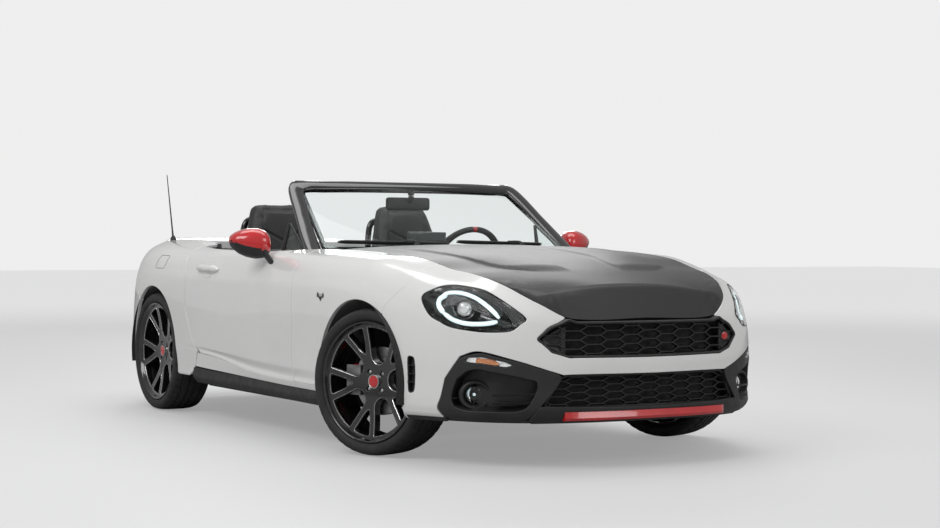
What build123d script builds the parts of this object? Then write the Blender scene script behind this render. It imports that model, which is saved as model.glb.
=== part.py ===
from build123d import *
from collections import namedtuple
import math
import os

os.makedirs("parts", exist_ok=True)

# Millimetres. +X is forward, +Y is the car's left, +Z is up.
# The origin is on the ground, halfway between nose and tail.

# ---- Driving dimensions ----
wheelbase = 2310.0
front_overhang = 880.0
rear_overhang = 864.0
body_width = 1740.0
track_front = 1496.0
track_rear = 1503.0
tyre_radius = 305.0
tyre_width = 205.0
tyre_shoulder = 28.0
rim_lip_radius = 249.0
rim_width = 190.0
disc_radius = 140.0
disc_thickness = 22.0
arch_gap = 35.0
steer_rest_deg = 21.0
kingpin_inset = 58.0

# ---- Clearances ----
seat_gap = 0.3
pin_clearance = 0.05
panel_gap = 6.0
door_front_gap = 8.5
door_rear_gap = 9.0
door_step = 14.0
bonnet_gap = 10.5
running_gap = 6.0
sill_gap = 12.0
tyre_inner_gap = 19.0

# ---- Body heights and walls ----
floor_bottom = 145.0
floor_top = 160.0
skirt_bottom = 175.0
bumper_bottom = 178.0
belt_z = 832.0
header_top = 1165.0
shell_wall = 16.0
bumper_wall = 26.0
liner_wall = 40.0

# ---- Places worked out from the driving dimensions ----
nose_x = (wheelbase + front_overhang + rear_overhang) / 2
front_axle_x = nose_x - front_overhang
rear_axle_x = front_axle_x - wheelbase
half_body = body_width / 2
arch_radius = tyre_radius + arch_gap
far_x = nose_x + 50  # planes well outside the body, for cutters
far_y = 1000.0
far_z = 1000.0

# ---- Plan outline: parallel sides, superellipse ends ----
end_round_length = 1127.0
nose_power = 2.9
tail_power = 3.2


def half_width(x):
    """Half the body's plan width at x."""
    reach = abs(x) - (nose_x - end_round_length)
    if reach <= 0:
        return half_body
    power = nose_power if x > 0 else tail_power
    return half_body * (1 - (reach / end_round_length) ** power) ** (1 / power)


# ---- Flank sections ----
# One row per station. Each level has an inset from the plan outline and a height.
Flank = namedtuple(
    "Flank",
    "x sill_in sill_z waist_z shoulder_in shoulder_z upper_in upper_z "
    "crest_in crest_z edge_in edge_z",
)
FLANK = [
    Flank(rear_axle_x - 460, 0, 360, 470, 35, 680, 55, 770, 95, 840, 204, 872),
    Flank(rear_axle_x, 0, 310, 520, 6, 690, 35, 785, 100, 845, 273, 885),
    Flank(rear_axle_x + 363, 3, 345, 520, 8, 690, 40, 785, 80, 830, 130, 845),
    Flank(rear_axle_x + 1263, 6, 277, 460, 14, 690, 40, 770, 62, 815, 85, belt_z),
    Flank(front_axle_x - 567, 6, 262, 440, 12, 685, 35, 765, 70, 820, 165, 845),
    Flank(front_axle_x, 0, 262, 450, 10, 680, 55, 780, 125, 822, 215, 826),
    Flank(front_axle_x + 223, 0, 265, 430, 18, 630, 50, 715, 105, 780, 222, 806),
    Flank(front_axle_x + 413, 0, 265, 390, 20, 590, 40, 660, 85, 735, 203, 772),
]


def flank_row(x):
    """The flank row at any x, in line between its neighbours in the table."""
    for low, high in zip(FLANK, FLANK[1:]):
        if x <= high.x or high is FLANK[-1]:
            share = (x - low.x) / (high.x - low.x)
            return Flank(*(a + (b - a) * share for a, b in zip(low, high)))


def flank_outline(x):
    """Skin points (y, z) from the sill up to the top edge, on the +Y side."""
    row = flank_row(x)
    wide = half_width(x)
    return [
        (wide - row.sill_in, row.sill_z),
        (wide, row.waist_z),
        (wide - row.shoulder_in, row.shoulder_z),
        (wide - row.upper_in, row.upper_z),
        (wide - row.crest_in, row.crest_z),
        (wide - row.edge_in, row.edge_z),
    ]


def inner_line(points, wall):
    """The same open outline moved inwards by wall, square to its chords."""
    moved = []
    for i, (y, z) in enumerate(points):
        before = points[max(i - 1, 0)]
        after = points[min(i + 1, len(points) - 1)]
        dy, dz = after[0] - before[0], after[1] - before[1]
        size = math.hypot(dy, dz)
        moved.append((y - dz / size * wall, z + dy / size * wall))
    return moved


def mirror_points(points, side):
    """Points (y, z) on the +Y side, taken to the side asked for."""
    return [(side * y, z) for y, z in points]


def cross_stations(low_x, high_x):
    """The two ends and the table's own stations between them."""
    inside = [row.x for row in FLANK if low_x + 20 < row.x < high_x - 20]
    return [low_x] + inside + [high_x]


# ---- Shut lines, in side view, as (distance from an axle, height) ----
DOOR_FRONT = [(-653, 850), (-631, 586), (-605, 262)]      # from the front axle
DOOR_REAR = [(356, 860), (437, 738), (458, 544), (563, 384), (640, 330)]  # from the rear axle
door_front_line = [(front_axle_x + dx, z) for dx, z in DOOR_FRONT]
door_rear_line = [(rear_axle_x + dx, z) for dx, z in DOOR_REAR]
door_bottom_mid = (rear_axle_x + 1263, 284.0)
fender_front_x = front_axle_x + arch_radius + 43
bumper_rear_x = front_axle_x + arch_radius - 87
bumper_top = 640.0
rear_bumper_front_x = rear_axle_x - 237
rear_bumper_top = 620.0
quarter_end_x = rear_axle_x - 457

# ---- Door hinge ----
hinge_x = front_axle_x - 710
hinge_y = half_body - 25
hinge_heights = (400.0, 570.0)
hinge_pin_radius = 5.0
hinge_eye_radius = 9.0
hinge_leaf = 14.0
hinge_lug = 14.0
hinge_lug_gap = 1.0
hinge_pocket_half = 40.0
door_inner_y = half_body - 170
door_nose_inner_y = half_body - 84
door_nose_length = 45.0
structure_y = door_inner_y - 10
post_y = half_body - 150
post_wide = 80.0

# ---- Chassis lines: kingpins, rails and spring towers ----
kingpin_y = track_front / 2 - kingpin_inset
damper_y = kingpin_y - 160
rail_outer_y = kingpin_y - 260
rail_inner_y = rail_outer_y - 60
rail_low = 300.0
rail_high = 400.0
tower_outer_y = damper_y + 70
tower_low = 665.0
tower_high = 745.0
tower_half = 90.0

# ---- Cabin ----
firewall_x = front_axle_x - 547
cabin_rear_x = rear_axle_x + arch_radius + 23
sill_inner_y = structure_y - 90
sill_top = 400.0
tunnel_half = 130.0
plate = 20.0
well_rear_x = rear_axle_x - 60
boot_rear_x = -nose_x + 200
boot_floor = 430.0
deck_top = 872.0
quarter_inner_y = track_rear / 2 - tyre_width / 2 - tyre_inner_gap - liner_wall
boot_half = quarter_inner_y
bay_half = rail_outer_y + 10


def box_between(low, high):
    """A box from its lowest to its highest corner, as a loose solid."""
    size = [b - a for a, b in zip(low, high)]
    return Solid.make_box(*size, plane=Plane(low))


def prism(corners, reach):
    """A flat outline of (x, y, z) corners, drawn out along reach, as a loose solid."""
    return Solid.extrude(Face(Wire.make_polygon(corners, close=True)), Vector(reach))


def side_profile(points, low_y, high_y):
    """A side-view outline (x, z) drawn out between two y planes."""
    return prism([(x, low_y, z) for x, z in points], (0, high_y - low_y, 0))


def front_profile(points, low_x, high_x):
    """A front-view outline (y, z) drawn out between two x planes."""
    return prism([(low_x, y, z) for y, z in points], (high_x - low_x, 0, 0))


def cross_cylinder(x, z, radius, low_y, high_y):
    """A round bar across the car between two y planes."""
    return Solid.make_cylinder(radius, high_y - low_y, Plane((x, low_y, z), z_dir=(0, 1, 0)))


def wheel_cutter(axle_x, radius, low_y, high_y):
    """A round cutter across the car about one axle."""
    return cross_cylinder(axle_x, tyre_radius, radius, low_y, high_y)


def both_sides(low_y, high_y):
    """The same y range on the left and on the right."""
    return [(low_y, high_y), (-high_y, -low_y)]


def save(part, name):
    """Label a finished piece and write its STEP file."""
    part.label = name
    export_step(part, f"parts/{name}.step")


# ---- Nose and tail volumes ----
# One row per height: how far the end stands back, and how far the sides stand in.
End = namedtuple("End", "z back inset")
NOSE = [
    End(bumper_bottom, 30, 35),
    End(235, 0, 0),
    End(360, 0, 0),
    End(460, 5, 3),
    End(540, 18, 22),
    End(585, 35, 25),
    End(bumper_top, 105, 42),
    End(686, 177, 62),
    End(735, 317, 95),
]
TAIL = [
    End(200, 60, 60),
    End(260, 15, 20),
    End(400, 0, 0),
    End(560, 12, 12),
    End(rear_bumper_top, 22, 22),
    End(740, 55, 52),
    End(840, 85, 105),
    End(deck_top, 130, 190),
]
plan_steps = 9


def end_outline(row, start_x, power, forward, wall=0.0):
    """Closed plan outline (x, y) of an end, from start_x to the nose or tail."""
    reach = end_round_length - row.back - wall
    wide = half_body - row.inset - wall
    first = (start_x - (nose_x - end_round_length)) / reach
    first_turn = math.asin(max(first, 0.0) ** (power / 2))
    curve = []
    for i in range(plan_steps + 1):
        turn = first_turn + (math.pi / 2 - first_turn) * i / plan_steps
        x = nose_x - end_round_length + reach * math.sin(turn) ** (2 / power)
        y = wide * max(math.cos(turn), 0.0) ** (2 / power)
        curve.append((forward * x, y))
    return curve + [(x, -y) for x, y in reversed(curve[:-1])]


def end_volume(rows, start_x, power, forward, wall=0.0):
    """The nose or tail as a full solid, wall inside its skin."""
    with BuildPart() as volume:
        for row in rows:
            with BuildSketch(Plane.XY.offset(row.z)):
                with BuildLine():
                    Polyline(*end_outline(row, start_x, power, forward, wall), close=True)
                make_face()
        loft(ruled=True)
    return volume.part


nose_volume = end_volume(NOSE, bumper_rear_x, nose_power, 1)
nose_inside = end_volume(NOSE, bumper_rear_x, nose_power, 1, bumper_wall)
tail_volume = end_volume(TAIL, -rear_bumper_front_x, tail_power, -1)
tail_inside = end_volume(TAIL, -rear_bumper_front_x, tail_power, -1, bumper_wall)

# ---- Front light and grille outlines ----
headlight_profile = [
    (fender_front_x + seat_gap, bumper_top),
    (fender_front_x + seat_gap, 672.0),
    (nose_x - 361, 728.0),
    (nose_x - 60, 610.0),
    (nose_x - 60, 548.0),
    (nose_x - 160, 560.0),
]
headlight_inner_y = half_body - 400
headlight_low_z = 590.0
bonnet_mouth_z = 585.0
mouth_start_x = nose_x - 120
mouth_setback = 6.0
mouth_plate = 14.0
lip_half = half_body - 410
lip_top = 236.0
# front-view outlines: distance in from the body's side, height
UPPER_MOUTH = [(490, 430), (440, 500), (455, 578)]
LOWER_MOUTH = [(410, lip_top), (478, 368)]
INSERT = [(370, lip_top), (130, lip_top), (125, 330), (180, 425), (390, 395)]
upper_mouth = [(half_body - inset, z) for inset, z in UPPER_MOUTH]
lower_mouth = [(half_body - inset, z) for inset, z in LOWER_MOUTH]
insert_outline = [(half_body - inset, z) for inset, z in INSERT]
insert_start_x = front_axle_x + 563
tray_thickness = 8.0
tow_y = -330.0
tow_z = 310.0
tow_bore = 8.0
tow_depth = 70.0
tow_boss = 18.0
tow_opening = 22.0

upper_mouth_block, lower_mouth_block = [
    front_profile(half + mirror_points(half, -1)[::-1], mouth_start_x, far_x)
    for half in (upper_mouth, lower_mouth)
]
insert_blocks = [
    front_profile(mirror_points(insert_outline, side), insert_start_x, far_x) for side in (1, -1)
]
lip_block = box_between((mouth_start_x, -lip_half, bumper_bottom), (far_x, lip_half, lip_top))
mouth_skin = end_volume(NOSE, bumper_rear_x, nose_power, 1, mouth_setback) - end_volume(
    NOSE, bumper_rear_x, nose_power, 1, mouth_setback + mouth_plate
)

# ---- Front bumper: a wrapped shell with its mouths cut ----
with BuildPart() as front_bumper:
    add(nose_volume)
    add(nose_inside, mode=Mode.SUBTRACT)
    add(wheel_cutter(front_axle_x, arch_radius, -half_body - 10, half_body + 10), mode=Mode.SUBTRACT)
    # the top is open for the bonnet between the lights, and for the lights
    add(box_between((0, -far_y, bumper_top), (far_x, far_y, far_z)), mode=Mode.SUBTRACT)
    bonnet_mouth = box_between(
        (bumper_rear_x - 1, -headlight_inner_y, bonnet_mouth_z), (far_x, headlight_inner_y, far_z)
    )
    add(bonnet_mouth, mode=Mode.SUBTRACT)
    for low_y, high_y in both_sides(headlight_inner_y - 1, half_body):
        add(side_profile(headlight_profile, low_y, high_y), mode=Mode.SUBTRACT)
        add(box_between((mouth_start_x, low_y, headlight_low_z), (far_x, high_y, far_z)), mode=Mode.SUBTRACT)
    for cutter in [upper_mouth_block, lower_mouth_block, lip_block] + insert_blocks:
        add(cutter, mode=Mode.SUBTRACT)
save(front_bumper.part, "front_bumper")

# ---- Headlights: one block each side, behind the nose skin ----
with BuildPart() as headlights:
    for low_y, high_y in both_sides(headlight_inner_y, half_body):
        add(side_profile(headlight_profile, low_y, high_y))
    add(nose_volume, mode=Mode.INTERSECT)
save(headlights.part, "headlights")

# ---- Grilles and lamp inserts: plates set back inside their mouths ----
tow_way = Solid.make_cylinder(tow_opening, 400, Plane((mouth_start_x - 100, tow_y, tow_z), z_dir=(1, 0, 0)))
with BuildPart() as grilles:
    add(mouth_skin)
    add(upper_mouth_block + lower_mouth_block, mode=Mode.INTERSECT)
    add(tow_way, mode=Mode.SUBTRACT)
save(grilles.part, "grilles")

with BuildPart() as lamp_inserts:
    add(mouth_skin)
    add(insert_blocks[0] + insert_blocks[1], mode=Mode.INTERSECT)
save(lamp_inserts.part, "lamp_inserts")

# ---- Splitter: the lip under the lower grille and the tray behind it ----
with BuildPart() as splitter:
    add(nose_volume - nose_inside)
    add(lip_block, mode=Mode.INTERSECT)
    with BuildSketch(Plane.XY.offset(bumper_bottom - tray_thickness)):
        with BuildLine():
            Polyline(*end_outline(NOSE[0], bumper_rear_x, nose_power, 1, shell_wall), close=True)
        make_face()
    extrude(amount=tray_thickness)
    add(
        wheel_cutter(front_axle_x, arch_radius + 20, -half_body - 10, half_body + 10)
        - box_between((0, -bay_half, 0), (nose_x, bay_half, 900)),
        mode=Mode.SUBTRACT,
    )
save(splitter.part, "splitter")


# ---- Front wings: thin shells from the door to the headlight ----
for side, word in ((1, "left"), (-1, "right")):
    with BuildPart() as wing:
        for x in cross_stations(door_front_line[0][0] - 5, fender_front_x):
            outer = flank_outline(x)
            section = outer + inner_line(outer, shell_wall)[::-1]
            with BuildSketch(Plane.YZ.offset(x)):
                with BuildLine():
                    Polyline(*mirror_points(section, side), close=True)
                make_face()
        loft(ruled=True)
        add(wheel_cutter(front_axle_x, arch_radius, -half_body - 10, half_body + 10), mode=Mode.SUBTRACT)
        behind = [(x + door_front_gap, z) for x, z in door_front_line]
        behind = [(behind[0][0], far_z)] + behind + [(behind[-1][0], 0)]
        behind += [(hinge_x - 200, 0), (hinge_x - 200, far_z)]
        add(side_profile(behind, -half_body - 10, half_body + 10), mode=Mode.SUBTRACT)
        add(box_between((bumper_rear_x, -far_y, 0), (nose_x, far_y, bumper_top)), mode=Mode.SUBTRACT)
    save(wing.part, f"front_wing_{word}")

# ---- Bonnet ----
# One row per station: distance from the front axle, half width, edge and centre heights.
Bonnet = namedtuple("Bonnet", "x half edge_z crown_z")
bonnet_rear_x = front_axle_x - 487


def edge_half(x):
    """Half width between the two wings' top edges."""
    return flank_outline(x)[-1][0] - bonnet_gap


BONNET = [
    Bonnet(bonnet_rear_x, edge_half(bonnet_rear_x), 847, 868),
    Bonnet(front_axle_x - 127, edge_half(front_axle_x - 127), 838, 870),
    Bonnet(front_axle_x + 223, edge_half(front_axle_x + 223), 808, 840),
    Bonnet(fender_front_x, edge_half(fender_front_x), 780, 808),
    Bonnet(nose_x - 317, half_body - 320, 732, 754),
    Bonnet(nose_x - 177, half_body - 370, 688, 690),
    Bonnet(nose_x - 97, half_body - 430, 606, 612),
]
bonnet_wall = 20.0
bonnet_steps = 4
bonnet_hinge_x = bonnet_rear_x + 12
bonnet_hinge_z = 825.0
bonnet_hinge_ys = (half_body - 350, 350 - half_body)
# both lids turn on pins held by two lugs, one each side of an eye
lid_pin_radius = 5.0
lid_eye_radius = 10.0
lid_eye_half = 12.0
lid_lug_inner = 14.0
lid_lug_outer = 26.0
lid_lug_reach = 6.0
lid_bore_half = 20.0


def lug_pair(y):
    """The y ranges of the two lugs of a lid hinge at y."""
    return ((y - lid_lug_outer, y - lid_lug_inner), (y + lid_lug_inner, y + lid_lug_outer))



with BuildPart() as bonnet:
    for row in BONNET:
        shares = [i / bonnet_steps for i in range(-bonnet_steps, bonnet_steps + 1)]
        top = [(row.half * s, row.crown_z + (row.edge_z - row.crown_z) * s * s) for s in shares]
        below = [(y, z - bonnet_wall) for y, z in reversed(top)]
        with BuildSketch(Plane.YZ.offset(row.x)):
            with BuildLine():
                Polyline(*(top + below), close=True)
            make_face()
    loft(ruled=True)
    # hinge eyes under the rear corners
    for y in bonnet_hinge_ys:
        low_y, high_y = y - lid_eye_half, y + lid_eye_half
        add(box_between((bonnet_hinge_x - 8, low_y, bonnet_hinge_z - 8), (bonnet_hinge_x + 60, high_y, 850)))
        add(cross_cylinder(bonnet_hinge_x, bonnet_hinge_z, lid_eye_radius, low_y, high_y))
    for y in bonnet_hinge_ys:
        low_y, high_y = y - lid_bore_half, y + lid_bore_half
        bore = cross_cylinder(bonnet_hinge_x, bonnet_hinge_z, lid_pin_radius + pin_clearance, low_y, high_y)
        add(bore, mode=Mode.SUBTRACT)
save(bonnet.part, "bonnet")

# ---- Underbody: floor, tunnel, sills and bulkheads in one welded shell ----
cowl_low = 700.0
post_low = 280.0
cowl_high = 800.0
bulkhead_top = 760.0
support_x = nose_x - 225
radiator_thickness = 40.0
radiator_half = 300.0
radiator_low = 220.0
radiator_high = 540.0
support_top = 560.0
door_pin_length = 2 * (hinge_leaf + hinge_lug + hinge_lug_gap) + 2

underbody_boxes = [
    ((cabin_rear_x, -structure_y, floor_bottom), (firewall_x, structure_y, floor_top)),
    ((cabin_rear_x, -tunnel_half, floor_top), (firewall_x, tunnel_half, sill_top)),
    ((firewall_x, -structure_y, floor_bottom), (firewall_x + plate, structure_y, cowl_high)),
    ((firewall_x, -post_y, post_low), (firewall_x + plate, post_y, cowl_high)),
    ((cabin_rear_x - plate, -structure_y, floor_bottom), (cabin_rear_x, structure_y, bulkhead_top)),
    ((well_rear_x - plate, -boot_half, boot_floor), (well_rear_x, boot_half, bulkhead_top)),
    ((boot_rear_x, -boot_half, boot_floor), (cabin_rear_x, boot_half, boot_floor + plate)),
    ((boot_rear_x, -boot_half + 60, boot_floor), (boot_rear_x + plate, boot_half - 60, rear_bumper_top)),
]
front_frame_boxes = [
    ((support_x, -bay_half, bumper_bottom), (support_x + plate, bay_half, support_top)),
    (
        (support_x + plate, -radiator_half, radiator_low),
        (support_x + plate + radiator_thickness, radiator_half, radiator_high),
    ),
]
for low_y, high_y in both_sides(rail_inner_y, rail_outer_y):
    front_frame_boxes += [
        ((firewall_x + plate, low_y, rail_low), (support_x, high_y, rail_high)),
        ((front_axle_x - tower_half, low_y, rail_high), (front_axle_x + tower_half, high_y, tower_high)),
    ]
    underbody_boxes.append(((rear_axle_x - 60, low_y, rail_low), (rear_axle_x + 60, high_y, boot_floor)))
for low_y, high_y in both_sides(rail_outer_y, tower_outer_y):
    front_frame_boxes.append(
        ((front_axle_x - tower_half, low_y, tower_low), (front_axle_x + tower_half, high_y, tower_high))
    )
for low_y, high_y in both_sides(sill_inner_y, structure_y):
    underbody_boxes.append(((cabin_rear_x, low_y, floor_bottom), (firewall_x, high_y, sill_top)))
for low_y, high_y in both_sides(structure_y - post_wide, post_y):
    underbody_boxes.append(((hinge_x - 20, low_y, sill_top), (firewall_x, high_y, cowl_high)))
for low_y, high_y in both_sides(structure_y, post_y):
    underbody_boxes.append(((hinge_x - 20, low_y, post_low), (firewall_x, high_y, sill_top)))
for low_y, high_y in both_sides(structure_y - post_wide, structure_y):
    underbody_boxes.append(((hinge_x - 180, low_y, cowl_low), (hinge_x - 20, high_y, cowl_high)))

with BuildPart() as underbody:
    for low, high in underbody_boxes:
        add(box_between(low, high))
    for side in (1, -1):
        for z in hinge_heights:
            # the body half of each door hinge: a leaf out from the post, with its pin
            leaf_ys = sorted((side * (post_y - 5), side * hinge_y))
            add(
                box_between(
                    (hinge_x - 8, leaf_ys[0], z - hinge_leaf / 2),
                    (hinge_x + 8, leaf_ys[1], z + hinge_leaf / 2),
                )
            )
            pin_plane = Plane((hinge_x, side * hinge_y, z - door_pin_length / 2))
            add(Solid.make_cylinder(hinge_pin_radius, door_pin_length, pin_plane))
            leaf_plane = Plane((hinge_x, side * hinge_y, z - hinge_leaf / 2))
            add(Solid.make_cylinder(hinge_eye_radius, hinge_leaf, leaf_plane))
    for y in bonnet_hinge_ys:
        # bonnet hinge pins on lugs that stand on the bulkhead
        rear_x, front_x = bonnet_hinge_x - lid_lug_reach, bonnet_hinge_x + lid_lug_reach
        lug_top = bonnet_hinge_z + lid_lug_reach
        for low_y, high_y in lug_pair(y):
            add(box_between((firewall_x, low_y, cowl_high - 15), (front_x, high_y, bonnet_hinge_z - 13)))
            add(box_between((rear_x, low_y, cowl_high - 15), (front_x, high_y, lug_top)))
        low_y, high_y = y - lid_lug_outer, y + lid_lug_outer
        add(cross_cylinder(bonnet_hinge_x, bonnet_hinge_z, lid_pin_radius, low_y, high_y))
save(underbody.part, "underbody")

# ---- Front frame: rails, spring towers, radiator support and towing socket ----
with BuildPart() as front_frame:
    for low, high in front_frame_boxes:
        add(box_between(low, high))
    # the threaded socket for a towing eye, behind the lower grille
    tow_plane = Plane((support_x + plate - 2, tow_y, tow_z), z_dir=(1, 0, 0))
    add(Solid.make_cylinder(tow_boss, tow_depth + 12, tow_plane))
    bore_plane = Plane((support_x + plate + 10, tow_y, tow_z), z_dir=(1, 0, 0))
    add(Solid.make_cylinder(tow_bore, tow_depth + 10, bore_plane), mode=Mode.SUBTRACT)
save(front_frame.part, "front_frame")

# ---- Engine: one plain block on the front cross member ----
engine_half = 250.0
engine_mount_z = 260.0
engine_top = 690.0
engine_xs = (front_axle_x - 300, front_axle_x + 290)
with BuildPart() as engine_block:
    add(box_between((engine_xs[0], -engine_half, engine_mount_z), (engine_xs[1], engine_half, engine_top)))
save(engine_block.part, "engine_block")


# ---- Doors: whole-thickness slabs with a slim nose ahead of the hinge ----
def flank_slab(low_x, high_x, inner_y, side):
    """A solid wall between the skin and an upright inner plane."""
    with BuildPart() as slab:
        for x in cross_stations(low_x, high_x):
            outer = flank_outline(x)
            section = outer + [(inner_y, outer[-1][1]), (inner_y, outer[0][1])]
            with BuildSketch(Plane.YZ.offset(x)):
                with BuildLine():
                    Polyline(*mirror_points(section, side), close=True)
                make_face()
        loft(ruled=True)
    return slab.part


door_profile = (
    [(x, z) for x, z in door_front_line]
    + [door_bottom_mid]
    + [(x, z) for x, z in reversed(door_rear_line)]
)
door_step_y = half_body - 60
step_line = door_rear_line + [(door_rear_line[-1][0], door_bottom_mid[1])]
rear_step = step_line + [(x + door_step, z) for x, z in reversed(step_line)]
pocket_rear_x = hinge_x - door_nose_length
pocket_front_x = firewall_x + 60
mirror_x = front_axle_x - 985
mirror_foot_z = 760.0
mirror_low = 820.0
mirror_high = 925.0
mirror_reach = 95.0
mirror_round = 30.0
for side, word in ((1, "left"), (-1, "right")):
    door_slab = flank_slab(door_rear_line[0][0] - 20, door_front_line[-1][0] + 20, door_inner_y, side)
    nose_ys = sorted((side * (door_inner_y - 60), side * door_nose_inner_y))
    hinge_ys = sorted((side * (door_inner_y - 60), side * (hinge_y + hinge_eye_radius + 6)))
    step_ys = sorted((side * (door_inner_y - 10), side * door_step_y))
    with BuildPart() as door:
        add(door_slab)
        add(side_profile(door_profile, -half_body - 10, half_body + 10), mode=Mode.INTERSECT)
        # the inner part stops short, so that it swings clear of the corner behind
        add(side_profile(rear_step, *step_ys), mode=Mode.SUBTRACT)
        add(
            box_between((pocket_rear_x, nose_ys[0], 0), (pocket_front_x, nose_ys[1], far_z)),
            mode=Mode.SUBTRACT,
        )
        for z in hinge_heights:
            low_z, high_z = z - hinge_pocket_half, z + hinge_pocket_half
            add(
                box_between((pocket_rear_x, hinge_ys[0], low_z), (pocket_front_x, hinge_ys[1], high_z)),
                mode=Mode.SUBTRACT,
            )
            lug_step = hinge_leaf / 2 + hinge_lug_gap
            for low_z in (z - lug_step - hinge_lug, z + lug_step):
                eye_plane = Plane((hinge_x, side * hinge_y, low_z))
                lug_ys = sorted((side * (hinge_y - 8), side * (hinge_y + 8)))
                high_z = low_z + hinge_lug
                add(box_between((pocket_rear_x - 5, lug_ys[0], low_z), (hinge_x, lug_ys[1], high_z)))
                add(Solid.make_cylinder(hinge_eye_radius, hinge_lug, eye_plane))
            bore_plane = Plane((hinge_x, side * hinge_y, z - hinge_pocket_half))
            bore = Solid.make_cylinder(hinge_pin_radius + pin_clearance, 2 * hinge_pocket_half, bore_plane)
            add(bore, mode=Mode.SUBTRACT)
    save(door.part, f"door_{word}")
    foot_ys = sorted((side * (half_body - 70), side * (half_body - 10)))
    head_ys = sorted((side * (half_body - 50), side * (half_body + mirror_reach)))
    with BuildPart() as mirror:
        foot_top = mirror_low + 5
        add(box_between((mirror_x - 10, foot_ys[0], mirror_foot_z), (mirror_x + 70, foot_ys[1], foot_top)))
        add(door.part, mode=Mode.SUBTRACT)
        head = box_between((mirror_x - 60, head_ys[0], mirror_low), (mirror_x + 70, head_ys[1], mirror_high))
        add(head.fillet(mirror_round, head.edges().filter_by(Axis.Y)))
    save(mirror.part, f"mirror_{word}")

# ---- Rear quarters: solid corners around the rear wheels ----
tail_light_top = 770.0
for side, word in ((1, "left"), (-1, "right")):
    quarter_slab = flank_slab(quarter_end_x, rear_axle_x + 700, quarter_inner_y, side)
    ahead = [(x - door_rear_gap, z) for x, z in door_rear_line]
    ahead = [(ahead[0][0], far_z)] + ahead + [(ahead[-1][0], 0), (firewall_x, 0), (firewall_x, far_z)]
    cut_ys = sorted((side * (quarter_inner_y + liner_wall), side * (half_body + 10)))
    cabin_ys = sorted((side * (quarter_inner_y - 10), side * (structure_y + seat_gap)))
    with BuildPart() as quarter:
        add(quarter_slab)
        add(side_profile(ahead, -half_body - 10, half_body + 10), mode=Mode.SUBTRACT)
        add(wheel_cutter(rear_axle_x, arch_radius, *cut_ys), mode=Mode.SUBTRACT)
        below = box_between((-nose_x, -far_y, 0), (rear_bumper_front_x, far_y, rear_bumper_top))
        add(below, mode=Mode.SUBTRACT)
        cabin = box_between((cabin_rear_x - plate, cabin_ys[0], 0), (firewall_x, cabin_ys[1], far_z))
        add(cabin, mode=Mode.SUBTRACT)
        corner_ys = sorted((side * quarter_inner_y, side * half_body))
        corner = box_between(
            (-nose_x, corner_ys[0], tail_light_top + seat_gap), (quarter_end_x + 2, corner_ys[1], deck_top)
        )
        add(tail_volume & corner)
    save(quarter.part, f"rear_quarter_{word}")

# ---- Rear bumper, tail lights and boot lid, all inside the tail volume ----
lid_half = quarter_inner_y - panel_gap
lid_low = rear_bumper_top + panel_gap
lid_front_x = rear_axle_x - 137
lid_wall = 22.0
lid_pin_x = lid_front_x - 6
lid_pin_z = deck_top - 15
lid_arm_length = 40.0
lid_hinge_ys = (380.0, -380.0)
lid_front_gap = 14.0
exhaust_ys = (330.0, 430.0)
exhaust_z = 235.0
outlet_half_height = 45.0
diffuser_half = half_body - 370
diffuser_low = 190.0
diffuser_top = 330.0
tail_wall_x = -nose_x + 140
diffuser_front_x = tail_wall_x + 40

diffuser_block = box_between(
    (-far_x, -diffuser_half, diffuser_low), (diffuser_front_x, diffuser_half, diffuser_top)
)
with BuildPart() as rear_bumper:
    add(tail_volume - tail_inside)
    add(box_between((-far_x, -far_y, 0), (0, far_y, rear_bumper_top)), mode=Mode.INTERSECT)
    add(wheel_cutter(rear_axle_x, arch_radius, -half_body - 10, half_body + 10), mode=Mode.SUBTRACT)
    add(diffuser_block, mode=Mode.SUBTRACT)
save(rear_bumper.part, "rear_bumper")

with BuildPart() as rear_diffuser:
    add(tail_volume - tail_inside)
    add(diffuser_block, mode=Mode.INTERSECT)
    for low_y, high_y in both_sides(exhaust_ys[0] - 60, exhaust_ys[1] + 60):
        low_z, high_z = exhaust_z - outlet_half_height, exhaust_z + outlet_half_height
        add(box_between((-far_x, low_y, low_z), (diffuser_front_x, high_y, high_z)), mode=Mode.SUBTRACT)
save(rear_diffuser.part, "rear_diffuser")

with BuildPart() as tail_lights:
    add(tail_volume)
    lamp_front_x = quarter_end_x - seat_gap
    lamp_band = box_between((-nose_x, -far_y, rear_bumper_top), (lamp_front_x, far_y, tail_light_top))
    add(lamp_band, mode=Mode.INTERSECT)
    add(box_between((-nose_x, -quarter_inner_y, 0), (0, quarter_inner_y, far_z)), mode=Mode.SUBTRACT)
save(tail_lights.part, "tail_lights")

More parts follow.
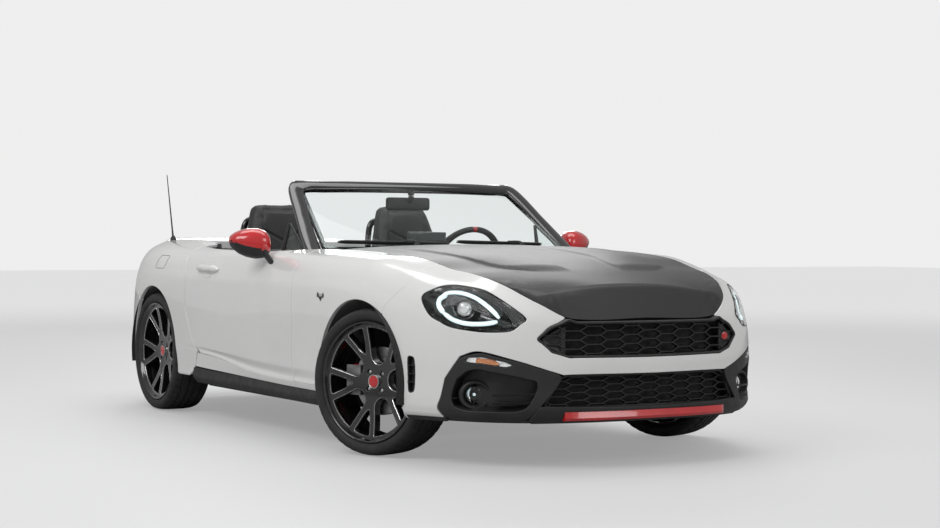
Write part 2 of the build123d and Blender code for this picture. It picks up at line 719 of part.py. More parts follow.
with BuildPart() as boot_lid:
    add(box_between((quarter_end_x, -lid_half, lid_low), (lid_front_x, lid_half, deck_top)))
    add(tail_volume & box_between((-nose_x, -lid_half, lid_low), (quarter_end_x, lid_half, deck_top)))
    add(
        box_between((tail_wall_x + 20, -lid_half, 0), (0, lid_half, deck_top - lid_wall)),
        mode=Mode.SUBTRACT,
    )
    for y in lid_hinge_ys:
        low_y, high_y = y - lid_eye_half, y + lid_eye_half
        arm_low = (lid_pin_x - lid_arm_length, low_y, lid_pin_z - 18)
        add(box_between(arm_low, (lid_pin_x, high_y, deck_top - 2)))
        add(cross_cylinder(lid_pin_x, lid_pin_z, lid_eye_radius, low_y, high_y))
    for y in lid_hinge_ys:
        low_y, high_y = y - lid_bore_half, y + lid_bore_half
        bore = cross_cylinder(lid_pin_x, lid_pin_z, lid_pin_radius + pin_clearance, low_y, high_y)
        add(bore, mode=Mode.SUBTRACT)
        slot_end = lid_lug_outer + 2
        for low_y, high_y in ((y - slot_end, y - lid_eye_half), (y + lid_eye_half, y + slot_end)):
            slot = box_between((lid_pin_x - 14, low_y, lid_low), (lid_front_x + 1, high_y, deck_top + 1))
            add(slot, mode=Mode.SUBTRACT)
save(boot_lid.part, "boot_lid")

# ---- Rear deck: the strip between the roof's well and the boot lid, with the lid's pins ----
deck_front_x = well_rear_x + 20
deck_wall_half = boot_half - 30
with BuildPart() as rear_deck:
    add(
        box_between(
            (lid_front_x + lid_front_gap, -quarter_inner_y, deck_top - lid_wall),
            (deck_front_x, quarter_inner_y, deck_top),
        )
    )
    wall_low = (well_rear_x - plate, -deck_wall_half, bulkhead_top)
    add(box_between(wall_low, (well_rear_x, deck_wall_half, deck_top - 1)))
    for y in lid_hinge_ys:
        for low_y, high_y in lug_pair(y):
            add(box_between((lid_pin_x, low_y, lid_pin_z - 7), (lid_front_x + 30, high_y, lid_pin_z + 6)))
            add(cross_cylinder(lid_pin_x, lid_pin_z, lid_pin_radius + 1.5, low_y, high_y))
        add(cross_cylinder(lid_pin_x, lid_pin_z, lid_pin_radius, y - lid_lug_outer, y + lid_lug_outer))
save(rear_deck.part, "rear_deck")

# ---- Side sills: the covers under the doors ----

def sill_cover(side):
    """One sill cover, its top edge just below the door and the body corners."""
    with BuildPart() as cover:
        for x in (rear_axle_x + arch_radius + 20, rear_axle_x + 1263, front_axle_x - arch_radius - 20):
            top = flank_row(x).sill_z - sill_gap
            section = [
                (structure_y, skirt_bottom),
                (half_body - 50, skirt_bottom),
                (half_body - 20, skirt_bottom + 30),
                (half_body - 22, skirt_bottom + 61),
                (half_body - 8, top),
                (structure_y, top),
            ]
            with BuildSketch(Plane.YZ.offset(x)):
                with BuildLine():
                    Polyline(*mirror_points(section, side), close=True)
                make_face()
        loft(ruled=True)
    return cover.part


left_cover = sill_cover(1)
right_cover = sill_cover(-1)
with BuildPart() as sill_covers:
    add(left_cover)
    add(right_cover)
save(sill_covers.part, "sill_covers")

# ---- Windscreen: pillars, header and cowl in one frame, and the glass in it ----
screen_base_z = 840.0
header_low = 1130.0
pillar_base_x = front_axle_x - 780
pillar_top_x = front_axle_x - 1170
base_bow = 150.0
header_bow = 62.0
pillar_base_y = structure_y - 5
pillar_top_y = half_body - 280
pillar_thick = 42.0
pillar_deep = 60.0
header_deep = 62.0
cowl_deep = 70.0
glass_thick = 8.0
glass_setback = 18.0
screen_steps = 4


def screen_curve(corner_x, bow, half_y):
    """Plan points of the screen at one height, bowed forward at the middle."""
    shares = [i / screen_steps for i in range(-screen_steps, screen_steps + 1)]
    return [(corner_x + bow * (1 - s * s), half_y * s) for s in shares]


def pillar_at(z):
    """Front x and outer y of the left pillar at height z."""
    share = (z - cowl_high) / (header_top - cowl_high)
    return (
        pillar_base_x + (pillar_top_x - pillar_base_x) * share,
        pillar_base_y + (pillar_top_y - pillar_base_y) * share,
    )


def band(low, high, z_low, z_high, deep):
    """A bowed bar across the car between two heights: curves are (corner_x, bow, half_y)."""
    with BuildPart() as bar:
        for curve, z in ((low, z_low), (high, z_high)):
            front = screen_curve(*curve)
            back = [(x - deep, y) for x, y in reversed(front)]
            with BuildSketch(Plane.XY.offset(z)):
                with BuildLine():
                    Polyline(*(front + back), close=True)
                make_face()
        loft(ruled=True)
    return bar.part


header_x = pillar_at(header_low)[0]
header_bar = band(
    (header_x, header_bow, pillar_top_y - 30),
    (pillar_top_x + 4, header_bow, pillar_top_y - 50),
    header_low,
    header_top,
    header_deep,
)
cowl_bar = band(
    (pillar_base_x - 20, base_bow + 60, pillar_base_y - 10),
    (pillar_base_x - 30, base_bow + 50, pillar_base_y - 20),
    cowl_high,
    screen_base_z,
    cowl_deep,
)
with BuildPart() as windscreen_frame:
    for side in (1, -1):
        for z in (cowl_high, header_top):
            x, y = pillar_at(z)
            back_x, inner_y = x - pillar_deep, y - pillar_thick
            corners = [(x, y), (x, inner_y), (back_x, inner_y), (back_x, y)]
            with BuildSketch(Plane.XY.offset(z)):
                with BuildLine():
                    Polyline(*[(px, side * py) for px, py in corners], close=True)
                make_face()
        loft(ruled=True)
    add(header_bar)
    add(cowl_bar)
save(windscreen_frame.part, "windscreen_frame")

glass_low_z = screen_base_z + seat_gap
glass_high_z = header_low - seat_gap
glass_ends = []
for z, bow in ((glass_low_z, base_bow), (glass_high_z, header_bow)):
    x, y = pillar_at(z)
    glass_ends.append((x - glass_setback, bow, y - pillar_thick - seat_gap))
windscreen = band(glass_ends[0], glass_ends[1], glass_low_z, glass_high_z, glass_thick)
save(windscreen, "windscreen_glass")

# ---- Dashboard with the steering column, and the centre console ----
dash_half = sill_inner_y - 5
seat_y = (tunnel_half + sill_inner_y) / 2 - 5
column_y = seat_y
wheel_centre = Vector(front_axle_x - 1185, column_y, 782)
column_tilt = 25.0
column_rearward = Vector(-math.cos(math.radians(column_tilt)), 0, math.sin(math.radians(column_tilt)))
steer_rim_radius = 175.0
steer_rim_thick = 14.0
column_radius = 34.0
column_ends = (-340.0, -40.0)
shaft_radius = 12.0
shaft_end = -180.0
boss_radius = 62.0
spoke_wide = 34.0
dash_profile = [
    (firewall_x - 430, 600),
    (firewall_x - 470, 790),
    (firewall_x - 400, 850),
    (firewall_x - 340, 850),
    (firewall_x - 300, 795),
    (firewall_x, 795),
    (firewall_x, 560),
    (firewall_x - 300, 540),
]


def column_plane(distance):
    """A plane square to the column, distance rearward of the steering wheel's centre."""
    return Plane(wheel_centre + column_rearward * distance, x_dir=(0, 1, 0), z_dir=column_rearward)


with BuildPart() as dashboard:
    add(side_profile(dash_profile, -dash_half, dash_half))
    add(Solid.make_cylinder(column_radius, column_ends[1] - column_ends[0], column_plane(column_ends[0])))
    bore_start = shaft_end - 39
    bore_length = column_ends[1] + 1 - bore_start
    bore = Solid.make_cylinder(shaft_radius + pin_clearance, bore_length, column_plane(bore_start))
    add(bore, mode=Mode.SUBTRACT)
save(dashboard.part, "dashboard")

with BuildPart() as steering_wheel:
    with BuildSketch(column_plane(0)):
        Circle(steer_rim_radius - 2)
        Circle(steer_rim_radius - 2 * steer_rim_thick, mode=Mode.SUBTRACT)
    extrude(amount=steer_rim_thick, both=True)
    with BuildSketch(column_plane(-6)):
        Circle(boss_radius)
        for turn in (0, 180, 270):
            with PolarLocations(0, 1, start_angle=turn):
                with Locations((steer_rim_radius / 2 + 2.5, 0)):
                    Rectangle(steer_rim_radius - 25, spoke_wide)
    extrude(amount=12)
    add(Solid.make_cylinder(boss_radius, 46, column_plane(-30)))
    add(Solid.make_cylinder(shaft_radius, -30 - shaft_end, column_plane(shaft_end)))
save(steering_wheel.part, "steering_wheel")

console_half = 115.0
console_xs = (cabin_rear_x + 60, firewall_x - 440, firewall_x - 310)
console_tops = (sill_top + 110, 535.0)
with BuildPart() as centre_console:
    for low_x, high_x, top in zip(console_xs, console_xs[1:], console_tops):
        add(box_between((low_x, -console_half, sill_top), (high_x, console_half, top)))
save(centre_console.part, "centre_console")

# ---- Seats: one soft body each, cushion, back and headrest ----
seat_half = 215.0
seat_back_x = cabin_rear_x + seat_gap
SEAT = [  # side view of a seat: distance ahead of the bulkhead, height
    (200, floor_top + seat_gap),
    (700, floor_top + seat_gap),
    (740, 360),
    (690, 400),
    (250, 340),
    (140, 840),
    (100, 1060),
    (30, 1075),
    (8, 1030),
    (10, 780),
    (10, 700),
    (110, 300),
]
with BuildPart() as seats:
    for y in (seat_y, -seat_y):
        points = [(seat_back_x + dx, z) for dx, z in SEAT]
        add(side_profile(points, y - seat_half, y + seat_half))
save(seats.part, "seats")

# ---- Roll hoops, folded roof and aerial ----
hoop_half = 170.0
hoop_bar = 40.0
hoop_top = 1010.0
hoop_xs = (cabin_rear_x - 32, cabin_rear_x - 2)
hoop_y = quarter_inner_y - hoop_half - 60
with BuildPart() as roll_hoops:
    for y in (hoop_y, -hoop_y):
        outer = box_between((hoop_xs[0], y - hoop_half, bulkhead_top), (hoop_xs[1], y + hoop_half, hoop_top))
        way_half = hoop_half - hoop_bar
        way_low = (hoop_xs[0] - 10, y - way_half, bulkhead_top - 10)
        add(outer - box_between(way_low, (hoop_xs[1] + 10, y + way_half, hoop_top - hoop_bar)))
save(roll_hoops.part, "roll_hoops")

roof_low = 560.0
roof_top = 845.0
roof_half = quarter_inner_y - 12
roof_front_x = cabin_rear_x - 40
with BuildPart() as folded_roof:
    roof_corner = (well_rear_x + seat_gap, -roof_half, roof_low + seat_gap)
    add(box_between(roof_corner, (roof_front_x, roof_half, roof_top)))
    deck_edge = box_between((well_rear_x - 10, -far_y, bulkhead_top - 5), (deck_front_x + 8, far_y, far_z))
    add(deck_edge, mode=Mode.SUBTRACT)
save(folded_roof.part, "folded_roof")

aerial_y = 250 - half_body
aerial_base = Vector(rear_axle_x - 334, aerial_y, 840)
aerial_top = Vector(rear_axle_x - 429, aerial_y, 1233)
aerial_plane = Plane(aerial_base, z_dir=(aerial_top - aerial_base).normalized())
aerial_foot = Solid.make_cylinder(9, 45, aerial_plane)
aerial_rod = Solid.make_cylinder(2.5, (aerial_top - aerial_base).length, aerial_plane)
right_quarter = quarter.part
save(aerial_foot + aerial_rod - right_quarter, "aerial")


# ---- Wheels, knuckles and suspension ----
def hub_place(axle_x, track, side, steer):
    """Hub centre, outward and forward directions of one wheel."""
    turn = math.radians(steer)
    outward = Vector(-math.sin(turn), math.cos(turn), 0) * side
    forward = Vector(math.cos(turn), math.sin(turn), 0)
    pivot = Vector(axle_x, side * (track / 2 - kingpin_inset), tyre_radius)
    return pivot + outward * kingpin_inset, outward, forward


def revolve_profile(points, hub, outward):
    """Turn a closed profile of (outward, radius) points about the wheel's axis."""
    plane = Plane(hub, x_dir=outward, z_dir=outward.cross(Vector(0, 0, 1)))
    face = Face(Wire.make_polygon([plane.from_local_coords((a, r, 0)) for a, r in points], close=True))
    return Solid.revolve(face, 360, Axis(hub, outward))


def hub_box(hub, outward, forward, low, high):
    """A box in a wheel's own directions: forward, up, outward."""
    origin = hub + forward * low[0] + Vector(0, 0, low[1]) + outward * low[2]
    up_first = outward.cross(forward).Z > 0
    if not up_first:
        origin = origin + Vector(0, 0, high[1] - low[1])
    size = [b - a for a, b in zip(low, high)]
    return Solid.make_box(*size, plane=Plane(origin, x_dir=forward, z_dir=outward))


def hub_bar(hub, outward, radius, low, high):
    """A round bar on the wheel's axis between two outward distances."""
    return Solid.make_cylinder(radius, high - low, Plane(hub + outward * low, z_dir=outward))


bead_radius = rim_lip_radius - 14
bead_half = rim_width / 2 - 13
hub_radius = 75.0
hub_bore = 30.0
hub_inner_a = 16.0
hub_outer_a = 70.0
face_inner_a = 48.0
disc_a = (-14.0, -14.0 + disc_thickness)
stub_end_a = 40.0
window_count = 5
window_end = rim_lip_radius - 49
WINDOW = [(108, -18), (window_end, -78), (window_end, 78), (108, 18)]  # (out from the axle, across)
caliper_reach = (disc_radius - 48, disc_radius + 28)
caliper_half = 62.0
caliper_a = (disc_a[0] - 34, disc_a[1] + 30)


def tyre_solid(hub, outward):
    """Tread, shoulders and side walls down to the bead."""
    half = tyre_width / 2
    points = [
        (-bead_half, bead_radius),
        (-bead_half, rim_lip_radius + 1),
        (-half + 2, rim_lip_radius + 14),
        (-half, tyre_radius - tyre_shoulder),
        (-half + 10, tyre_radius - 9),
        (-half + 26, tyre_radius),
    ]
    points += [(-a, r) for a, r in reversed(points)]
    return revolve_profile(points, hub, outward)


def barrel_solid(hub, outward):
    """The rim's barrel with a lip at each side of the tyre."""
    lip = rim_width / 2
    points = [
        (-lip, bead_radius - 22),
        (-lip, rim_lip_radius + 0.5),
        (-bead_half - seat_gap, rim_lip_radius + 0.5),
        (-bead_half - seat_gap, bead_radius - seat_gap),
    ]
    points += [(-a, r) for a, r in reversed(points)]
    return revolve_profile(points, hub, outward)


def caliper_solid(hub, outward, forward, toward):
    """A caliper over the disc's edge, toward the front (1) or the rear (-1)."""
    ends = sorted((toward * caliper_reach[0], toward * caliper_reach[1]))
    slot_ends = sorted((0, toward * (disc_radius + running_gap)))
    block = hub_box(
        hub, outward, forward, (ends[0], -caliper_half, caliper_a[0]), (ends[1], caliper_half, caliper_a[1])
    )
    slot = hub_box(
        hub,
        outward,
        forward,
        (slot_ends[0], -caliper_half - 20, disc_a[0] - running_gap),
        (slot_ends[1], caliper_half + 20, disc_a[1] + running_gap),
    )
    bracket_ends = sorted((0, toward * (caliper_reach[0] + 20)))
    bracket = hub_box(
        hub, outward, forward, (bracket_ends[0], -20, disc_a[0] - 40), (bracket_ends[1], 20, disc_a[0] - 16)
    )
    return Part() + block - slot + bracket


lower_arm_z = (195.0, 215.0)
upper_arm_z = (415.0, 430.0)
rear_arm_z = (225.0, 250.0)
carrier_top = 400.0
ball_pin_radius = 14.0
upright_radius = 24.0
arm_half = 32.0
arm_strut = 14.0
damper_radius = 24.0
cross_low = 180.0

for side, word in ((1, "left"), (-1, "right")):
    for end, axle_x, track, steer in (
        ("front", front_axle_x, track_front, steer_rest_deg),
        ("rear", rear_axle_x, track_rear, 0.0),
    ):
        hub, outward, forward = hub_place(axle_x, track, side, steer)
        save(tyre_solid(hub, outward), f"{end}_tyre_{word}")
        with BuildPart() as rim:
            add(barrel_solid(hub, outward))
            add(hub_bar(hub, outward, bead_radius - 15, face_inner_a, hub_outer_a))
            with BuildSketch(Plane(hub + outward * (face_inner_a - 1), x_dir=forward, z_dir=outward)):
                with PolarLocations(0, window_count, start_angle=90):
                    Polygon(*WINDOW, align=None)
            extrude(amount=hub_outer_a - face_inner_a + 2, mode=Mode.SUBTRACT)
            add(hub_bar(hub, outward, hub_radius, hub_inner_a, hub_outer_a))
            add(hub_bar(hub, outward, hub_radius + 6, disc_a[1] - 2, hub_inner_a + 2))
            add(hub_bar(hub, outward, disc_radius, *disc_a))
            bore = hub_bar(hub, outward, hub_bore + pin_clearance, disc_a[0] - 1, stub_end_a + running_gap)
            add(bore, mode=Mode.SUBTRACT)
        save(rim.part, f"{end}_rim_{word}")
    hub, outward, forward = hub_place(front_axle_x, track_front, side, steer_rest_deg)
    pivot = hub - outward * kingpin_inset
    low_z, high_z = lower_arm_z[1] + 1, upper_arm_z[0] - 1
    with BuildPart() as knuckle:
        add(Solid.make_cylinder(upright_radius, high_z - low_z, Plane((pivot.X, pivot.Y, low_z))))
        add(
            Solid.make_cylinder(
                ball_pin_radius, upper_arm_z[1] - lower_arm_z[0], Plane((pivot.X, pivot.Y, lower_arm_z[0]))
            )
        )
        add(hub_bar(hub, outward, hub_bore, -kingpin_inset, stub_end_a))
        add(caliper_solid(hub, outward, forward, -1))
    save(knuckle.part, f"front_knuckle_{word}")

cross_half = rail_inner_y
with BuildPart() as front_suspension:
    cross_front = (front_axle_x + 60, cross_half, engine_mount_z)
    add(box_between((front_axle_x - 60, -cross_half, cross_low), cross_front))
    for low_y, high_y in both_sides(rail_inner_y - 20, rail_outer_y - 10):
        add(box_between((front_axle_x - 40, low_y, 200), (front_axle_x + 40, high_y, rail_low)))
    for side in (1, -1):
        lower_ys = sorted((side * (cross_half - 5), side * kingpin_y))
        add(
            box_between(
                (front_axle_x - arm_half, lower_ys[0], lower_arm_z[0]),
                (front_axle_x + arm_half, lower_ys[1], lower_arm_z[1]),
            )
        )
        upper_ys = sorted((side * rail_outer_y, side * kingpin_y))
        for low_x, high_x in ((-arm_half - arm_strut, -arm_half), (arm_half, arm_half + arm_strut)):
            add(
                box_between(
                    (front_axle_x + low_x, upper_ys[0], upper_arm_z[0]),
                    (front_axle_x + high_x, upper_ys[1], upper_arm_z[1]),
                )
            )
        tie_ys = sorted((side * (kingpin_y - 70), side * kingpin_y))
        tie_low = (front_axle_x - arm_half - arm_strut, tie_ys[0], upper_arm_z[0])
        add(box_between(tie_low, (front_axle_x + arm_half + arm_strut, tie_ys[1], upper_arm_z[1])))
        for low_z, high_z in (lower_arm_z, upper_arm_z):
            add(Solid.make_cylinder(arm_half, high_z - low_z, Plane((front_axle_x, side * kingpin_y, low_z))))
        damper_plane = Plane((front_axle_x, side * damper_y, lower_arm_z[1] - 2))
        add(Solid.make_cylinder(damper_radius, tower_low - lower_arm_z[1] + 2, damper_plane))
        bore_plane = Plane((front_axle_x, side * kingpin_y, 100))
        add(Solid.make_cylinder(ball_pin_radius + pin_clearance, 500, bore_plane), mode=Mode.SUBTRACT)
save(front_suspension.part, "front_suspension")

with BuildPart() as rear_suspension:
    add(box_between((rear_axle_x - 60, -cross_half, 200), (rear_axle_x + 60, cross_half, rail_low)))
    for side in (1, -1):
        rail_ys = sorted((side * rail_inner_y, side * rail_outer_y))
        add(box_between((rear_axle_x - 40, rail_ys[0], 220), (rear_axle_x + 40, rail_ys[1], rail_low)))
        hub, outward, forward = hub_place(rear_axle_x, track_rear, side, 0)
        carrier_y = abs(hub.Y) - kingpin_inset
        arm_ys = sorted((side * (cross_half - 5), side * carrier_y))
        low_x, high_x = rear_axle_x - arm_half, rear_axle_x + arm_half
        add(box_between((low_x, arm_ys[0], rear_arm_z[0]), (high_x, arm_ys[1], rear_arm_z[1])))
        carrier_ys = sorted((side * (carrier_y - 20), side * (carrier_y + 20)))
        add(box_between((low_x, carrier_ys[0], rear_arm_z[0]), (high_x, carrier_ys[1], carrier_top)))
        add(hub_bar(hub, outward, hub_bore, -kingpin_inset, stub_end_a))
        add(caliper_solid(hub, outward, forward, 1))
save(rear_suspension.part, "rear_suspension")

# ---- Exhaust: silencer and four tail pipes ----
silencer_x = (rear_axle_x - 560, rear_axle_x - 400)
silencer_half = exhaust_ys[0]
silencer_z = (250.0, 370.0)
outlet_z = (200.0, 300.0)
pipe_end_x = -nose_x + 52
pipe_radius = 38.0
pipe_wall = 4.0
with BuildPart() as exhaust:
    low, high = zip(silencer_x, (-silencer_half, silencer_half), silencer_z)
    add(box_between(low, high))
    for y in (200, -200):
        hanger_x = silencer_x[0] + 60
        add(box_between((hanger_x, y - 15, silencer_z[1] - 5), (hanger_x + 30, y + 15, boot_floor)))
    for side in (1, -1):
        outlet_ys = sorted((side * (exhaust_ys[0] - 40), side * (exhaust_ys[1] + 30)))
        low, high = zip(silencer_x, outlet_ys, outlet_z)
        add(box_between(low, high))
        for y in exhaust_ys:
            pipe_plane = Plane((pipe_end_x, side * y, exhaust_z), z_dir=(1, 0, 0))
            add(Solid.make_cylinder(pipe_radius, silencer_x[0] + 10 - pipe_end_x, pipe_plane))
            add(Solid.make_cylinder(pipe_radius - pipe_wall, 60, pipe_plane), mode=Mode.SUBTRACT)
save(exhaust.part, "exhaust")
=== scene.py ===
"""Roadster convertible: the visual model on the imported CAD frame. +X forward, +Y the car's left, +Z up,
metres."""
import math
import bpy
import numpy as np
from mathutils import Matrix, Vector
from mathutils.geometry import delaunay_2d_cdt


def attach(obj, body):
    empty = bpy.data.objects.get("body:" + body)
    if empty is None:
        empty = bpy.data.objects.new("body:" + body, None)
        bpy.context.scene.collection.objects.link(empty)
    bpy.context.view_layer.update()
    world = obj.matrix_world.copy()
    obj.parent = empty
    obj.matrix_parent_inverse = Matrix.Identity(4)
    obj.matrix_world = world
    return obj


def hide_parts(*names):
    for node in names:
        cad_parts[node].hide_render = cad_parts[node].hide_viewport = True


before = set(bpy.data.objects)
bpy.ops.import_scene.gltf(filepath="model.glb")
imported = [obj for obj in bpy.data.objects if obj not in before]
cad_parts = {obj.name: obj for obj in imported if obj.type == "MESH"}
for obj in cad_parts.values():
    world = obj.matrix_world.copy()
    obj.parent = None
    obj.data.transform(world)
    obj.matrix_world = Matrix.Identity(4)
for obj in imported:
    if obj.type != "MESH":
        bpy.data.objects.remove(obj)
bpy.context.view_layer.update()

SIDES = ((1, "left"), (-1, "right"))
MAT = {}

# ------------------------------------------------------------ materials


def socket(shader, name, value):
    shader.inputs[name].default_value = value


class Nodes:
    """A material and short calls that add its nodes."""

    def __init__(self, name, rgb, rough=0.5, metal=0.0, **more):
        self.mat = MAT[name] = bpy.data.materials.new(name)
        self.mat.use_nodes = True
        self.tree = self.mat.node_tree
        self.shader = self.tree.nodes["Principled BSDF"]
        socket(self.shader, "Base Color", (*rgb, 1))
        socket(self.shader, "Roughness", rough)
        socket(self.shader, "Metallic", metal)
        for key, value in more.items():
            socket(self.shader, key.replace("_", " "), value)
        self.place = self.add("ShaderNodeTexCoord").outputs["Object"]
        self.height = None

    def add(self, kind, **values):
        node = self.tree.nodes.new(kind)
        for key, value in values.items():
            if hasattr(node, key):
                setattr(node, key, value)
            else:
                node.inputs[key].default_value = value
        return node

    def link(self, a, b):
        self.tree.links.new(a, b)

    def texture(self, kind, stretch, **values):
        """A texture in the object's own space."""
        node, turn = self.add(kind, **values), self.add("ShaderNodeMapping", Scale=stretch)
        self.link(self.place, turn.inputs["Vector"])
        self.link(turn.outputs["Vector"], node.inputs["Vector"])
        return node

    def noise(self, scale, detail=3.0, stretch=(1, 1, 1)):
        return self.texture("ShaderNodeTexNoise", stretch, Scale=scale, Detail=detail).outputs["Fac"]

    def cells(self, scale):
        return self.texture("ShaderNodeTexVoronoi", (1, 1, 1), Scale=scale).outputs["Distance"]

    def colour(self, fac, dark, light, low=0.3, high=0.7):
        node = self.add("ShaderNodeValToRGB")
        self.link(fac, node.inputs["Fac"])
        for mark, at, rgb in zip(node.color_ramp.elements, (low, high), (dark, light)):
            mark.position, mark.color = at, (*rgb, 1)
        self.link(node.outputs["Color"], self.shader.inputs["Base Color"])
        return self

    def vary_rough(self, fac, low, high):
        node = self.add("ShaderNodeMapRange")
        self.link(fac, node.inputs["Value"])
        for key, value in (("From Min", 0.3), ("From Max", 0.7), ("To Min", low), ("To Max", high)):
            node.inputs[key].default_value = value
        self.link(node.outputs["Result"], self.shader.inputs["Roughness"])
        return self

    def bump(self, fac, distance, strength=1.0):
        node = self.add("ShaderNodeBump", Distance=distance, Strength=strength)
        self.link(fac, node.inputs["Height"])
        if self.height is not None:
            self.link(self.height, node.inputs["Normal"])
        self.height = node.outputs["Normal"]
        self.link(self.height, self.shader.inputs["Normal"])
        return self


def grey(v):
    return (v, v, v)


n = Nodes("body_paint", (0.80, 0.80, 0.785), 0.22, Coat_Weight=1.0, Coat_Roughness=0.03)
n.colour(n.noise(3.0, 2), (0.775, 0.778, 0.77), (0.815, 0.812, 0.80))
n.vary_rough(n.noise(900, 1), 0.20, 0.30).bump(n.noise(60, 2), 0.0001, 0.25)
n = Nodes("matt_black_paint", grey(0.012), 0.42, Specular_IOR_Level=0.5)
n.colour(n.noise(60, 3), grey(0.0122), grey(0.0138))
n.vary_rough(n.noise(90, 4), 0.385, 0.415).bump(n.noise(1400, 2), 0.00010, 0.3)
n = Nodes("black_plastic", grey(0.016), 0.5)
n.colour(n.noise(9, 4), grey(0.012), grey(0.022))
n.vary_rough(n.noise(30, 4), 0.42, 0.58).bump(n.cells(650), 0.0003, 0.45)
n = Nodes("gloss_black_trim", grey(0.008), 0.12, Coat_Weight=0.6, Coat_Roughness=0.05)
n.colour(n.noise(6, 3), grey(0.006), grey(0.011))
n.vary_rough(n.noise(25, 4), 0.10, 0.18)
n = Nodes("red_paint", (0.56, 0.006, 0.010), 0.2, Coat_Weight=1.0, Coat_Roughness=0.04)
n.colour(n.noise(8, 2), (0.50, 0.004, 0.008), (0.60, 0.010, 0.013))
n.vary_rough(n.noise(700, 1), 0.16, 0.28)
n = Nodes("lamp_glass", (0.97, 0.98, 0.98), 0.01, Transmission_Weight=1.0, IOR=1.2)
n.vary_rough(n.noise(40, 3), 0.0, 0.03)
n = Nodes("lamp_light", (0.72, 0.84, 0.86), 0.3, Emission_Strength=0.55)
socket(n.shader, "Emission Color", (0.75, 0.93, 0.97, 1))
n.colour(n.noise(260, 2), (0.66, 0.80, 0.83), (0.80, 0.89, 0.90), 0.35, 0.65)
n = Nodes("tail_lamp", (0.55, 0.008, 0.01), 0.08, Transmission_Weight=0.35, IOR=1.4, Coat_Weight=1.0)
n.colour(n.noise(12, 2), (0.46, 0.005, 0.008), (0.62, 0.012, 0.014))
n.vary_rough(n.noise(60, 2), 0.05, 0.14)
n = Nodes("amber_lamp", (0.85, 0.30, 0.06), 0.12, Transmission_Weight=0.2, Coat_Weight=1.0)
n.colour(n.cells(170), (0.90, 0.38, 0.12), (0.70, 0.18, 0.03), 0.1, 0.8)
n = Nodes("lamp_chrome", grey(0.75), 0.12, 1.0)
n.colour(n.noise(30, 2), grey(0.68), grey(0.82))
n.vary_rough(n.noise(90, 2), 0.06, 0.2)
n = Nodes("clear_glass", (0.90, 0.95, 0.94), 0.0, Transmission_Weight=1.0, IOR=1.12)
n.vary_rough(n.noise(4, 2), 0.0, 0.015)
n = Nodes("interior_plastic", grey(0.022), 0.55)
n.colour(n.noise(7, 4), grey(0.016), grey(0.028))
n.vary_rough(n.noise(20, 4), 0.48, 0.64).bump(n.cells(420), 0.0005, 0.5)
n = Nodes("interior_leather", grey(0.020), 0.45, Specular_IOR_Level=0.45)
n.colour(n.noise(8, 4), grey(0.014), grey(0.030))
n.vary_rough(n.noise(16, 4), 0.36, 0.56)
n.bump(n.cells(330), 0.0006, 0.5).bump(n.noise(14, 4), 0.003, 0.25)
n = Nodes("roof_fabric", grey(0.02), 0.85, Sheen_Weight=0.25, Sheen_Roughness=0.4)
wave_a = n.add("ShaderNodeTexWave", Scale=420.0, Distortion=0.6)
wave_b = n.add("ShaderNodeTexWave", Scale=420.0, Distortion=0.6, bands_direction="Y")
for wave in (wave_a, wave_b):
    n.link(n.place, wave.inputs["Vector"])
mix = n.add("ShaderNodeMath", operation="MULTIPLY")
n.link(wave_a.outputs["Fac"], mix.inputs[0])
n.link(wave_b.outputs["Fac"], mix.inputs[1])
n.colour(n.noise(11, 5), grey(0.014), grey(0.028)).bump(mix.outputs["Value"], 0.0006, 0.6)
n = Nodes("carpet", grey(0.018), 0.95, Sheen_Weight=0.3)
n.colour(n.noise(160, 5), grey(0.010), grey(0.032), 0.35, 0.65).bump(n.noise(700, 4), 0.002, 0.7)
n = Nodes("tyre_rubber", grey(0.020), 0.72)
n.colour(n.noise(9, 5), grey(0.014), grey(0.028))
n.vary_rough(n.noise(22, 4), 0.62, 0.82).bump(n.noise(300, 4), 0.0005, 0.35)
n = Nodes("wheel_alloy", grey(0.010), 0.16, 0.2, Coat_Weight=1.0, Coat_Roughness=0.04)
n.colour(n.noise(10, 3), grey(0.008), grey(0.014))
n.vary_rough(n.noise(40, 3), 0.12, 0.22)
n = Nodes("machined_edge", grey(0.72), 0.22, 1.0)
n.colour(n.noise(40, 3), grey(0.60), grey(0.80))
n.vary_rough(n.noise(220, 3), 0.16, 0.32)
n = Nodes("steel", grey(0.42), 0.34, 1.0)
n.colour(n.noise(30, 4), grey(0.32), grey(0.50))
n.vary_rough(n.noise(90, 4), 0.26, 0.44)
n = Nodes("cast_alloy", grey(0.30), 0.5, 0.8)
n.colour(n.noise(24, 5), grey(0.20), grey(0.36)).bump(n.noise(240, 4), 0.0006, 0.5)
n.vary_rough(n.noise(40, 4), 0.42, 0.62)
n = Nodes("stainless", grey(0.62), 0.2, 1.0)
n.colour(n.noise(6, 3, (1, 12, 12)), (0.52, 0.51, 0.50), (0.70, 0.69, 0.67))
n.vary_rough(n.noise(26, 4), 0.14, 0.30)
n = Nodes("underseal", grey(0.020), 0.85)
n.colour(n.noise(5, 5), (0.016, 0.016, 0.015), (0.034, 0.032, 0.030))
n.bump(n.noise(120, 5), 0.002, 0.6)

# ------------------------------------------------------------ mesh helpers


def shown(name, data):
    obj = bpy.data.objects.new(name, data)
    bpy.context.scene.collection.objects.link(obj)
    return obj


def mesh_of(name, verts, faces):
    mesh = bpy.data.meshes.new(name)
    mesh.from_pydata([tuple(map(float, v)) for v in verts], [], [tuple(f) for f in faces])
    return mesh


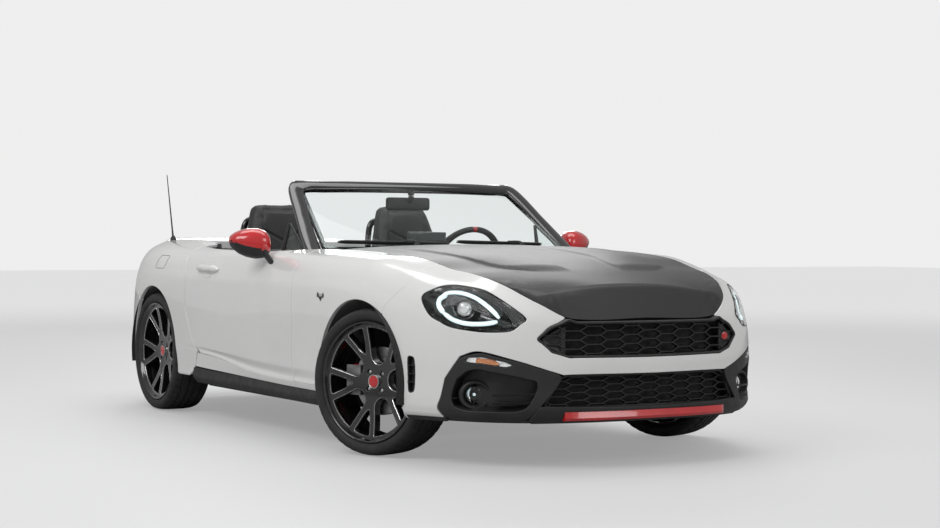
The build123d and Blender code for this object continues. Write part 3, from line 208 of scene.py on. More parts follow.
def piece(name, verts, faces, mat, body="body_shell", normals=None, sharp=35):
    """One shown object from points and faces, riding on a body. mat is one name, or a list of names with
    faces given as a list of lists."""
    mats = [mat] if isinstance(mat, str) else list(mat)
    groups = [faces] if isinstance(mat, str) else list(faces)
    mesh = mesh_of(name, verts, [f for g in groups for f in g])
    mesh.polygons.foreach_set("material_index", [i for i, g in enumerate(groups) for _ in g])
    for one in mats:
        mesh.materials.append(MAT[one])
    mesh.shade_smooth()
    if normals is not None:
        mesh.normals_split_custom_set_from_vertices([tuple(map(float, v)) for v in normals])
    elif sharp is not None:
        mesh.set_sharp_from_angle(angle=math.radians(sharp))
    mesh.validate()
    obj = shown(name, mesh)
    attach(obj, body)
    return obj


def unit(a):
    return a / np.maximum(np.linalg.norm(a, axis=-1, keepdims=True), 1e-12)


def ring_faces(rows, n, closed=True, start=0):
    """Quads between rings of n points that follow each other in the point list."""
    out = []
    for r in range(rows - 1):
        a, b = start + r * n, start + (r + 1) * n
        for i in range(n if closed else n - 1):
            j = (i + 1) % n
            out.append((a + i, a + j, b + j, b + i))
    return out


def loft(rings, closed=True, caps=True):
    """Points and faces of a skin over rings of equal length, with flat fans for its two ends."""
    rings = [np.asarray(r, float) for r in rings]
    n = len(rings[0])
    verts = np.concatenate(rings)
    faces = ring_faces(len(rings), n, closed)
    if caps and closed:
        faces.append(tuple(range(n))[::-1])
        faces.append(tuple(range((len(rings) - 1) * n, len(rings) * n)))
    return verts, faces


def join(*parts):
    """Several (points, faces) as one."""
    verts, faces, at = [], [], 0
    for v, f in parts:
        verts.append(np.asarray(v, float).reshape(-1, 3))
        faces += [tuple(i + at for i in one) for one in f]
        at += len(verts[-1])
    return np.concatenate(verts), faces


def flipped(faces):
    return [tuple(reversed(one)) for one in faces]


def on_side(side):
    """A call that leaves a left-side part as it is, or mirrors it to the right for side -1."""
    return lambda part: part if side > 0 else (np.asarray(part[0]) * [1, -1, 1], flipped(part[1]))


def both_sides(rows, body="body_shell"):
    """Left-side parts, as rows of (name, part, material), and their mirrors on the right. {} in the body's
    name becomes left or right."""
    return [piece(f"{name}_{word}", *on_side(side)(part), mat, body.format(word))
        for side, word in SIDES for name, part, mat in rows]


def looking(part, way, face=0):
    """The same faces, all turned over if the given one doesn't look along way."""
    v, f = part
    a, b, c = (v[i] for i in f[face][:3])
    return part if np.cross(b - a, c - a) @ way > 0 else (v, flipped(f))


def perimeter(loop):
    return np.linalg.norm(np.diff(np.r_[loop, loop[:1]], axis=0), axis=1).sum()


def angles(n):
    return np.arange(n) * 2 * np.pi / n


def ease(t):
    return t * t * (3 - 2 * t)


def spline(points, n, closed=False):
    """n points on a smooth Catmull-Rom line through the given ones, evenly spread."""
    p = np.asarray(points, float)
    if closed:
        p = np.concatenate([p[-1:], p, p[:2]])
    else:
        p = np.concatenate([2 * p[:1] - p[1:2], p, 2 * p[-1:] - p[-2:-1]])
    t = np.linspace(0, 1, 24, endpoint=False)[:, None]
    out = []
    for i in range(1, len(p) - 2):
        a, b, c, d = p[i - 1], p[i], p[i + 1], p[i + 2]
        out.append(0.5 * (2 * b + (c - a) * t + (2 * a - 5 * b + 4 * c - d) * t * t
            + (3 * b - a - 3 * c + d) * t ** 3))
    line = np.concatenate(out + [p[-2:-1]])
    return resample(line, n, closed)


def resample(line, n, closed=False):
    line = np.asarray(line, float)
    if closed and np.linalg.norm(line[0] - line[-1]) > 1e-9:
        line = np.concatenate([line, line[:1]])
    step = np.r_[0, np.cumsum(np.linalg.norm(np.diff(line, axis=0), axis=1))]
    at = np.linspace(0, step[-1], n + 1)[:-1] if closed else np.linspace(0, step[-1], n)
    return np.stack([np.interp(at, step, line[:, k]) for k in range(line.shape[1])], 1)


def tube(path, radius, sides=10, up=(0, 0, 1), flat=1.0, closed=False, caps=True, square=1.0):
    """A round or oval bar along a path. radius is one number or one for each point; flat scales it along
    up, and square below 1 fills its corners out."""
    path = np.asarray(path, float)
    n = len(path)
    if closed:
        tan = unit(np.roll(path, -1, 0) - np.roll(path, 1, 0))
    else:
        tan = unit(np.gradient(path, axis=0))
    side = unit(np.cross(tan, np.broadcast_to(up, tan.shape)))
    top = np.cross(side, tan)
    r = np.broadcast_to(np.asarray(radius, float), (n,))
    ang = angles(sides)
    cs, sn = [np.sign(w(ang)) * np.abs(w(ang)) ** square for w in (np.cos, np.sin)]
    rings = [path[i] + r[i] * (cs[:, None] * side[i] + flat * sn[:, None] * top[i]) for i in range(n)]
    if closed:
        rings.append(rings[0])
        return loft(rings, True, False)
    return loft(rings, True, caps)


def block(lo, hi, soft=0.004, steps=3, taper=None):
    """A box with rounded edges. taper(points) may reshape it."""
    lo, hi = np.asarray(lo, float), np.asarray(hi, float)
    mid, half = (lo + hi) / 2, (hi - lo) / 2
    soft = min(soft, half.min() * 0.95)
    ticks = []
    for h in half:
        edge = -h + soft - soft * np.cos(np.linspace(0, np.pi / 2, steps + 1))
        ticks.append(np.r_[edge, -edge[::-1]])
    verts, faces, index = [], [], {}

    def vert(p):
        key = tuple(np.round(p, 7))
        if key not in index:
            core = np.clip(p, -(half - soft), half - soft)
            off = p - core
            length = np.linalg.norm(off)
            index[key] = len(verts)
            verts.append(mid + core + (off / length * soft if length > 1e-9 else 0))
        return index[key]
    for axis in range(3):
        a, b = [k for k in range(3) if k != axis]
        for sign in (-1, 1):
            for i in range(len(ticks[a]) - 1):
                for j in range(len(ticks[b]) - 1):
                    quad = []
                    for u, v in ((i, j), (i + 1, j), (i + 1, j + 1), (i, j + 1)):
                        p = np.zeros(3)
                        p[axis], p[a], p[b] = sign * half[axis], ticks[a][u], ticks[b][v]
                        quad.append(vert(p))
                    if len(set(quad)) < 3:
                        continue
                    if (sign > 0) != (axis != 1):
                        quad.reverse()
                    faces.append(tuple(dict.fromkeys(quad)))
    verts = np.array(verts)
    if taper is not None:
        verts = taper(verts)
    return verts, faces


def revolve(profile, n=64, axis="y", centre=(0, 0, 0), closed=False):
    """A profile of (along, radius) points turned about an axis."""
    p = np.asarray(profile, float)
    along, r = p.T
    rings = []
    for a in angles(n):
        c, s = np.cos(a), np.sin(a)
        if axis == "y":
            rings.append(np.stack([r * s, along, r * c], 1))
        elif axis == "x":
            rings.append(np.stack([along, r * c, r * s], 1))
        else:
            rings.append(np.stack([r * c, r * s, along], 1))
    verts = np.concatenate(rings) + np.asarray(centre, float)
    m = len(p)
    faces = []
    for k in range(n):
        a, b = k * m, ((k + 1) % n) * m
        for i in range(m if closed else m - 1):
            j = (i + 1) % m
            faces.append((a + i, a + j, b + j, b + i))
    return verts, faces


def outward(part, centre=None):
    """The same faces, turned so that they look away from the middle."""
    v, f = np.asarray(part[0], float), part[1]
    mid = v.mean(0) if centre is None else np.asarray(centre, float)
    total = 0.0
    for one in f:
        a, b, c = v[one[0]], v[one[1]], v[one[2]]
        n = np.cross(b - a, c - a)
        total += n @ ((a + b + c) / 3 - mid)
    return (v, f) if total > 0 else (v, flipped(f))


def solid(rings, closed=True, caps=True):
    """A loft whose faces look outwards."""
    return outward(loft(rings, closed, caps))

# ------------------------------------------------------------ the body's outer surface

LONG, HALF, STRAIGHT = 2.027, 0.870, 0.9
POWER = {1: 2.9, -1: 3.2}


def plan_line(power, n=1200):
    t = np.linspace(0, np.pi / 2, n)
    x = STRAIGHT + (LONG - STRAIGHT) * np.sin(t) ** (2 / power)
    y = HALF * np.cos(t) ** (2 / power)
    return np.c_[x, y, STRAIGHT + np.r_[0, np.cumsum(np.hypot(np.diff(x), np.diff(y)))]]


PLAN = {k: plan_line(p) for k, p in POWER.items()}
NOSE, TAIL = PLAN[1][-1, 2], -PLAN[-1][-1, 2]


def plan(s):
    """The point and outward normal at distance s along the plan outline, from mid-length, on the left
    side."""
    s = np.asarray(s, float)
    x, y, nx, ny = s.copy(), np.full_like(s, HALF), np.zeros_like(s), np.ones_like(s)
    for k in (1, -1):
        m = s * k > STRAIGHT
        line, p = PLAN[k], POWER[k]
        d = np.minimum(s[m] * k, line[-1, 2])
        px, py = np.interp(d, line[:, 2], line[:, 0]), np.interp(d, line[:, 2], line[:, 1])
        a = ((px - STRAIGHT) / (LONG - STRAIGHT)) ** (p - 1) / (LONG - STRAIGHT)
        b = (py / HALF) ** (p - 1) / HALF
        h = np.hypot(a, b)
        x[m], y[m], nx[m], ny[m] = k * px, py, k * a / h, b / h
    m = np.abs(s) <= STRAIGHT
    y[m] -= 0.007 * np.cos(x[m] / STRAIGHT * np.pi / 2) ** 2
    return x, y, nx, ny


# Twelve levels from the body's bottom edge to its top edge, as (distance in from the plan outline, height),
# at each station.
LEVELS = 12
TOP = LEVELS - 1
LEVEL_ROUND = np.array([.3, .3, .3, .25, .35, .25, .5, .5, .35, .5, .5, .5])
STATIONS = {
    -2.604: [(.03, .20), (.02, .25), (.01, .30), (.0, .36), (.0, .40), (.0, .46), (.01, .56), (.035, .66),
        (.045, .69), (.07, .77), (.10, .84), (.13, .875)],
    -1.837: [(.05, .20), (.02, .24), (.01, .28), (.0, .33), (.0, .36), (.0, .40), (.005, .53), (.02, .66),
        (.03, .70), (.05, .77), (.09, .835), (.16, .872)],
    -1.156: [(.05, .18), (.02, .21), (.01, .25), (.0, .31), (.0, .34), (.0, .37), (-.002, .52), (.0, .66),
        (.008, .71), (.035, .785), (.10, .845), (.23, .883)],
    -.72: [(.05, .178), (.018, .21), (.016, .25), (.003, .34), (.002, .352), (.0, .37), (-.002, .52),
        (.004, .675), (.010, .705), (.04, .785), (.08, .83), (.13, .845)],
    -.405: [(.055, .176), (.018, .205), (.022, .242), (.005, .331), (.010, .342), (.0, .358), (.004, .51),
        (.010, .675), (.014, .70), (.04, .775), (.062, .82), (.088, .835)],
    .09: [(.055, .175), (.018, .205), (.022, .240), (.006, .277), (.018, .298), (.0, .338), (.006, .50),
        (.012, .675), (.016, .70), (.040, .77), (.062, .815), (.085, .832)],
    .522: [(.055, .172), (.018, .20), (.022, .235), (.006, .264), (.016, .287), (.0, .328), (.004, .50),
        (.010, .67), (.014, .695), (.035, .765), (.070, .82), (.165, .845)],
    1.148: [(.05, .17), (.018, .20), (.01, .235), (.002, .262), (.002, .285), (.0, .33), (-.002, .50),
        (.004, .62), (.010, .680), (.055, .780), (.125, .822), (.215, .826)],
    1.371: [(.045, .172), (.015, .20), (.005, .235), (.0, .265), (.0, .29), (.0, .34), (.0, .46),
        (.008, .57), (.018, .630), (.050, .715), (.105, .780), (.222, .806)],
    1.567: [(.04, .178), (.012, .205), (.003, .235), (.0, .27), (.0, .30), (.0, .35), (.003, .44),
        (.010, .53), (.020, .590), (.040, .660), (.085, .735), (.203, .772)],
    1.74: [(.035, .180), (.01, .205), (0, .235), (0, .27), (0, .30), (0, .35), (.002, .42), (.008, .49),
        (.014, .545), (.03, .62), (.062, .70), (.18, .752)],
    1.94: [(.03, .182), (.01, .205), (0, .235), (0, .27), (0, .30), (0, .35), (.002, .41), (.006, .465),
        (.010, .51), (.02, .565), (.045, .635), (.12, .707)],
    2.09: [(.03, .184), (.01, .208), (0, .235), (0, .27), (0, .30), (0, .35), (.001, .41), (.004, .455),
        (.008, .49), (.014, .53), (.025, .585), (.06, .643)],
    2.234: [(.03, .185), (.01, .21), (0, .235), (0, .27), (0, .30), (0, .36), (0, .41), (.004, .455),
        (.008, .485), (.015, .52), (.024, .555), (.036, .583)],
    2.579: [(.03, .185), (.01, .21), (0, .235), (0, .27), (0, .30), (0, .36), (0, .41), (.005, .45),
        (.01, .48), (.018, .52), (.026, .555), (.036, .583)],
}
AT = np.array(sorted(STATIONS))
TABLE = np.array([STATIONS[k] for k in AT]).reshape(len(AT), -1)


def soft_slopes(x, y):
    h = np.diff(x)[:, None]
    d = np.diff(y, axis=0) / h
    m = np.zeros_like(y)
    mid = (d[:-1] * h[1:] + d[1:] * h[:-1]) / (h[:-1] + h[1:])
    limit = 3 * np.minimum(np.abs(d[:-1]), np.abs(d[1:]))
    m[1:-1] = np.where(d[:-1] * d[1:] > 0, np.clip(mid, -limit, limit), mid * .35)
    return m


SLOPE = soft_slopes(AT, TABLE)


def section(s, v):
    """(distance in, height) at station s and level v."""
    s = np.clip(s, AT[0], AT[-1])
    i = np.clip(np.searchsorted(AT, s) - 1, 0, len(AT) - 2)
    h = (AT[i + 1] - AT[i])[:, None]
    t = (s - AT[i])[:, None] / h
    r = ((2 * t ** 3 - 3 * t ** 2 + 1) * TABLE[i] + (t ** 3 - 2 * t ** 2 + t) * h * SLOPE[i]
         + (-2 * t ** 3 + 3 * t ** 2) * TABLE[i + 1] + (t ** 3 - t ** 2) * h * SLOPE[i + 1]).reshape(len(s),
             LEVELS, 2)
    j = np.clip(np.round(v).astype(int), 0, TOP)
    t, k, at = v - j, LEVEL_ROUND[j], np.arange(len(j))
    p, a, b = r[at, j], r[at, np.maximum(j - 1, 0)], r[at, np.minimum(j + 1, TOP)]
    low, high = p + (a - p) * -t[:, None], p + (b - p) * t[:, None]
    u, k2 = np.clip((t + k) / (2 * k), 0, 1)[:, None], k[:, None]
    arc = (1 - u) ** 2 * (p + (a - p) * k2) + 2 * u * (1 - u) * p + u ** 2 * (p + (b - p) * k2)
    out = np.where((t < -k)[:, None], low, np.where((t > k)[:, None], high, arc))
    end = ((j == 0) | (j == TOP))[:, None]
    return np.where(end, np.where((t < 0)[:, None], low, high), out)


def skin(s, v):
    s, v = np.atleast_1d(np.asarray(s, float)), np.atleast_1d(np.asarray(v, float))
    x, y, nx, ny = plan(s)
    q = section(s, v)
    return np.c_[x - q[:, 0] * nx, y - q[:, 0] * ny, q[:, 1]]


def skin_normal(s, v):
    e = 2e-3
    ds = skin(np.minimum(s + e, NOSE), v) - skin(np.maximum(s - e, TAIL), v)
    dv = skin(s, np.minimum(v + e * 4, TOP)) - skin(s, np.maximum(v - e * 4, 0))
    return unit(np.cross(dv, ds))


HEIGHT_OF = np.array([0, .035, .07, .105, .13, .165, .315, .45, .49, .57, .63, .70])


def to_w(v):
    return np.interp(v, np.arange(LEVELS), HEIGHT_OF)


def to_v(w):
    return np.interp(w, HEIGHT_OF, np.arange(LEVELS))


GRID_S, GRID_V = [g.ravel() for g in np.meshgrid(np.linspace(TAIL, NOSE, 420), np.linspace(0, TOP, 111))]
GRID_P = skin(GRID_S, GRID_V)


def locate(points, axis=0, end=1):
    """(s, v) of points given by x and height, or by y and height at one end of the car with axis 1."""
    points = np.atleast_2d(np.asarray(points, float))
    out = []
    for p in points:
        far = (GRID_P[:, axis] - p[0]) ** 2 + (GRID_P[:, 2] - p[1]) ** 2
        if axis == 1:
            far = far + np.where(GRID_S * end > 1.5, 0, 9)
        i = int(np.argmin(far))
        out.append((GRID_S[i], GRID_V[i]))
    s, v = np.array(out).T
    for _ in range(12):
        p0 = skin(s, v)[:, [axis, 2]]
        e = 1e-4
        a = (skin(s + e, v)[:, [axis, 2]] - p0) / e
        b = (skin(s, v + e)[:, [axis, 2]] - p0) / e
        det = a[:, 0] * b[:, 1] - a[:, 1] * b[:, 0]
        det = np.where(np.abs(det) < 1e-9, 1e-9, det)
        r = points - p0
        s = np.clip(s + np.clip((r[:, 0] * b[:, 1] - r[:, 1] * b[:, 0]) / det, -.03, .03), TAIL, NOSE)
        v = np.clip(v + np.clip((a[:, 0] * r[:, 1] - a[:, 1] * r[:, 0]) / det, -.4, .4), 0, TOP)
    return np.c_[s, v]


def run(*points, n=40):
    """Points spread along straight steps in (s, v)."""
    p = np.asarray(points, float)
    q = np.c_[p[:, 0], to_w(p[:, 1])]
    line = resample(q, n)
    return np.c_[line[:, 0], to_v(line[:, 1])]


def inside(points, loop):
    x, y = points[:, 0], points[:, 1]
    out = np.zeros(len(points), bool)
    a, b = loop, np.roll(loop, -1, 0)
    for (x0, y0), (x1, y1) in zip(a, b):
        if y0 == y1:
            continue
        hit = ((y0 > y) != (y1 > y)) & (x < (x1 - x0) * (y - y0) / (y1 - y0) + x0)
        out ^= hit
    return out


def loop_area(q):
    a, b = q, np.roll(q, -1, 0)
    return 0.5 * np.sum(a[:, 0] * b[:, 1] - a[:, 1] * b[:, 0])


def loop_distance(points, loop):
    a, b = loop, np.roll(loop, -1, 0)
    d = b - a
    best = np.full(len(points), 9e9)
    for (p, q) in zip(a, d):
        t = np.clip(((points - p) @ q) / max(q @ q, 1e-12), 0, 1)
        best = np.minimum(best, np.hypot(*(points - p - t[:, None] * q).T))
    return best


def shell(loops, lift, grid, depth=0.014, roll=0.002, spacing=0.011, back=True):
    """A panel with a rolled edge and a thickness. loops are outlines in the surface's own plane, the outer
    one first; lift(q) gives points and outward normals for plane points; grid is the inner points."""
    loops = [resample(q, max(12, int(perimeter(q) / spacing)), True) for q in loops]
    loops = [q if (loop_area(q) > 0) == (i == 0) else q[::-1] for i, q in enumerate(loops)]
    keep = inside(grid, loops[0])
    for q in loops[1:]:
        keep &= ~inside(grid, q)
    grid = grid[keep]
    for q in loops:
        grid = grid[loop_distance(grid, q) > spacing * 0.55]
    points = np.concatenate(loops + [grid])
    edges, at = [], 0
    for q in loops:
        edges += [(at + i, at + (i + 1) % len(q)) for i in range(len(q))]
        at += len(q)
    out = delaunay_2d_cdt([Vector(map(float, p)) for p in points], edges, [], 1, 1e-7)
    flat = np.array([tuple(v) for v in out[0]])
    tri = np.array([f for f in out[2] if len(f) == 3])
    mid = flat[tri].mean(1)
    keep = inside(mid, loops[0])
    for q in loops[1:]:
        keep &= ~inside(mid, q)
    tri = tri[keep]
    new = {}
    for i, orig in enumerate(out[3]):
        for o in orig:
            new.setdefault(o, i)
    p, nrm = lift(flat)
    face = np.cross(p[tri[:, 1]] - p[tri[:, 0]], p[tri[:, 2]] - p[tri[:, 0]])
    flip = (face * nrm[tri[:, 0]]).sum() < 0
    if flip:
        tri = tri[:, ::-1]
    verts, norms, faces = [p], [nrm], [tuple(t) for t in tri]
    count, at, inner = len(p), 0, {}
    for q in loops:
        ring = np.array([new[at + i] for i in range(len(q))])
        at += len(q)
        a, n = p[ring], nrm[ring]
        d = unit(np.roll(a, -1, 0) - np.roll(a, 1, 0))
        out_dir = unit(np.cross(d, n))
        step = np.roll(q, -1, 0) - np.roll(q, 1, 0)
        probe = lift(q + 1e-3 * unit(np.c_[step[:, 1], -step[:, 0]]))[0] - lift(q)[0]
        if (probe * out_dir).sum() < 0:
            out_dir = -out_dir
        last = ring
        for ang in (30, 60, 90, None):
            if ang is None:
                pos, nn = a + roll * out_dir - depth * n, out_dir
            else:
                c, sn = math.cos(math.radians(ang)), math.sin(math.radians(ang))
                pos, nn = a + roll * sn * out_dir - roll * (1 - c) * n, c * n + sn * out_dir
            verts.append(pos)
            norms.append(nn)
            idx = np.arange(count, count + len(pos))
            count += len(pos)
            for i in range(len(idx)):
                j = (i + 1) % len(idx)
                quad = (last[i], last[j], idx[j], idx[i])
                faces.append(quad if flip else quad[::-1])
            last = idx
        for i, o in enumerate(ring):
            inner[int(o)] = int(last[i])
    if back:
        verts.append(p - depth * nrm)
        norms.append(-nrm)
        base = count
        for t in tri:
            faces.append(tuple(inner.get(int(i), base + int(i)) for i in t[::-1]))
    v, n = np.concatenate(verts), np.concatenate(norms)
    used = np.unique(np.array([i for f in faces for i in f]))
    place = -np.ones(len(v), int)
    place[used] = np.arange(len(used))
    return v[used], [tuple(int(place[i]) for i in f) for f in faces], n[used]


def sheet(name, loops, lift, grid, mat, body="body_shell", **more):
    """A panel of shell(), shown."""
    v, f, n = shell(loops, lift, grid, **more)
    return piece(name, v, f, mat, body, normals=n)


def side_lift(offset=0.0):
    def lift(q):
        v = to_v(q[:, 1])
        n = skin_normal(q[:, 0], v)
        return skin(q[:, 0], v) + offset * n, n
    return lift


def end_lift(end, offset=0.0):
    """For panels that go round the nose (end 1) or the tail (end -1): u is the distance from the middle,
    positive on the left."""
    def lift(q):
        s = NOSE - np.abs(q[:, 0]) if end > 0 else TAIL + np.abs(q[:, 0])
        v = to_v(q[:, 1])
        n = skin_normal(s, v)
        p = skin(s, v) + offset * n
        sign = np.where(q[:, 0] < 0, -1, 1)[:, None] * np.array([[0, 1, 0]]) + [[1, 0, 1]]
        return p * sign, n * sign
    return lift


def level_grid(lo, hi, step=0.024):
    s = np.arange(lo, hi, step)
    v = []
    for j in range(LEVELS):
        k = LEVEL_ROUND[j]
        v += [j - k, j - k / 2, j, j + k / 2, j + k]
    v += [j + .5 for j in range(TOP) if HEIGHT_OF[j + 1] - HEIGHT_OF[j] > .06]
    v += [5.38, 5.62, 6.38, 6.62]
    v = np.unique(np.round([x for x in v if 0 < x < TOP], 3))
    w = to_w(v)
    w = w[np.r_[True, np.diff(w) > 0.003]]
    a, b = np.meshgrid(s, w)
    return np.c_[a.ravel(), b.ravel()]


def flat_loop(sv):
    sv = np.asarray(sv, float)
    return np.c_[sv[:, 0], to_w(sv[:, 1])]


def sv_of(flat):
    return np.c_[flat[:, 0], to_v(flat[:, 1])]


def side_panel(name, outline, mat, bodies=("body_shell", "body_shell"), holes=(), nodes=None, offset=0.0,
    **more):
    """A panel on the left side and its mirror on the right."""
    loops = [flat_loop(outline)] + [flat_loop(h) for h in holes]
    grid = level_grid(loops[0][:, 0].min(), loops[0][:, 0].max())
    v, f, n = shell(loops, side_lift(offset), grid, **more)
    out = []
    for (side, word), body in zip(SIDES, bodies):
        obj = piece(f"{name}_{word}", *on_side(side)((v, f)), mat, body, normals=n * [1, side, 1])
        if nodes:
            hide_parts(*[x.format(word) for x in nodes])
        out.append(obj)
    return out


def end_panel(name, end, half, mat, holes=(), nodes=(), offset=0.0, body="body_shell", **more):
    """A panel round the nose or tail. half is the left half of the outline, in (s, v), from the middle and
    back to it."""
    def to_u(sv):
        sv = np.asarray(sv, float)
        return np.c_[(NOSE - sv[:, 0]) if end > 0 else (sv[:, 0] - TAIL), to_w(sv[:, 1])]
    left = to_u(half)
    right = left[::-1] * [-1, 1]
    loops = [np.concatenate([left, right])]
    for h in holes:
        q = to_u(h)
        loops += [q, q * [-1, 1]]
    grid = level_grid(0.012, left[:, 0].max())
    grid = np.concatenate([grid, grid * [-1, 1], np.c_[np.zeros(30), to_w(np.linspace(.3, 10.7, 30))]])
    obj = sheet(name, loops, end_lift(end, offset), grid, mat, body, **more)
    if nodes:
        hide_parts(*nodes)
    return obj


def arch(xc, a0, a1, radius=0.340, n=60):
    """(s, v) of a wheel arch edge, by angles from straight ahead, in degrees."""
    a = np.radians(np.linspace(a0, a1, n))
    return locate(np.c_[xc + radius * np.cos(a), HUB_Z + radius * np.sin(a)])


# ------------------------------------------------------------ painted side panels

FRONT_AXLE, REAR_AXLE, HUB_Z = 1.147, -1.163, .305
LOW = 3.0                                        # the level of the ridge that the doors end on
DOOR_FRONT = locate([(.542, .275), (.529, .43), (.516, .586), (.505, .70), (.495, .80)])
DOOR_REAR = locate([(-.804, .80), (-.765, .765), (-.726, .738), (-.715, .64), (-.705, .544), (-.655, .46),
    (-.600, .384), (-.560, .352)])


def shut(line, shift):
    return line + [shift, 0]


door = np.concatenate([
    [(.539, LOW)], shut(DOOR_FRONT, -.0045), [(.490, 11)],
    run((.490, 11), (-.806, 11), n=60)[1:-1],
    [(-.806, 11)], shut(DOOR_REAR, .0045), [(-.520, LOW)],
    run((-.520, LOW), (.539, LOW), n=50)[1:-1]])
side_panel("door_skin", door, "body_paint", ("door_left", "door_right"), nodes=["door_{}"], depth=0.012,
    roll=0.0022)

SEAM_TOP = 1.455
seam = locate([(1.425, .708), (1.385, .665), (1.347, .622), (1.337, .600)])
arch_top = math.degrees(math.atan2(.588 - HUB_Z, 1.335 - FRONT_AXLE))
wing = np.concatenate([
    shut(DOOR_FRONT[::-1], .0035), [(.545, LOW + .12)],
    run((.545, LOW + .12), (.806, LOW + .12), n=14)[1:-1],
    arch(FRONT_AXLE, 186.5, arch_top),
    shut(seam[::-1], -.0022), run((SEAM_TOP - .002, 11), (.498, 11), n=50)])
side_panel("front_wing_skin", wing, "body_paint", nodes=["front_wing_{}"], depth=0.016, roll=0.002)

rear_seam = locate([(-1.372, .570), (-1.45, .618), (-1.55, .640), (-1.640, .648)])
rear_top = math.degrees(math.atan2(.576 - HUB_Z, -1.368 - REAR_AXLE))
LID_Y = 0.584
REAR_EDGE = skin(np.linspace(TAIL, -.6, 500), np.full(500, TOP))[::-1]
lid_s = float(np.interp(LID_Y + .004, REAR_EDGE[250:, 1][::-1], np.linspace(-.6, TAIL, 500)[250:][::-1]))
lamp_in = locate([(LID_Y + .004, .84), (LID_Y + .004, .80), (LID_Y + .004, .776)], 1, -1)
lamp_top = locate([(.64, .774), (.70, .7725), (.745, .771)], 1, -1)
quarter = np.concatenate([
    shut(DOOR_REAR[::-1], -.0045)[1:], [(-.812, 11)], run((-.812, 11), (lid_s, 11), n=60)[1:-1],
    [(lid_s, 11)], lamp_in, lamp_top, locate([(-1.652, .770), (-1.644, .755), (-1.640, .70),
        (-1.640, .660)]), rear_seam[::-1],
    arch(REAR_AXLE, rear_top, -14),
    run((-.835, 1.0), (-.690, 1.0), (-.645, 1.65), (-.609, 2.15), (-.563, LOW), (-.560, LOW + .1), n=24)])
side_panel("rear_quarter_skin", quarter, "body_paint", nodes=["rear_quarter_{}"], depth=0.016, roll=0.002)

sill = np.concatenate([
    run((-.602, 2.15), (.812, 2.15), n=50), run((.806, LOW - .1), (-.556, LOW - .1), n=50)])
side_panel("sill_strip", sill, "body_paint", depth=0.02, roll=0.002)
skirt = np.concatenate([
    run((-.660, 0), (.808, 0), n=50), run((.820, 2.0), (-.625, 2.0), n=50)])
skirts = side_panel("side_skirt", skirt, "black_plastic", offset=0.002, depth=0.03, roll=0.003)
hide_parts("sill_covers")

# ------------------------------------------------------------ front bumper

HEADLIGHT = [(1.543, 8.96), (1.593, 9.60), (1.664, 10.06), (1.756, 10.30), (1.851, 10.44), (1.959, 10.25),
    (2.043, 9.84), (2.013, 9.20), (1.966, 8.52), (1.852, 8.09), (1.729, 7.92), (1.670, 8.00), (1.604, 8.17)]
HEADLIGHT = sv_of(spline(flat_loop(HEADLIGHT), 90, True))
GRILLE = [(2.579, 6.5), (2.211, 6.48), (2.125, 7.3), (2.078, 8.41), (2.115, 9.4), (2.168, 10.23), (2.20, 11)]
INSERT_TOP = [(1.698, 0), (1.663, 1.83), (1.688, 3.95), (1.767, 6.35), (1.859, 6.82), (2.014, 6.32),
    (2.17, 5.43), (2.20, 5.26), (2.579, 5.26)]


def smooth_run(points, n):
    return sv_of(spline(flat_loop(points), n))


mouth = np.concatenate([run((2.579, 6.5), (2.235, 6.5), n=30), smooth_run(GRILLE[1:], 40)])
insert_line = np.concatenate([smooth_run(INSERT_TOP[:4], 24)[:-1], smooth_run(INSERT_TOP[3:7], 34)[:-1],
    run((2.185, 5.3), (2.579, 5.26), n=30)])
bumper = np.concatenate([
    mouth, run((2.20, 11), (SEAM_TOP + .002, 11), n=60)[1:], shut(seam, .0022),
    arch(FRONT_AXLE, arch_top, -17, n=50), run((1.466, 0.35), (1.480, 0), n=4),
    run((1.480, 0), (1.690, 0), n=16)[1:-1], insert_line])
vent = locate([(1.504, .425), (1.524, .432), (1.545, .420), (1.553, .36), (1.549, .296), (1.534, .284),
    (1.512, .288), (1.507, .36)])
vent = sv_of(spline(flat_loop(vent), 50, True))
end_panel("front_bumper_skin", 1, bumper, "body_paint", holes=[HEADLIGHT, vent], nodes=["front_bumper"],
    depth=0.016, roll=0.003)

# ------------------------------------------------------------ bonnet

EDGE_TURN = 1.86                                 # |x| from which the body's top edge runs round its end
EDGE_S = np.linspace(.60, NOSE, 500)
EDGE = skin(EDGE_S, np.full(500, TOP))
SPINE_X = np.array([.50, .61, .80, 1.0, 1.2, 1.4, 1.6, 1.75, 1.87, 2.0])
SPINE_Z = np.array([.872, .870, .864, .850, .833, .809, .774, .742, .716, .690])
EDGE_X, EDGE_Y, EDGE_Z = np.r_[EDGE[EDGE[:, 0] < EDGE_TURN], [[2.05, .44, .64]]].T
# Ridges of the two bonnet domes, left side: (x, y) from the cowl to the tip, outer and inner.
RIDGES = ([(.60, .50), (.85, .505), (1.08, .49), (1.47, .43), (1.58, .358), (1.665, .25)],
          [(.60, .21), (.85, .20), (1.06, .185), (1.32, .178), (1.48, .145), (1.665, .122)])


def crease_min(a, b, soft):
    h = np.clip(0.5 + 0.5 * (b - a) / soft, 0, 1)
    return b + (a - b) * h - soft * h * (1 - h)


def curve(points, x):
    p = np.asarray(points, float)
    q = spline(p, 60)
    order = np.argsort(q[:, 0])
    return np.interp(x, q[order, 0], q[order, 1])


def nose_line(a):
    """x where the face below the bonnet's fold meets its bottom edge, at distance a from the middle."""
    return 1.990 - .012 * (a / .3) ** 2 - .02 * (a / .447) ** 7


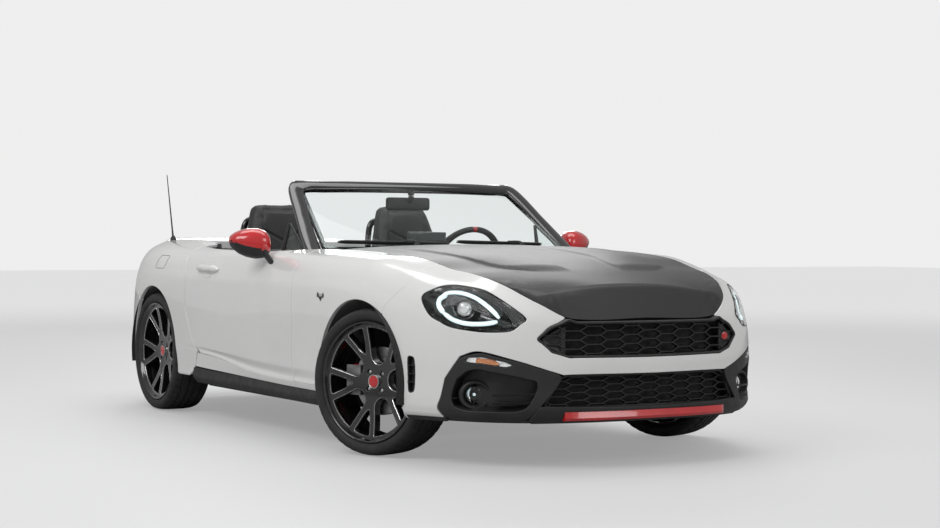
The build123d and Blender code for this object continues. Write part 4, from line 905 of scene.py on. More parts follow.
def hood_base(x, y):
    a = np.abs(y)
    top = np.interp(x, *fine(SPINE_X, SPINE_Z))
    ye, ze = np.interp(x, EDGE_X, EDGE_Y), np.interp(x, EDGE_X, EDGE_Z)
    t = np.clip(a / ye, 0, 1.1)
    upper = top - (top - ze) * t ** 2.3
    front = .583 + 1.10 * (nose_line(a) - x)
    return crease_min(upper, front, .012)


def fine(x, z):
    q = spline(np.c_[x, z], 300)
    return q[:, 0], q[:, 1]


HOOD_FIX = EDGE[:, 2] - hood_base(EDGE[:, 0], EDGE[:, 1])


def hood(x, y):
    """Height of the bonnet, the cowl and the fold at its front."""
    x, y = np.asarray(x, float), np.asarray(y, float)
    a = np.abs(y)
    z = hood_base(x, y)
    for i in range(0, len(x), 400):
        part = slice(i, i + 400)
        d = np.hypot(x[part, None] - EDGE[None, :, 0], a[part, None] - EDGE[None, :, 1])
        k = d.argmin(1)
        z[part] += HOOD_FIX[k] * np.exp(-(d[np.arange(len(k)), k] / .07) ** 1.5)
    outer, inner = curve(RIDGES[0], x), curve(RIDGES[1], x)
    rear = np.clip((x - .70) / .35, 0, 1)
    front = np.clip((1.655 - x) / .11, 0, 1)
    into = np.minimum(outer - a, a - inner)
    rise = np.clip(into / .030 + .5, 0, 1)
    mid = np.clip(into / np.maximum((outer - inner) / 2, .03), 0, 1)
    z += ease(rear) * ease(front) * (ease(rise) * .0065 + (1 - (1 - mid) ** 2) * .0055)
    return z


def drape(height, offset=0.0):
    def lift(q):
        e = 1.5e-3
        x, y = q[:, 0], q[:, 1]
        z = height(x, y)
        dx = (height(x + e, y) - height(x - e, y)) / (2 * e)
        dy = (height(x, y + e) - height(x, y - e)) / (2 * e)
        n = unit(np.c_[-dx, -dy, np.ones_like(x)])
        return np.c_[x, y, z] + offset * n, n
    return lift


def inward(line, gap):
    """A half outline in plan, moved towards the middle."""
    d = unit(np.gradient(line, axis=0))
    across = np.c_[-d[:, 1], d[:, 0]]
    return line + gap * across * (-1 if across[:, 1].sum() > 0 else 1)


half_edge = EDGE[(EDGE[:, 0] > .667) | (EDGE_S > 1)][:, :2]
half_edge = inward(half_edge, .0042)
half_edge = np.concatenate([half_edge, [[half_edge[-1, 0], 0]]])
cowl_line = np.array([(.667 - .004 * (1 - (y / .69) ** 2), y) for y in np.linspace(-.675, .675, 50)])
bonnet_loop = np.concatenate([half_edge, (half_edge * [1, -1])[::-1], cowl_line])
xs, ys = np.meshgrid(np.arange(.62, 2.0, .018), np.arange(-.70, .701, .018))
dome_grid = [np.c_[xs.ravel(), ys.ravel()]]
for ridge in RIDGES:
    line = spline(ridge, 90)
    for shift in (-.010, -.004, .004, .010):
        for side in (1, -1):
            dome_grid.append((line + [0, shift]) * [1, side])
crease_y = np.linspace(-.52, .52, 70)
crease_x = nose_line(np.abs(crease_y)) - .121
for shift in (-.02, -.01, 0, .01, .02):
    dome_grid.append(np.c_[crease_x + shift, crease_y])
bonnet_grid = np.concatenate(dome_grid)
bonnet_grid = bonnet_grid[np.unique(np.round(bonnet_grid / .004).astype(int), axis=0, return_index=True)[1]]
bonnet = sheet("bonnet_skin", [bonnet_loop], drape(hood), bonnet_grid, "matt_black_paint", "bonnet",
    depth=0.012, roll=0.002)
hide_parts("bonnet")

# ------------------------------------------------------------ grilles, inserts, splitter

FACE_LINE = skin(np.linspace(1.98, NOSE, 300), np.full(300, 5.6))


def face_x(y):
    """How far forward the nose reaches at this y."""
    return np.interp(np.abs(y), FACE_LINE[::-1, 1], FACE_LINE[::-1, 0])


def half_mouth(sv):
    p = skin(*np.asarray(sv, float).T)
    return p[:, [1, 2]]


upper_half = half_mouth(mouth)
upper_half = np.concatenate([upper_half, [[.33, .5785], [0, .5785]]])
lower_half = half_mouth(np.concatenate([run((2.579, 5.26), (2.205, 5.26), n=20),
    run((2.187, 5.15), (2.112, 2.6), n=20)]))
lower_half = np.concatenate([lower_half, [[.44, .236], [0, .236]]])


def whole(half):
    half = np.asarray(half, float)
    return np.concatenate([half, (half * [-1, 1])[::-1]])


def shrink(loop, by):
    d = unit(np.roll(loop, -1, 0) - np.roll(loop, 1, 0))
    n = np.c_[-d[:, 1], d[:, 0]]
    return loop + by * n * (1 if loop_area(loop) > 0 else -1)


def bar(a, b, width, front, back):
    """A straight strip of a grille from a to b in (y, z), that follows the nose."""
    a, b = np.asarray(a, float), np.asarray(b, float)
    n = max(2, int(np.hypot(*(b - a)) / .025) + 1)
    line = a + (b - a) * np.linspace(0, 1, n)[:, None]
    d = unit(b - a)
    side = np.array([-d[1], d[0]]) * width / 2
    rings = []
    for p in line:
        x = face_x(p[0])
        q = [(x + front - .0012, *(p + side)), (x + front, *(p + side * .45)),
            (x + front, *(p - side * .45)),
             (x + front - .0012, *(p - side)), (x + back, *(p - side * 1.3)), (x + back, *(p + side * 1.3))]
        rings.append(q)
    return solid(rings)


def clip_run(a, b, loop):
    t = np.linspace(0, 1, 33)
    p = np.asarray(a) + (np.asarray(b) - np.asarray(a)) * t[:, None]
    ok = inside(p, loop)
    if not ok.any():
        return None
    i = np.where(ok)[0]
    p = p[i.min():i.max() + 1]
    return (p[0], p[-1]) if len(p) > 4 else None


def honeycomb(loop, pitch, row, point, width, front, back, z0):
    """Long six-sided cells: pitch between columns, row between rows, and the width of the slanted part."""
    parts = []
    lo, hi = loop.min(0), loop.max(0)
    cols = int((hi[0] - lo[0]) / pitch) + 3
    rows = int((hi[1] - lo[1]) / row) + 3
    for c in range(-cols // 2, cols // 2 + 1):
        for r in range(-rows, rows):
            y = c * pitch
            z = z0 + r * row + (row / 2 if c % 2 else 0)
            flat = (pitch - point) / 2
            for a, b in (((y - flat, z), (y + flat, z)), ((y + flat, z), (y + flat + point, z + row / 2)),
                         ((y + flat, z), (y + flat + point, z - row / 2))):
                hit = clip_run(a, b, loop)
                if hit is not None:
                    parts.append(bar(*hit, width, front, back))
    return join(*parts)


def rim_strip(loop, width, front, back):
    """A raised frame just inside a loop in (y, z)."""
    rings = []
    for by, x in ((0, back), (0, front - .004), (.0015, front - .001), (.004, front),
        (width - .004, front - .001),
                  (width - .001, front - .004), (width, back)):
        q = shrink(loop, by)
        rings.append(np.c_[face_x(loop[:, 0]) + x, q])
    part = np.concatenate(rings), ring_faces(len(rings), len(loop))
    return looking(part, (1, 0, 0), 3 * len(loop))


def dark_back(loop, x):
    """A sheet of fine mesh and ducting behind an opening."""
    q = shrink(loop, .004)
    c = np.c_[face_x(q[:, 0]) + x, q]
    mid = np.array([[c[:, 0].max(), 0, q[:, 1].mean()]])
    v = np.concatenate([c, mid])
    n = len(c)
    f = [(i, (i + 1) % n, n) for i in range(n)]
    return looking((v, f), (1, 0, 0))


upper = resample(shrink(whole(upper_half), .003), 170, True)
grille_upper = piece("grille_upper", *join(
    rim_strip(upper, .011, -.006, -.045),
    honeycomb(shrink(upper, .008), .086, .0355, .030, .0048, -.016, -.034, .504)), "black_plastic", sharp=40)
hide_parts("grilles")
piece("grille_upper_back", *dark_back(upper, -.062), "carpet")
lower = resample(shrink(whole(lower_half), .002), 170, True)
piece("grille_lower", *join(
    rim_strip(lower, .010, -.012, -.050),
    honeycomb(shrink(lower, .007), .080, .030, .030, .0044, -.022, -.038, .300)), "black_plastic", sharp=40)
piece("grille_lower_back", *dark_back(lower, -.068), "carpet")
# Blank end plates of the upper grille, and the small round red boss on the car's left one.
for side, word in SIDES:
    loop = [(.372, .560), (.402, .548), (.462, .508), (.446, .478), (.380, .446), (.372, .446)]
    loop = resample(np.array(loop), 40, True)
    rings = [np.c_[face_x(loop[:, 0]) - back, shrink(loop, by) * [side, 1]]
        for by, back in ((0, .036), (.0, .024), (.002, .0215), (.006, .021), (.012, .0235), (.020, .0245))]
    v, f = loft(rings)
    piece(f"grille_plate_{word}", *outward((v, f)), "black_plastic")
boss = revolve([(0, .0), (.0, .0125), (-.0015, .0150), (-.006, .0158), (-.010, .0158)], 40, "x")
v = np.asarray(boss[0]) + [float(face_x(np.array([.405]))[0]) - .012, .405, .505]
piece("grille_boss", *outward((v, boss[1])), "red_paint")

INSERT = [(1.704, .35), (1.669, 1.83), (1.694, 3.95), (1.773, 6.22), (1.859, 6.66), (2.010, 6.18),
    (2.165, 5.30), (2.180, 5.0), (2.106, 2.94), (2.045, .35)]
insert_flat = flat_loop(INSERT)


def rounded(loop, radius, steps=5):
    """A plane outline with its corners rounded."""
    loop = np.asarray(loop, float)
    out = []
    for i in range(len(loop)):
        p, a, b = loop[i], loop[i - 1], loop[(i + 1) % len(loop)]
        r = min(radius, .45 * np.linalg.norm(a - p), .45 * np.linalg.norm(b - p))
        s, e = p + unit(a - p) * r, p + unit(b - p) * r
        for t in np.linspace(0, 1, steps):
            out.append((1 - t) ** 2 * s + 2 * t * (1 - t) * p + t * t * e)
    return np.array(out)


insert_outer = rounded(insert_flat, .030)
pocket = rounded(flat_loop([(1.735, 2.2), (1.728, 3.6), (1.800, 5.55), (1.845, 5.72), (1.985, 5.35),
    (2.098, 4.72), (2.040, 1.95), (2.0, 1.55), (1.79, 1.55)]), .028)
lamp_slot = rounded(flat_loop([(1.790, 5.98), (1.800, 6.30), (1.862, 6.44), (1.950, 6.24), (1.988, 5.98),
    (1.960, 5.82), (1.86, 6.0)]), .010)
lamp_slot = shrink(lamp_slot, -.0045)
inserts = side_panel("lamp_insert", sv_of(insert_outer), "black_plastic",
    holes=[sv_of(pocket), sv_of(lamp_slot)], offset=-.002, depth=.062, roll=.004, spacing=.008)
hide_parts("lamp_inserts")
side_panel("insert_floor", sv_of(shrink(pocket, -.004)), "black_plastic", offset=-.062, depth=.006,
    roll=.001)


def on_skin(sv, offset):
    s, v = np.asarray(sv, float).T
    n = skin_normal(s, v)
    return skin(s, v) + n * offset, n


def aimed(centre, way):
    """A call that turns a part made along x to look along way, with its middle at centre."""
    side = unit(np.cross([0, 0, 1], way))
    basis = np.stack([way, side, np.cross(way, side)])
    return lambda part, wide=1.0: (np.asarray(part[0]) * [1, wide, 1] @ basis + centre, part[1])


def skin_bar(points, radius, offset, flat=.5, n=24, sides=12):
    """A fin that follows the body surface."""
    q = spline(flat_loop(points), n)
    p, nrm = on_skin(sv_of(q), offset)
    tan = unit(np.gradient(p, axis=0))
    up_dir = unit(np.cross(nrm, tan))
    ang = angles(sides)
    rings = [p[i] + radius * (np.cos(ang)[:, None] * nrm[i] + flat * np.sin(ang)[:, None] * up_dir[i])
        for i in range(n)]
    return solid(rings)


fins = [skin_bar(pts, .020, -.022, .16) for pts in (
    [(1.905, 3.65), (1.98, 3.72), (2.075, 3.85)], [(1.905, 2.62), (1.98, 2.68), (2.062, 2.8)],
    [(1.735, 3.1), (1.757, 3.15)])]
# Fog lamp: a turned housing that looks forward, with a bowl, a lens and a ring.
aim = aimed(on_skin([(1.822, 3.55)], -.043)[0][0], unit(np.array([.93, .36, -.02])))
housing = revolve([(-.02, .058), (.004, .056), (.0075, .052), (.006, .046), (-.012, .040), (-.026, .036)],
    56, "x")
bowl = revolve([(-.026, .036), (-.030, .028), (-.038, .014), (-.040, .0)], 48, "x")
ring = revolve([(-.020, .0375), (-.013, .0365), (-.012, .0345), (-.020, .033)], 48, "x", closed=True)
lens = revolve([(-.014, .0345), (-.009, .026), (-.006, .012), (-.005, .0), (-.009, .0), (-.011, .012),
    (-.014, .025), (-.018, .0345)], 48, "x", closed=True)
bulb = revolve([(-.038, .006), (-.022, .006), (-.019, .004), (-.018, 0)], 24, "x")
both_sides([
    ("insert_fins", join(*fins), "black_plastic"),
    ("fog_housing", aim(housing, 1.12), "black_plastic"),
    ("fog_bowl", aim(bowl), "lamp_chrome"),
    ("fog_ring", aim(ring), "gloss_black_trim"),
    ("fog_lens", aim(lens), "lamp_glass"),
    ("fog_bulb", aim(bulb), "lamp_light")])
side_panel("indicator_reflector", sv_of(shrink(lamp_slot, -.001)), "lamp_chrome", offset=-.020, depth=.003,
    roll=.001, spacing=.006)
amber = rounded(flat_loop([(1.835, 6.06), (1.84, 6.32), (1.905, 6.30), (1.935, 6.0), (1.90, 5.95)]), .008)
side_panel("indicator_bulb", sv_of(amber), "amber_lamp", offset=-.010, depth=.008, roll=.002, spacing=.005)
side_panel("indicator_lens", sv_of(shrink(lamp_slot, .0015)), "lamp_glass", offset=-.002, depth=.004,
    roll=.0015, spacing=.006)

# Side vents ahead of the front wheels.
vent_flat = flat_loop(vent)
side_panel("side_vent_back", sv_of(shrink(vent_flat, -.003)), "carpet", offset=-.020, depth=.004, roll=.001,
    spacing=.006)
side_panel("side_vent_frame", sv_of(shrink(vent_flat, .0025)), "black_plastic",
    holes=[sv_of(shrink(vent_flat, .0065))], offset=-.001, depth=.020, roll=.0015, spacing=.006, back=False)
fins = [skin_bar(locate([(1.508, z), (1.530, z + .002), (1.551, z)]), .010, -.009, .26, n=8)
    for z in (.325, .358, .392)]
both_sides([("side_vent_fins", join(*fins), "black_plastic")])

# Splitter: the black lower lip between the inserts, the trays under the nose and the engine bay, and the
# red strip.
lip = end_panel("splitter_lip", 1, np.concatenate([
    run((2.579, 2.02), (2.100, 2.30), n=30), run((2.092, 2.2), (2.052, .3), n=8),
    run((2.056, 0.0), (2.579, 0.0), n=30)]),
    "black_plastic", nodes=["splitter"], offset=.004, depth=.03, roll=.004)
tray_line = skin(np.linspace(1.50, NOSE, 60), np.zeros(60))[:, :2]
tray = np.concatenate([tray_line, (tray_line * [1, -1])[::-1]])
tray = resample(tray, 160, True)
rings = [np.c_[shrink(tray, by), np.full(len(tray), z)]
    for by, z in ((.012, .199), (.004, .196), (.002, .192), (.004, .184), (.012, .181))]
piece("undertray", *solid(rings), "black_plastic")
piece("bay_tray", *block((.800, -.340, .168), (1.500, .340, .176), .002, 2), "black_plastic")
strip_y = np.linspace(-.385, .385, 60)
rings = []
for y in strip_y:
    x = float(face_x(y))
    end = min(1.0, (.386 - abs(y)) / .012 + .15)
    rings.append([(x - .022, y, .228), (x + .003 * end, y, .2265), (x + .009 * end, y, .2045),
        (x + .0095 * end, y, .2030), (x + .002 * end, y, .1925), (x - .022, y, .191)])
piece("splitter_strip", *solid(rings), "red_paint", sharp=20)
# Deflectors under the painted corners.
side_panel("corner_trim", run((1.482, .02), (1.70, .02), n=20).tolist() + run((1.70, .62), (1.485, .62),
    n=20).tolist(), "black_plastic", offset=.0015, depth=.012, roll=.0015)

# ------------------------------------------------------------ headlights

head_flat = flat_loop(HEADLIGHT)
HEAD_N = 90


def head_loft(steps):
    """A dish inside the headlight's outline, from (inset, depth) steps."""
    return [on_skin(sv_of(resample(shrink(head_flat, by), HEAD_N, True)), -off)[0] for by, off in steps]


aim_dir = unit(np.array([.90, .42, .10]))
rim_rings = head_loft([(-.0005, .006), (.003, .0065), (.006, .012), (.012, .030)])
last = rim_rings[-1]
mid = last.mean(0)
for k, deep in ((.86, .012), (.62, .022), (.34, .028)):
    rim_rings.append(mid + (last - mid) * k - aim_dir * deep)
v, f = loft(rim_rings, True, False)
v = np.concatenate([v, [mid - aim_dir * .032]])
base = (len(rim_rings) - 1) * HEAD_N
f += [(base + i, base + (i + 1) % HEAD_N, len(v) - 1) for i in range(HEAD_N)]
bucket = (v, f)
tri = np.array([v[list(o)] for o in f[-HEAD_N:]])
n_mean = np.cross(tri[:, 1] - tri[:, 0], tri[:, 2] - tri[:, 0]).sum(0)
if n_mean @ aim_dir < 0:
    bucket = (v, flipped(f))
# The light guide: a C round the projector, open at the outer rear, with its bracket.
c_line = np.array([(1.640, 9.35), (1.668, 9.70), (1.735, 9.93), (1.815, 9.95), (1.885, 9.68), (1.925, 9.33)])
c_low = np.array([(1.918, 9.10), (1.862, 8.72), (1.790, 8.45), (1.720, 8.42), (1.668, 8.60)])
c_left = np.array([(1.665, 9.55), (1.634, 9.22), (1.640, 8.86), (1.668, 8.62)])
parts = []
for line, r in ((c_line, .0088), (c_low, .0088), (c_left, .0105)):
    q = spline(flat_loop(line), 26)
    p, n = on_skin(sv_of(q), -.017)
    parts.append(outward(tube(p, np.r_[.6, .85, np.ones(22), .85, .6] * r, 12, up=tuple(n.mean(0)),
        flat=.7)))
aim = aimed(on_skin([(1.762, 9.17)], -.026)[0][0], aim_dir)
shroud = revolve([(-.03, .046), (-.004, .044), (.002, .041), (.0, .037), (-.008, .034), (-.02, .030)], 56,
    "x")
collar = revolve([(-.016, .0315), (-.004, .0305), (-.002, .0285), (-.010, .0265), (-.022, .026)], 56, "x")
lens = revolve([(-.02, .027), (-.009, .0262), (-.001, .021), (.004, .012), (.0055, .0)], 48, "x")
back_disc = revolve([(-.019, .027), (-.028, .018), (-.031, .0)], 40, "x")
head = both_sides([
    ("headlight_bucket", bucket, "gloss_black_trim"),
    ("headlight_guide", join(*parts), "lamp_light"),
    ("headlight_shroud", aim(shroud), "gloss_black_trim"),
    ("headlight_collar", aim(collar), "lamp_chrome"),
    ("headlight_projector", aim(lens), "lamp_glass"),
    ("headlight_reflector", aim(back_disc), "lamp_chrome")])[0]
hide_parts("headlights")
side_panel("headlight_lens", sv_of(shrink(head_flat, .0028)), "lamp_glass", offset=-.0008, depth=.0028,
    roll=.0012, spacing=.009)
side_panel("headlight_gasket", sv_of(shrink(head_flat, .0004)), "black_plastic",
    holes=[sv_of(shrink(head_flat, .0026))], offset=-.0022, depth=.006, roll=.0006, spacing=.009, back=False)
# The dark masked band along the lamp's upper inner side.
band = [(1.60, 9.55), (1.664, 10.0), (1.756, 10.23), (1.851, 10.36), (1.955, 10.18), (2.032, 9.80),
    (2.005, 9.25), (1.985, 9.05), (1.975, 9.45), (1.94, 9.80), (1.87, 10.07), (1.78, 10.08), (1.69, 9.86),
    (1.63, 9.52)]
band = spline(flat_loop(band), 90, True)
side_panel("headlight_mask", sv_of(band), "gloss_black_trim", offset=-.0065, depth=.004, roll=.001,
    spacing=.008)

# ------------------------------------------------------------ wheels, brakes

TREAD = [(-.080, "s"), (-.064, "s"), (-.0585, "s"), (-.0575, "g"), (-.0495, "g"), (-.0485, "r"),
    (-.034, "b"), (-.0215, "r"), (-.0205, "g"), (-.0125, "g"), (-.0115, "r"), (0, "r"), (.0115, "r"),
    (.0125, "g"), (.0205, "g"), (.0215, "r"), (.034, "b"), (.0485, "r"), (.0495, "g"), (.0575, "g"),
    (.0585, "s"), (.064, "s"), (.080, "s")]
WALL = [(.072, .2510), (.084, .2500), (.0925, .2535), (.0975, .2600), (.0990, .2615), (.1005, .2640),
    (.1020, .2720), (.1022, .2800), (.1000, .2880), (.0985, .2895), (.0968, .2925), (.0930, .2965)]


def tyre_mesh(n=240):
    """A tyre about the y axis: carcass, sidewall ribs, four grooves, and sipes cut between the blocks."""
    rows = [(-a, r, "w") for a, r in WALL]
    rows += [(a, .3048 - .055 * abs(a / .09) ** 4 * .12 - (.0068 if k == "g" else 0), k) for a, k in TREAD]
    rows += [(a, r, "w") for a, r in WALL[::-1]]
    rows += [(.070, .2470, "i"), (0, .2440, "i"), (-.070, .2470, "i")]
    ang = angles(n)
    verts = []
    for i, t in enumerate(ang):
        for a, r, k in rows:
            shift = 0 if a < 0 else 2
            cut = (i + shift) % 5 == 0
            if k == "s" and cut:
                r -= .0045
            if k == "b" and (i + 3) % 5 == 0:
                r -= .0035
            if k == "w" and r > .2955 and cut:
                r -= .003
            lean = .012 * math.cos(a / .08 * 1.2)
            verts.append((r * math.sin(t + lean), a, r * math.cos(t + lean)))
    m = len(rows)
    faces = [(k * m + i, k * m + (i + 1) % m, ((k + 1) % n) * m + (i + 1) % m, ((k + 1) % n) * m + i)
        for k in range(n) for i in range(m)]
    v = np.array(verts)
    return looking((v, faces), v[faces[20][0]] * [1, 0, 1], 20)


def dish(r):
    """How far out the spoke face lies at this radius."""
    return .049 + .026 * (r / .225) ** 2.2


def face_lift(offset=0.0, extra=None):
    def lift(q):
        r = np.hypot(q[:, 0], q[:, 1])
        a = dish(r) + (0 if extra is None else extra(q))
        slope = .026 * 2.2 * (r / .225) ** 1.2 / .225
        n = unit(np.c_[-slope * q[:, 0] / np.maximum(r, 1e-6), np.ones_like(r),
            -slope * q[:, 1] / np.maximum(r, 1e-6)])
        return np.c_[q[:, 0], a, q[:, 1]] + offset * n, n
    return lift


U_AT = [5 + 72 * k for k in range(5)]


def turn_by(angle):
    """The matrix that turns row vectors of the wheel's face by an angle in degrees."""
    t = math.radians(angle)
    return np.array([[math.cos(t), math.sin(t)], [-math.sin(t), math.cos(t)]])


def u_window(angle):
    arc = [(.1160 - .0415 * math.cos(t), .0415 * math.sin(t)) for t in np.linspace(-1.42, 1.42, 13)]
    side = [(.214, .0700)]
    outer = [(.2245 * math.cos(t), .2245 * math.sin(t)) for t in np.linspace(.305, -.305, 9)]
    return rounded(np.array(arc + side + outer + [(.214, -.0700)]), .006, 4) @ turn_by(angle)


def wedge_window(angle):
    loop = np.array([(.122, -.0050), (.122, .0050), (.150, .0190), (.214, .0415)]
                    + [(.2245 * math.cos(t), .2245 * math.sin(t)) for t in np.linspace(.180, -.180, 7)]
                    + [(.214, -.0415), (.150, -.0190)])
    return rounded(loop, .005, 4) @ turn_by(angle)


def circle(r, n=40, centre=(0, 0)):
    t = angles(n)
    return np.c_[centre[0] + r * np.cos(t), centre[1] + r * np.sin(t)]


LUGS = [(.049 * math.cos(math.radians(t)), .049 * math.sin(math.radians(t))) for t in (41, 131, 221, 311)]


def rim_parts():
    """(name, points, faces, material, normals) of a wheel, looking out along +y."""
    windows = [u_window(a) for a in U_AT] + [wedge_window(a + 36) for a in U_AT]
    holes = windows + [circle(.0135, 24, c) for c in LUGS]
    step = .0085
    gx, gy = np.meshgrid(np.arange(-.24, .241, step), np.arange(-.24, .241, step))
    grid = np.c_[gx.ravel() + (gy.ravel() / step % 2) * step / 2, gy.ravel()]
    grid = grid[np.hypot(*grid.T) < .236]

    def pockets(q):
        """Scoops beside the hub, between the spokes' roots."""
        r = np.hypot(q[:, 0], q[:, 1])
        out = np.zeros(len(q))
        for a in U_AT:
            t = math.radians(a + 36)
            along, across = q @ [math.cos(t), math.sin(t)], q @ [-math.sin(t), math.cos(t)]
            d = np.exp(-((along - .104) / .020) ** 4 - (across / .0115) ** 4)
            out -= .007 * d
        out -= .004 * np.exp(-((r - .049) / .012) ** 4)
        return out
    v, f, n = shell([circle(.233, 120)] + holes, face_lift(0, pockets), grid, depth=.032, roll=.0032,
        spacing=.006)
    parts = [("face", v, f, "wheel_alloy", n)]
    strips = []
    for w in windows:
        loop = resample(w, int(perimeter(w) / .005), True)
        rings = [face_lift(up_by, pockets)(shrink(loop, by))[0]
                 for by, up_by in ((.0012, -.0035), (-.0002, -.0006), (-.0022, .0007), (-.0030, -.0004))]
        strips.append(looking(loft(rings, True, False), (0, 1, 0), len(loop)))
    v, f = join(*strips)
    parts.append(("edges", v, f, "machined_edge", None))
    lip = revolve([(.095, .2465), (.0945, .2485), (.0915, .2490), (.088, .2455), (.080, .2450),
        (.070, .2440), (.040, .2400), (0, .2300), (-.060, .2300), (-.078, .2440), (-.090, .2455),
        (-.0945, .2485), (-.0950, .2440), (-.088, .2390), (-.070, .2360), (-.060, .2240), (0, .2230),
        (.030, .2245), (.052, .2270), (.066, .2290), (.074, .2325), (.080, .2372), (.088, .2408),
        (.0935, .2440)], 144, "y", closed=True)
    parts.append(("barrel", *outward_ring(lip), "wheel_alloy", None))
    hub = revolve([(.060, .0), (.0600, .0215), (.0592, .0235), (.0568, .0245), (.047, .0245)], 48, "y")
    parts.append(("cap", *facing(hub), "red_paint", None))
    ring = revolve([(.0575, .0247), (.0588, .0262), (.0580, .0285), (.050, .0290), (.049, .0247)], 48, "y",
        closed=True)
    parts.append(("cap_ring", *outward_ring(ring), "machined_edge", None))
    core = revolve([(.030, .0), (.030, .062), (-.004, .066), (-.010, .060), (-.010, .0)], 48, "y")
    parts.append(("hub", *facing(core), "wheel_alloy", None))
    nuts = []
    for c in LUGS:
        v, f = revolve([(.0435, .0), (.0435, .0055), (.0415, .0085), (.030, .0090)], 6, "y")
        nuts.append((np.asarray(v) + [c[0], 0, c[1]], f))
        v, f = revolve([(.0335, .009), (.0345, .0110), (.0335, .0128), (.029, .0130)], 24, "y")
        nuts.append((np.asarray(v) + [c[0], 0, c[1]], f))
    v, f = join(*[facing(n) for n in nuts])
    parts.append(("nuts", v, f, "steel", None))
    valve_t = math.radians(5 + 17)
    v, f = tube([(.222 * math.cos(valve_t), .058, .222 * math.sin(valve_t)),
        (.214 * math.cos(valve_t), .072, .214 * math.sin(valve_t)),
                 (.207 * math.cos(valve_t), .082, .207 * math.sin(valve_t))], [.0045, .004, .0035], 10)
    parts.append(("valve", *outward((v, f)), "black_plastic", None))
    return parts


def facing(part):
    """Turn a revolved skin's faces towards +y."""
    v, f = np.asarray(part[0], float), part[1]
    total = sum(np.cross(v[o[1]] - v[o[0]], v[o[2]] - v[o[0]])[1] for o in f)
    return (v, f) if total > 0 else (v, flipped(f))


def outward_ring(part):
    """Turn the faces of a closed ring about the y axis outwards, by its signed volume."""
    v, f = np.asarray(part[0], float), part[1]
    total = sum(v[o[0]] @ np.cross(v[o[i]], v[o[i + 1]]) for o in f for i in range(1, len(o) - 1))
    return (v, f) if total > 0 else (v, flipped(f))


def disc_parts():
    grooves = [(.008, .0), (.008, .060), (.0095, .064), (.0095, .0665), (.0088, .0690), (.0088, .0755),
        (.0094, .0772), (.0094, .1395), (.0086, .1408), (-.0012, .1410), (-.0020, .1370), (-.0052, .1370),
        (-.0060, .1410), (-.0146, .1408), (-.0152, .1395), (-.0152, .074), (-.0152, .05), (-.0152, 0)]
    v, f = outward_ring(revolve(grooves, 120, "y"))
    hat = outward_ring(revolve([(.0275, .0), (.0275, .062), (.026, .066), (.0105, .069), (.007, .069),
        (.007, 0)], 72, "y"))
    return (v, f), hat


def caliper_parts(way):
    """A fixed caliper round the disc's edge; way is +1 when it sits ahead of the hub."""
    def body(lo, hi, soft):
        def bend(v):
            r = np.abs(v[:, 0])
            v = v.copy()
            v[:, 0] -= way * .22 * np.abs(v[:, 2]) ** 2 / .13 * (r > .1)
            return v
        lo, hi = (np.array(lo, float), np.array(hi, float))
        if way < 0:
            lo[0], hi[0] = -hi[0], -lo[0]
        return block(lo, hi, soft, 3, bend)
    main = body((.118, -.0495, -.0640), (.1700, .0175, .0640), .010)
    cheek = body((.094, .0115, -.054), (.150, .0235, .054), .009)
    inner = body((.094, -.0500, -.056), (.150, -.0165, .056), .008)
    pots = []
    for z in (-.028, .028):
        v, f = facing(revolve([(.0268, .0), (.0268, .0155), (.0255, .0180), (.020, .0190)], 28, "y"))
        pots.append((np.asarray(v) + [way * .122, 0, z], f))
    pins = []
    for z in (-.046, .0, .046):
        pins.append(outward(tube([(way * .152, -.03, z), (way * .152, .019, z)], .0042, 12, up=(1, 0, 0))))
    return join(main, cheek, inner, *pots), join(*pins)


STEER = math.radians(21)                         # to the car's left, as in the photograph
PIVOT_OUT = .0615                                # from the steering axis out to the wheel's middle
RIM = rim_parts()
TYRE = tyre_mesh()
DISC = disc_parts()
for side, word in SIDES:
    for end, hub_x, hub_y in (("front", FRONT_AXLE, .690), ("rear", REAR_AXLE, .7515)):
        front = end == "front"

        def turn(v):
            if not front:
                return v
            c, s = math.cos(STEER), math.sin(STEER)
            return np.c_[v[:, 0] * c - v[:, 1] * s, v[:, 0] * s + v[:, 1] * c, v[:, 2]]

        def put(v):
            v = np.asarray(v, float) * [1, side, 1]
            if front:
                v = v + [0, side * PIVOT_OUT, 0]
            return turn(v) + [hub_x, side * hub_y, HUB_Z]

        def placed(part):
            return put(part[0]), part[1] if side > 0 else flipped(part[1])
        body = f"{end}_wheel_{word}"
        for name, v, f, mat, n in RIM:
            nn = None if n is None else turn(np.asarray(n) * [1, side, 1])
            obj = piece(f"{end}_rim_{word}_{name}", *placed((v, f)), mat, body, normals=nn)
            if name == "face":
                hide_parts(f"{end}_rim_{word}")
        obj = piece(f"{end}_tyre_{word}_tread", *placed(TYRE), "tyre_rubber", body, sharp=32)
        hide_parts(f"{end}_tyre_{word}")
        still = f"front_knuckle_{word}" if front else "body_shell"
        piece(f"{end}_disc_{word}", *placed(DISC[0]), "steel", still, sharp=25)
        piece(f"{end}_disc_hat_{word}", *placed(DISC[1]), "cast_alloy", still, sharp=30)
        main, pins = caliper_parts(-1 if front else 1)
        piece(f"{end}_caliper_{word}", *placed(main), "red_paint", still)
        piece(f"{end}_caliper_pins_{word}", *placed(pins), "steel", still)

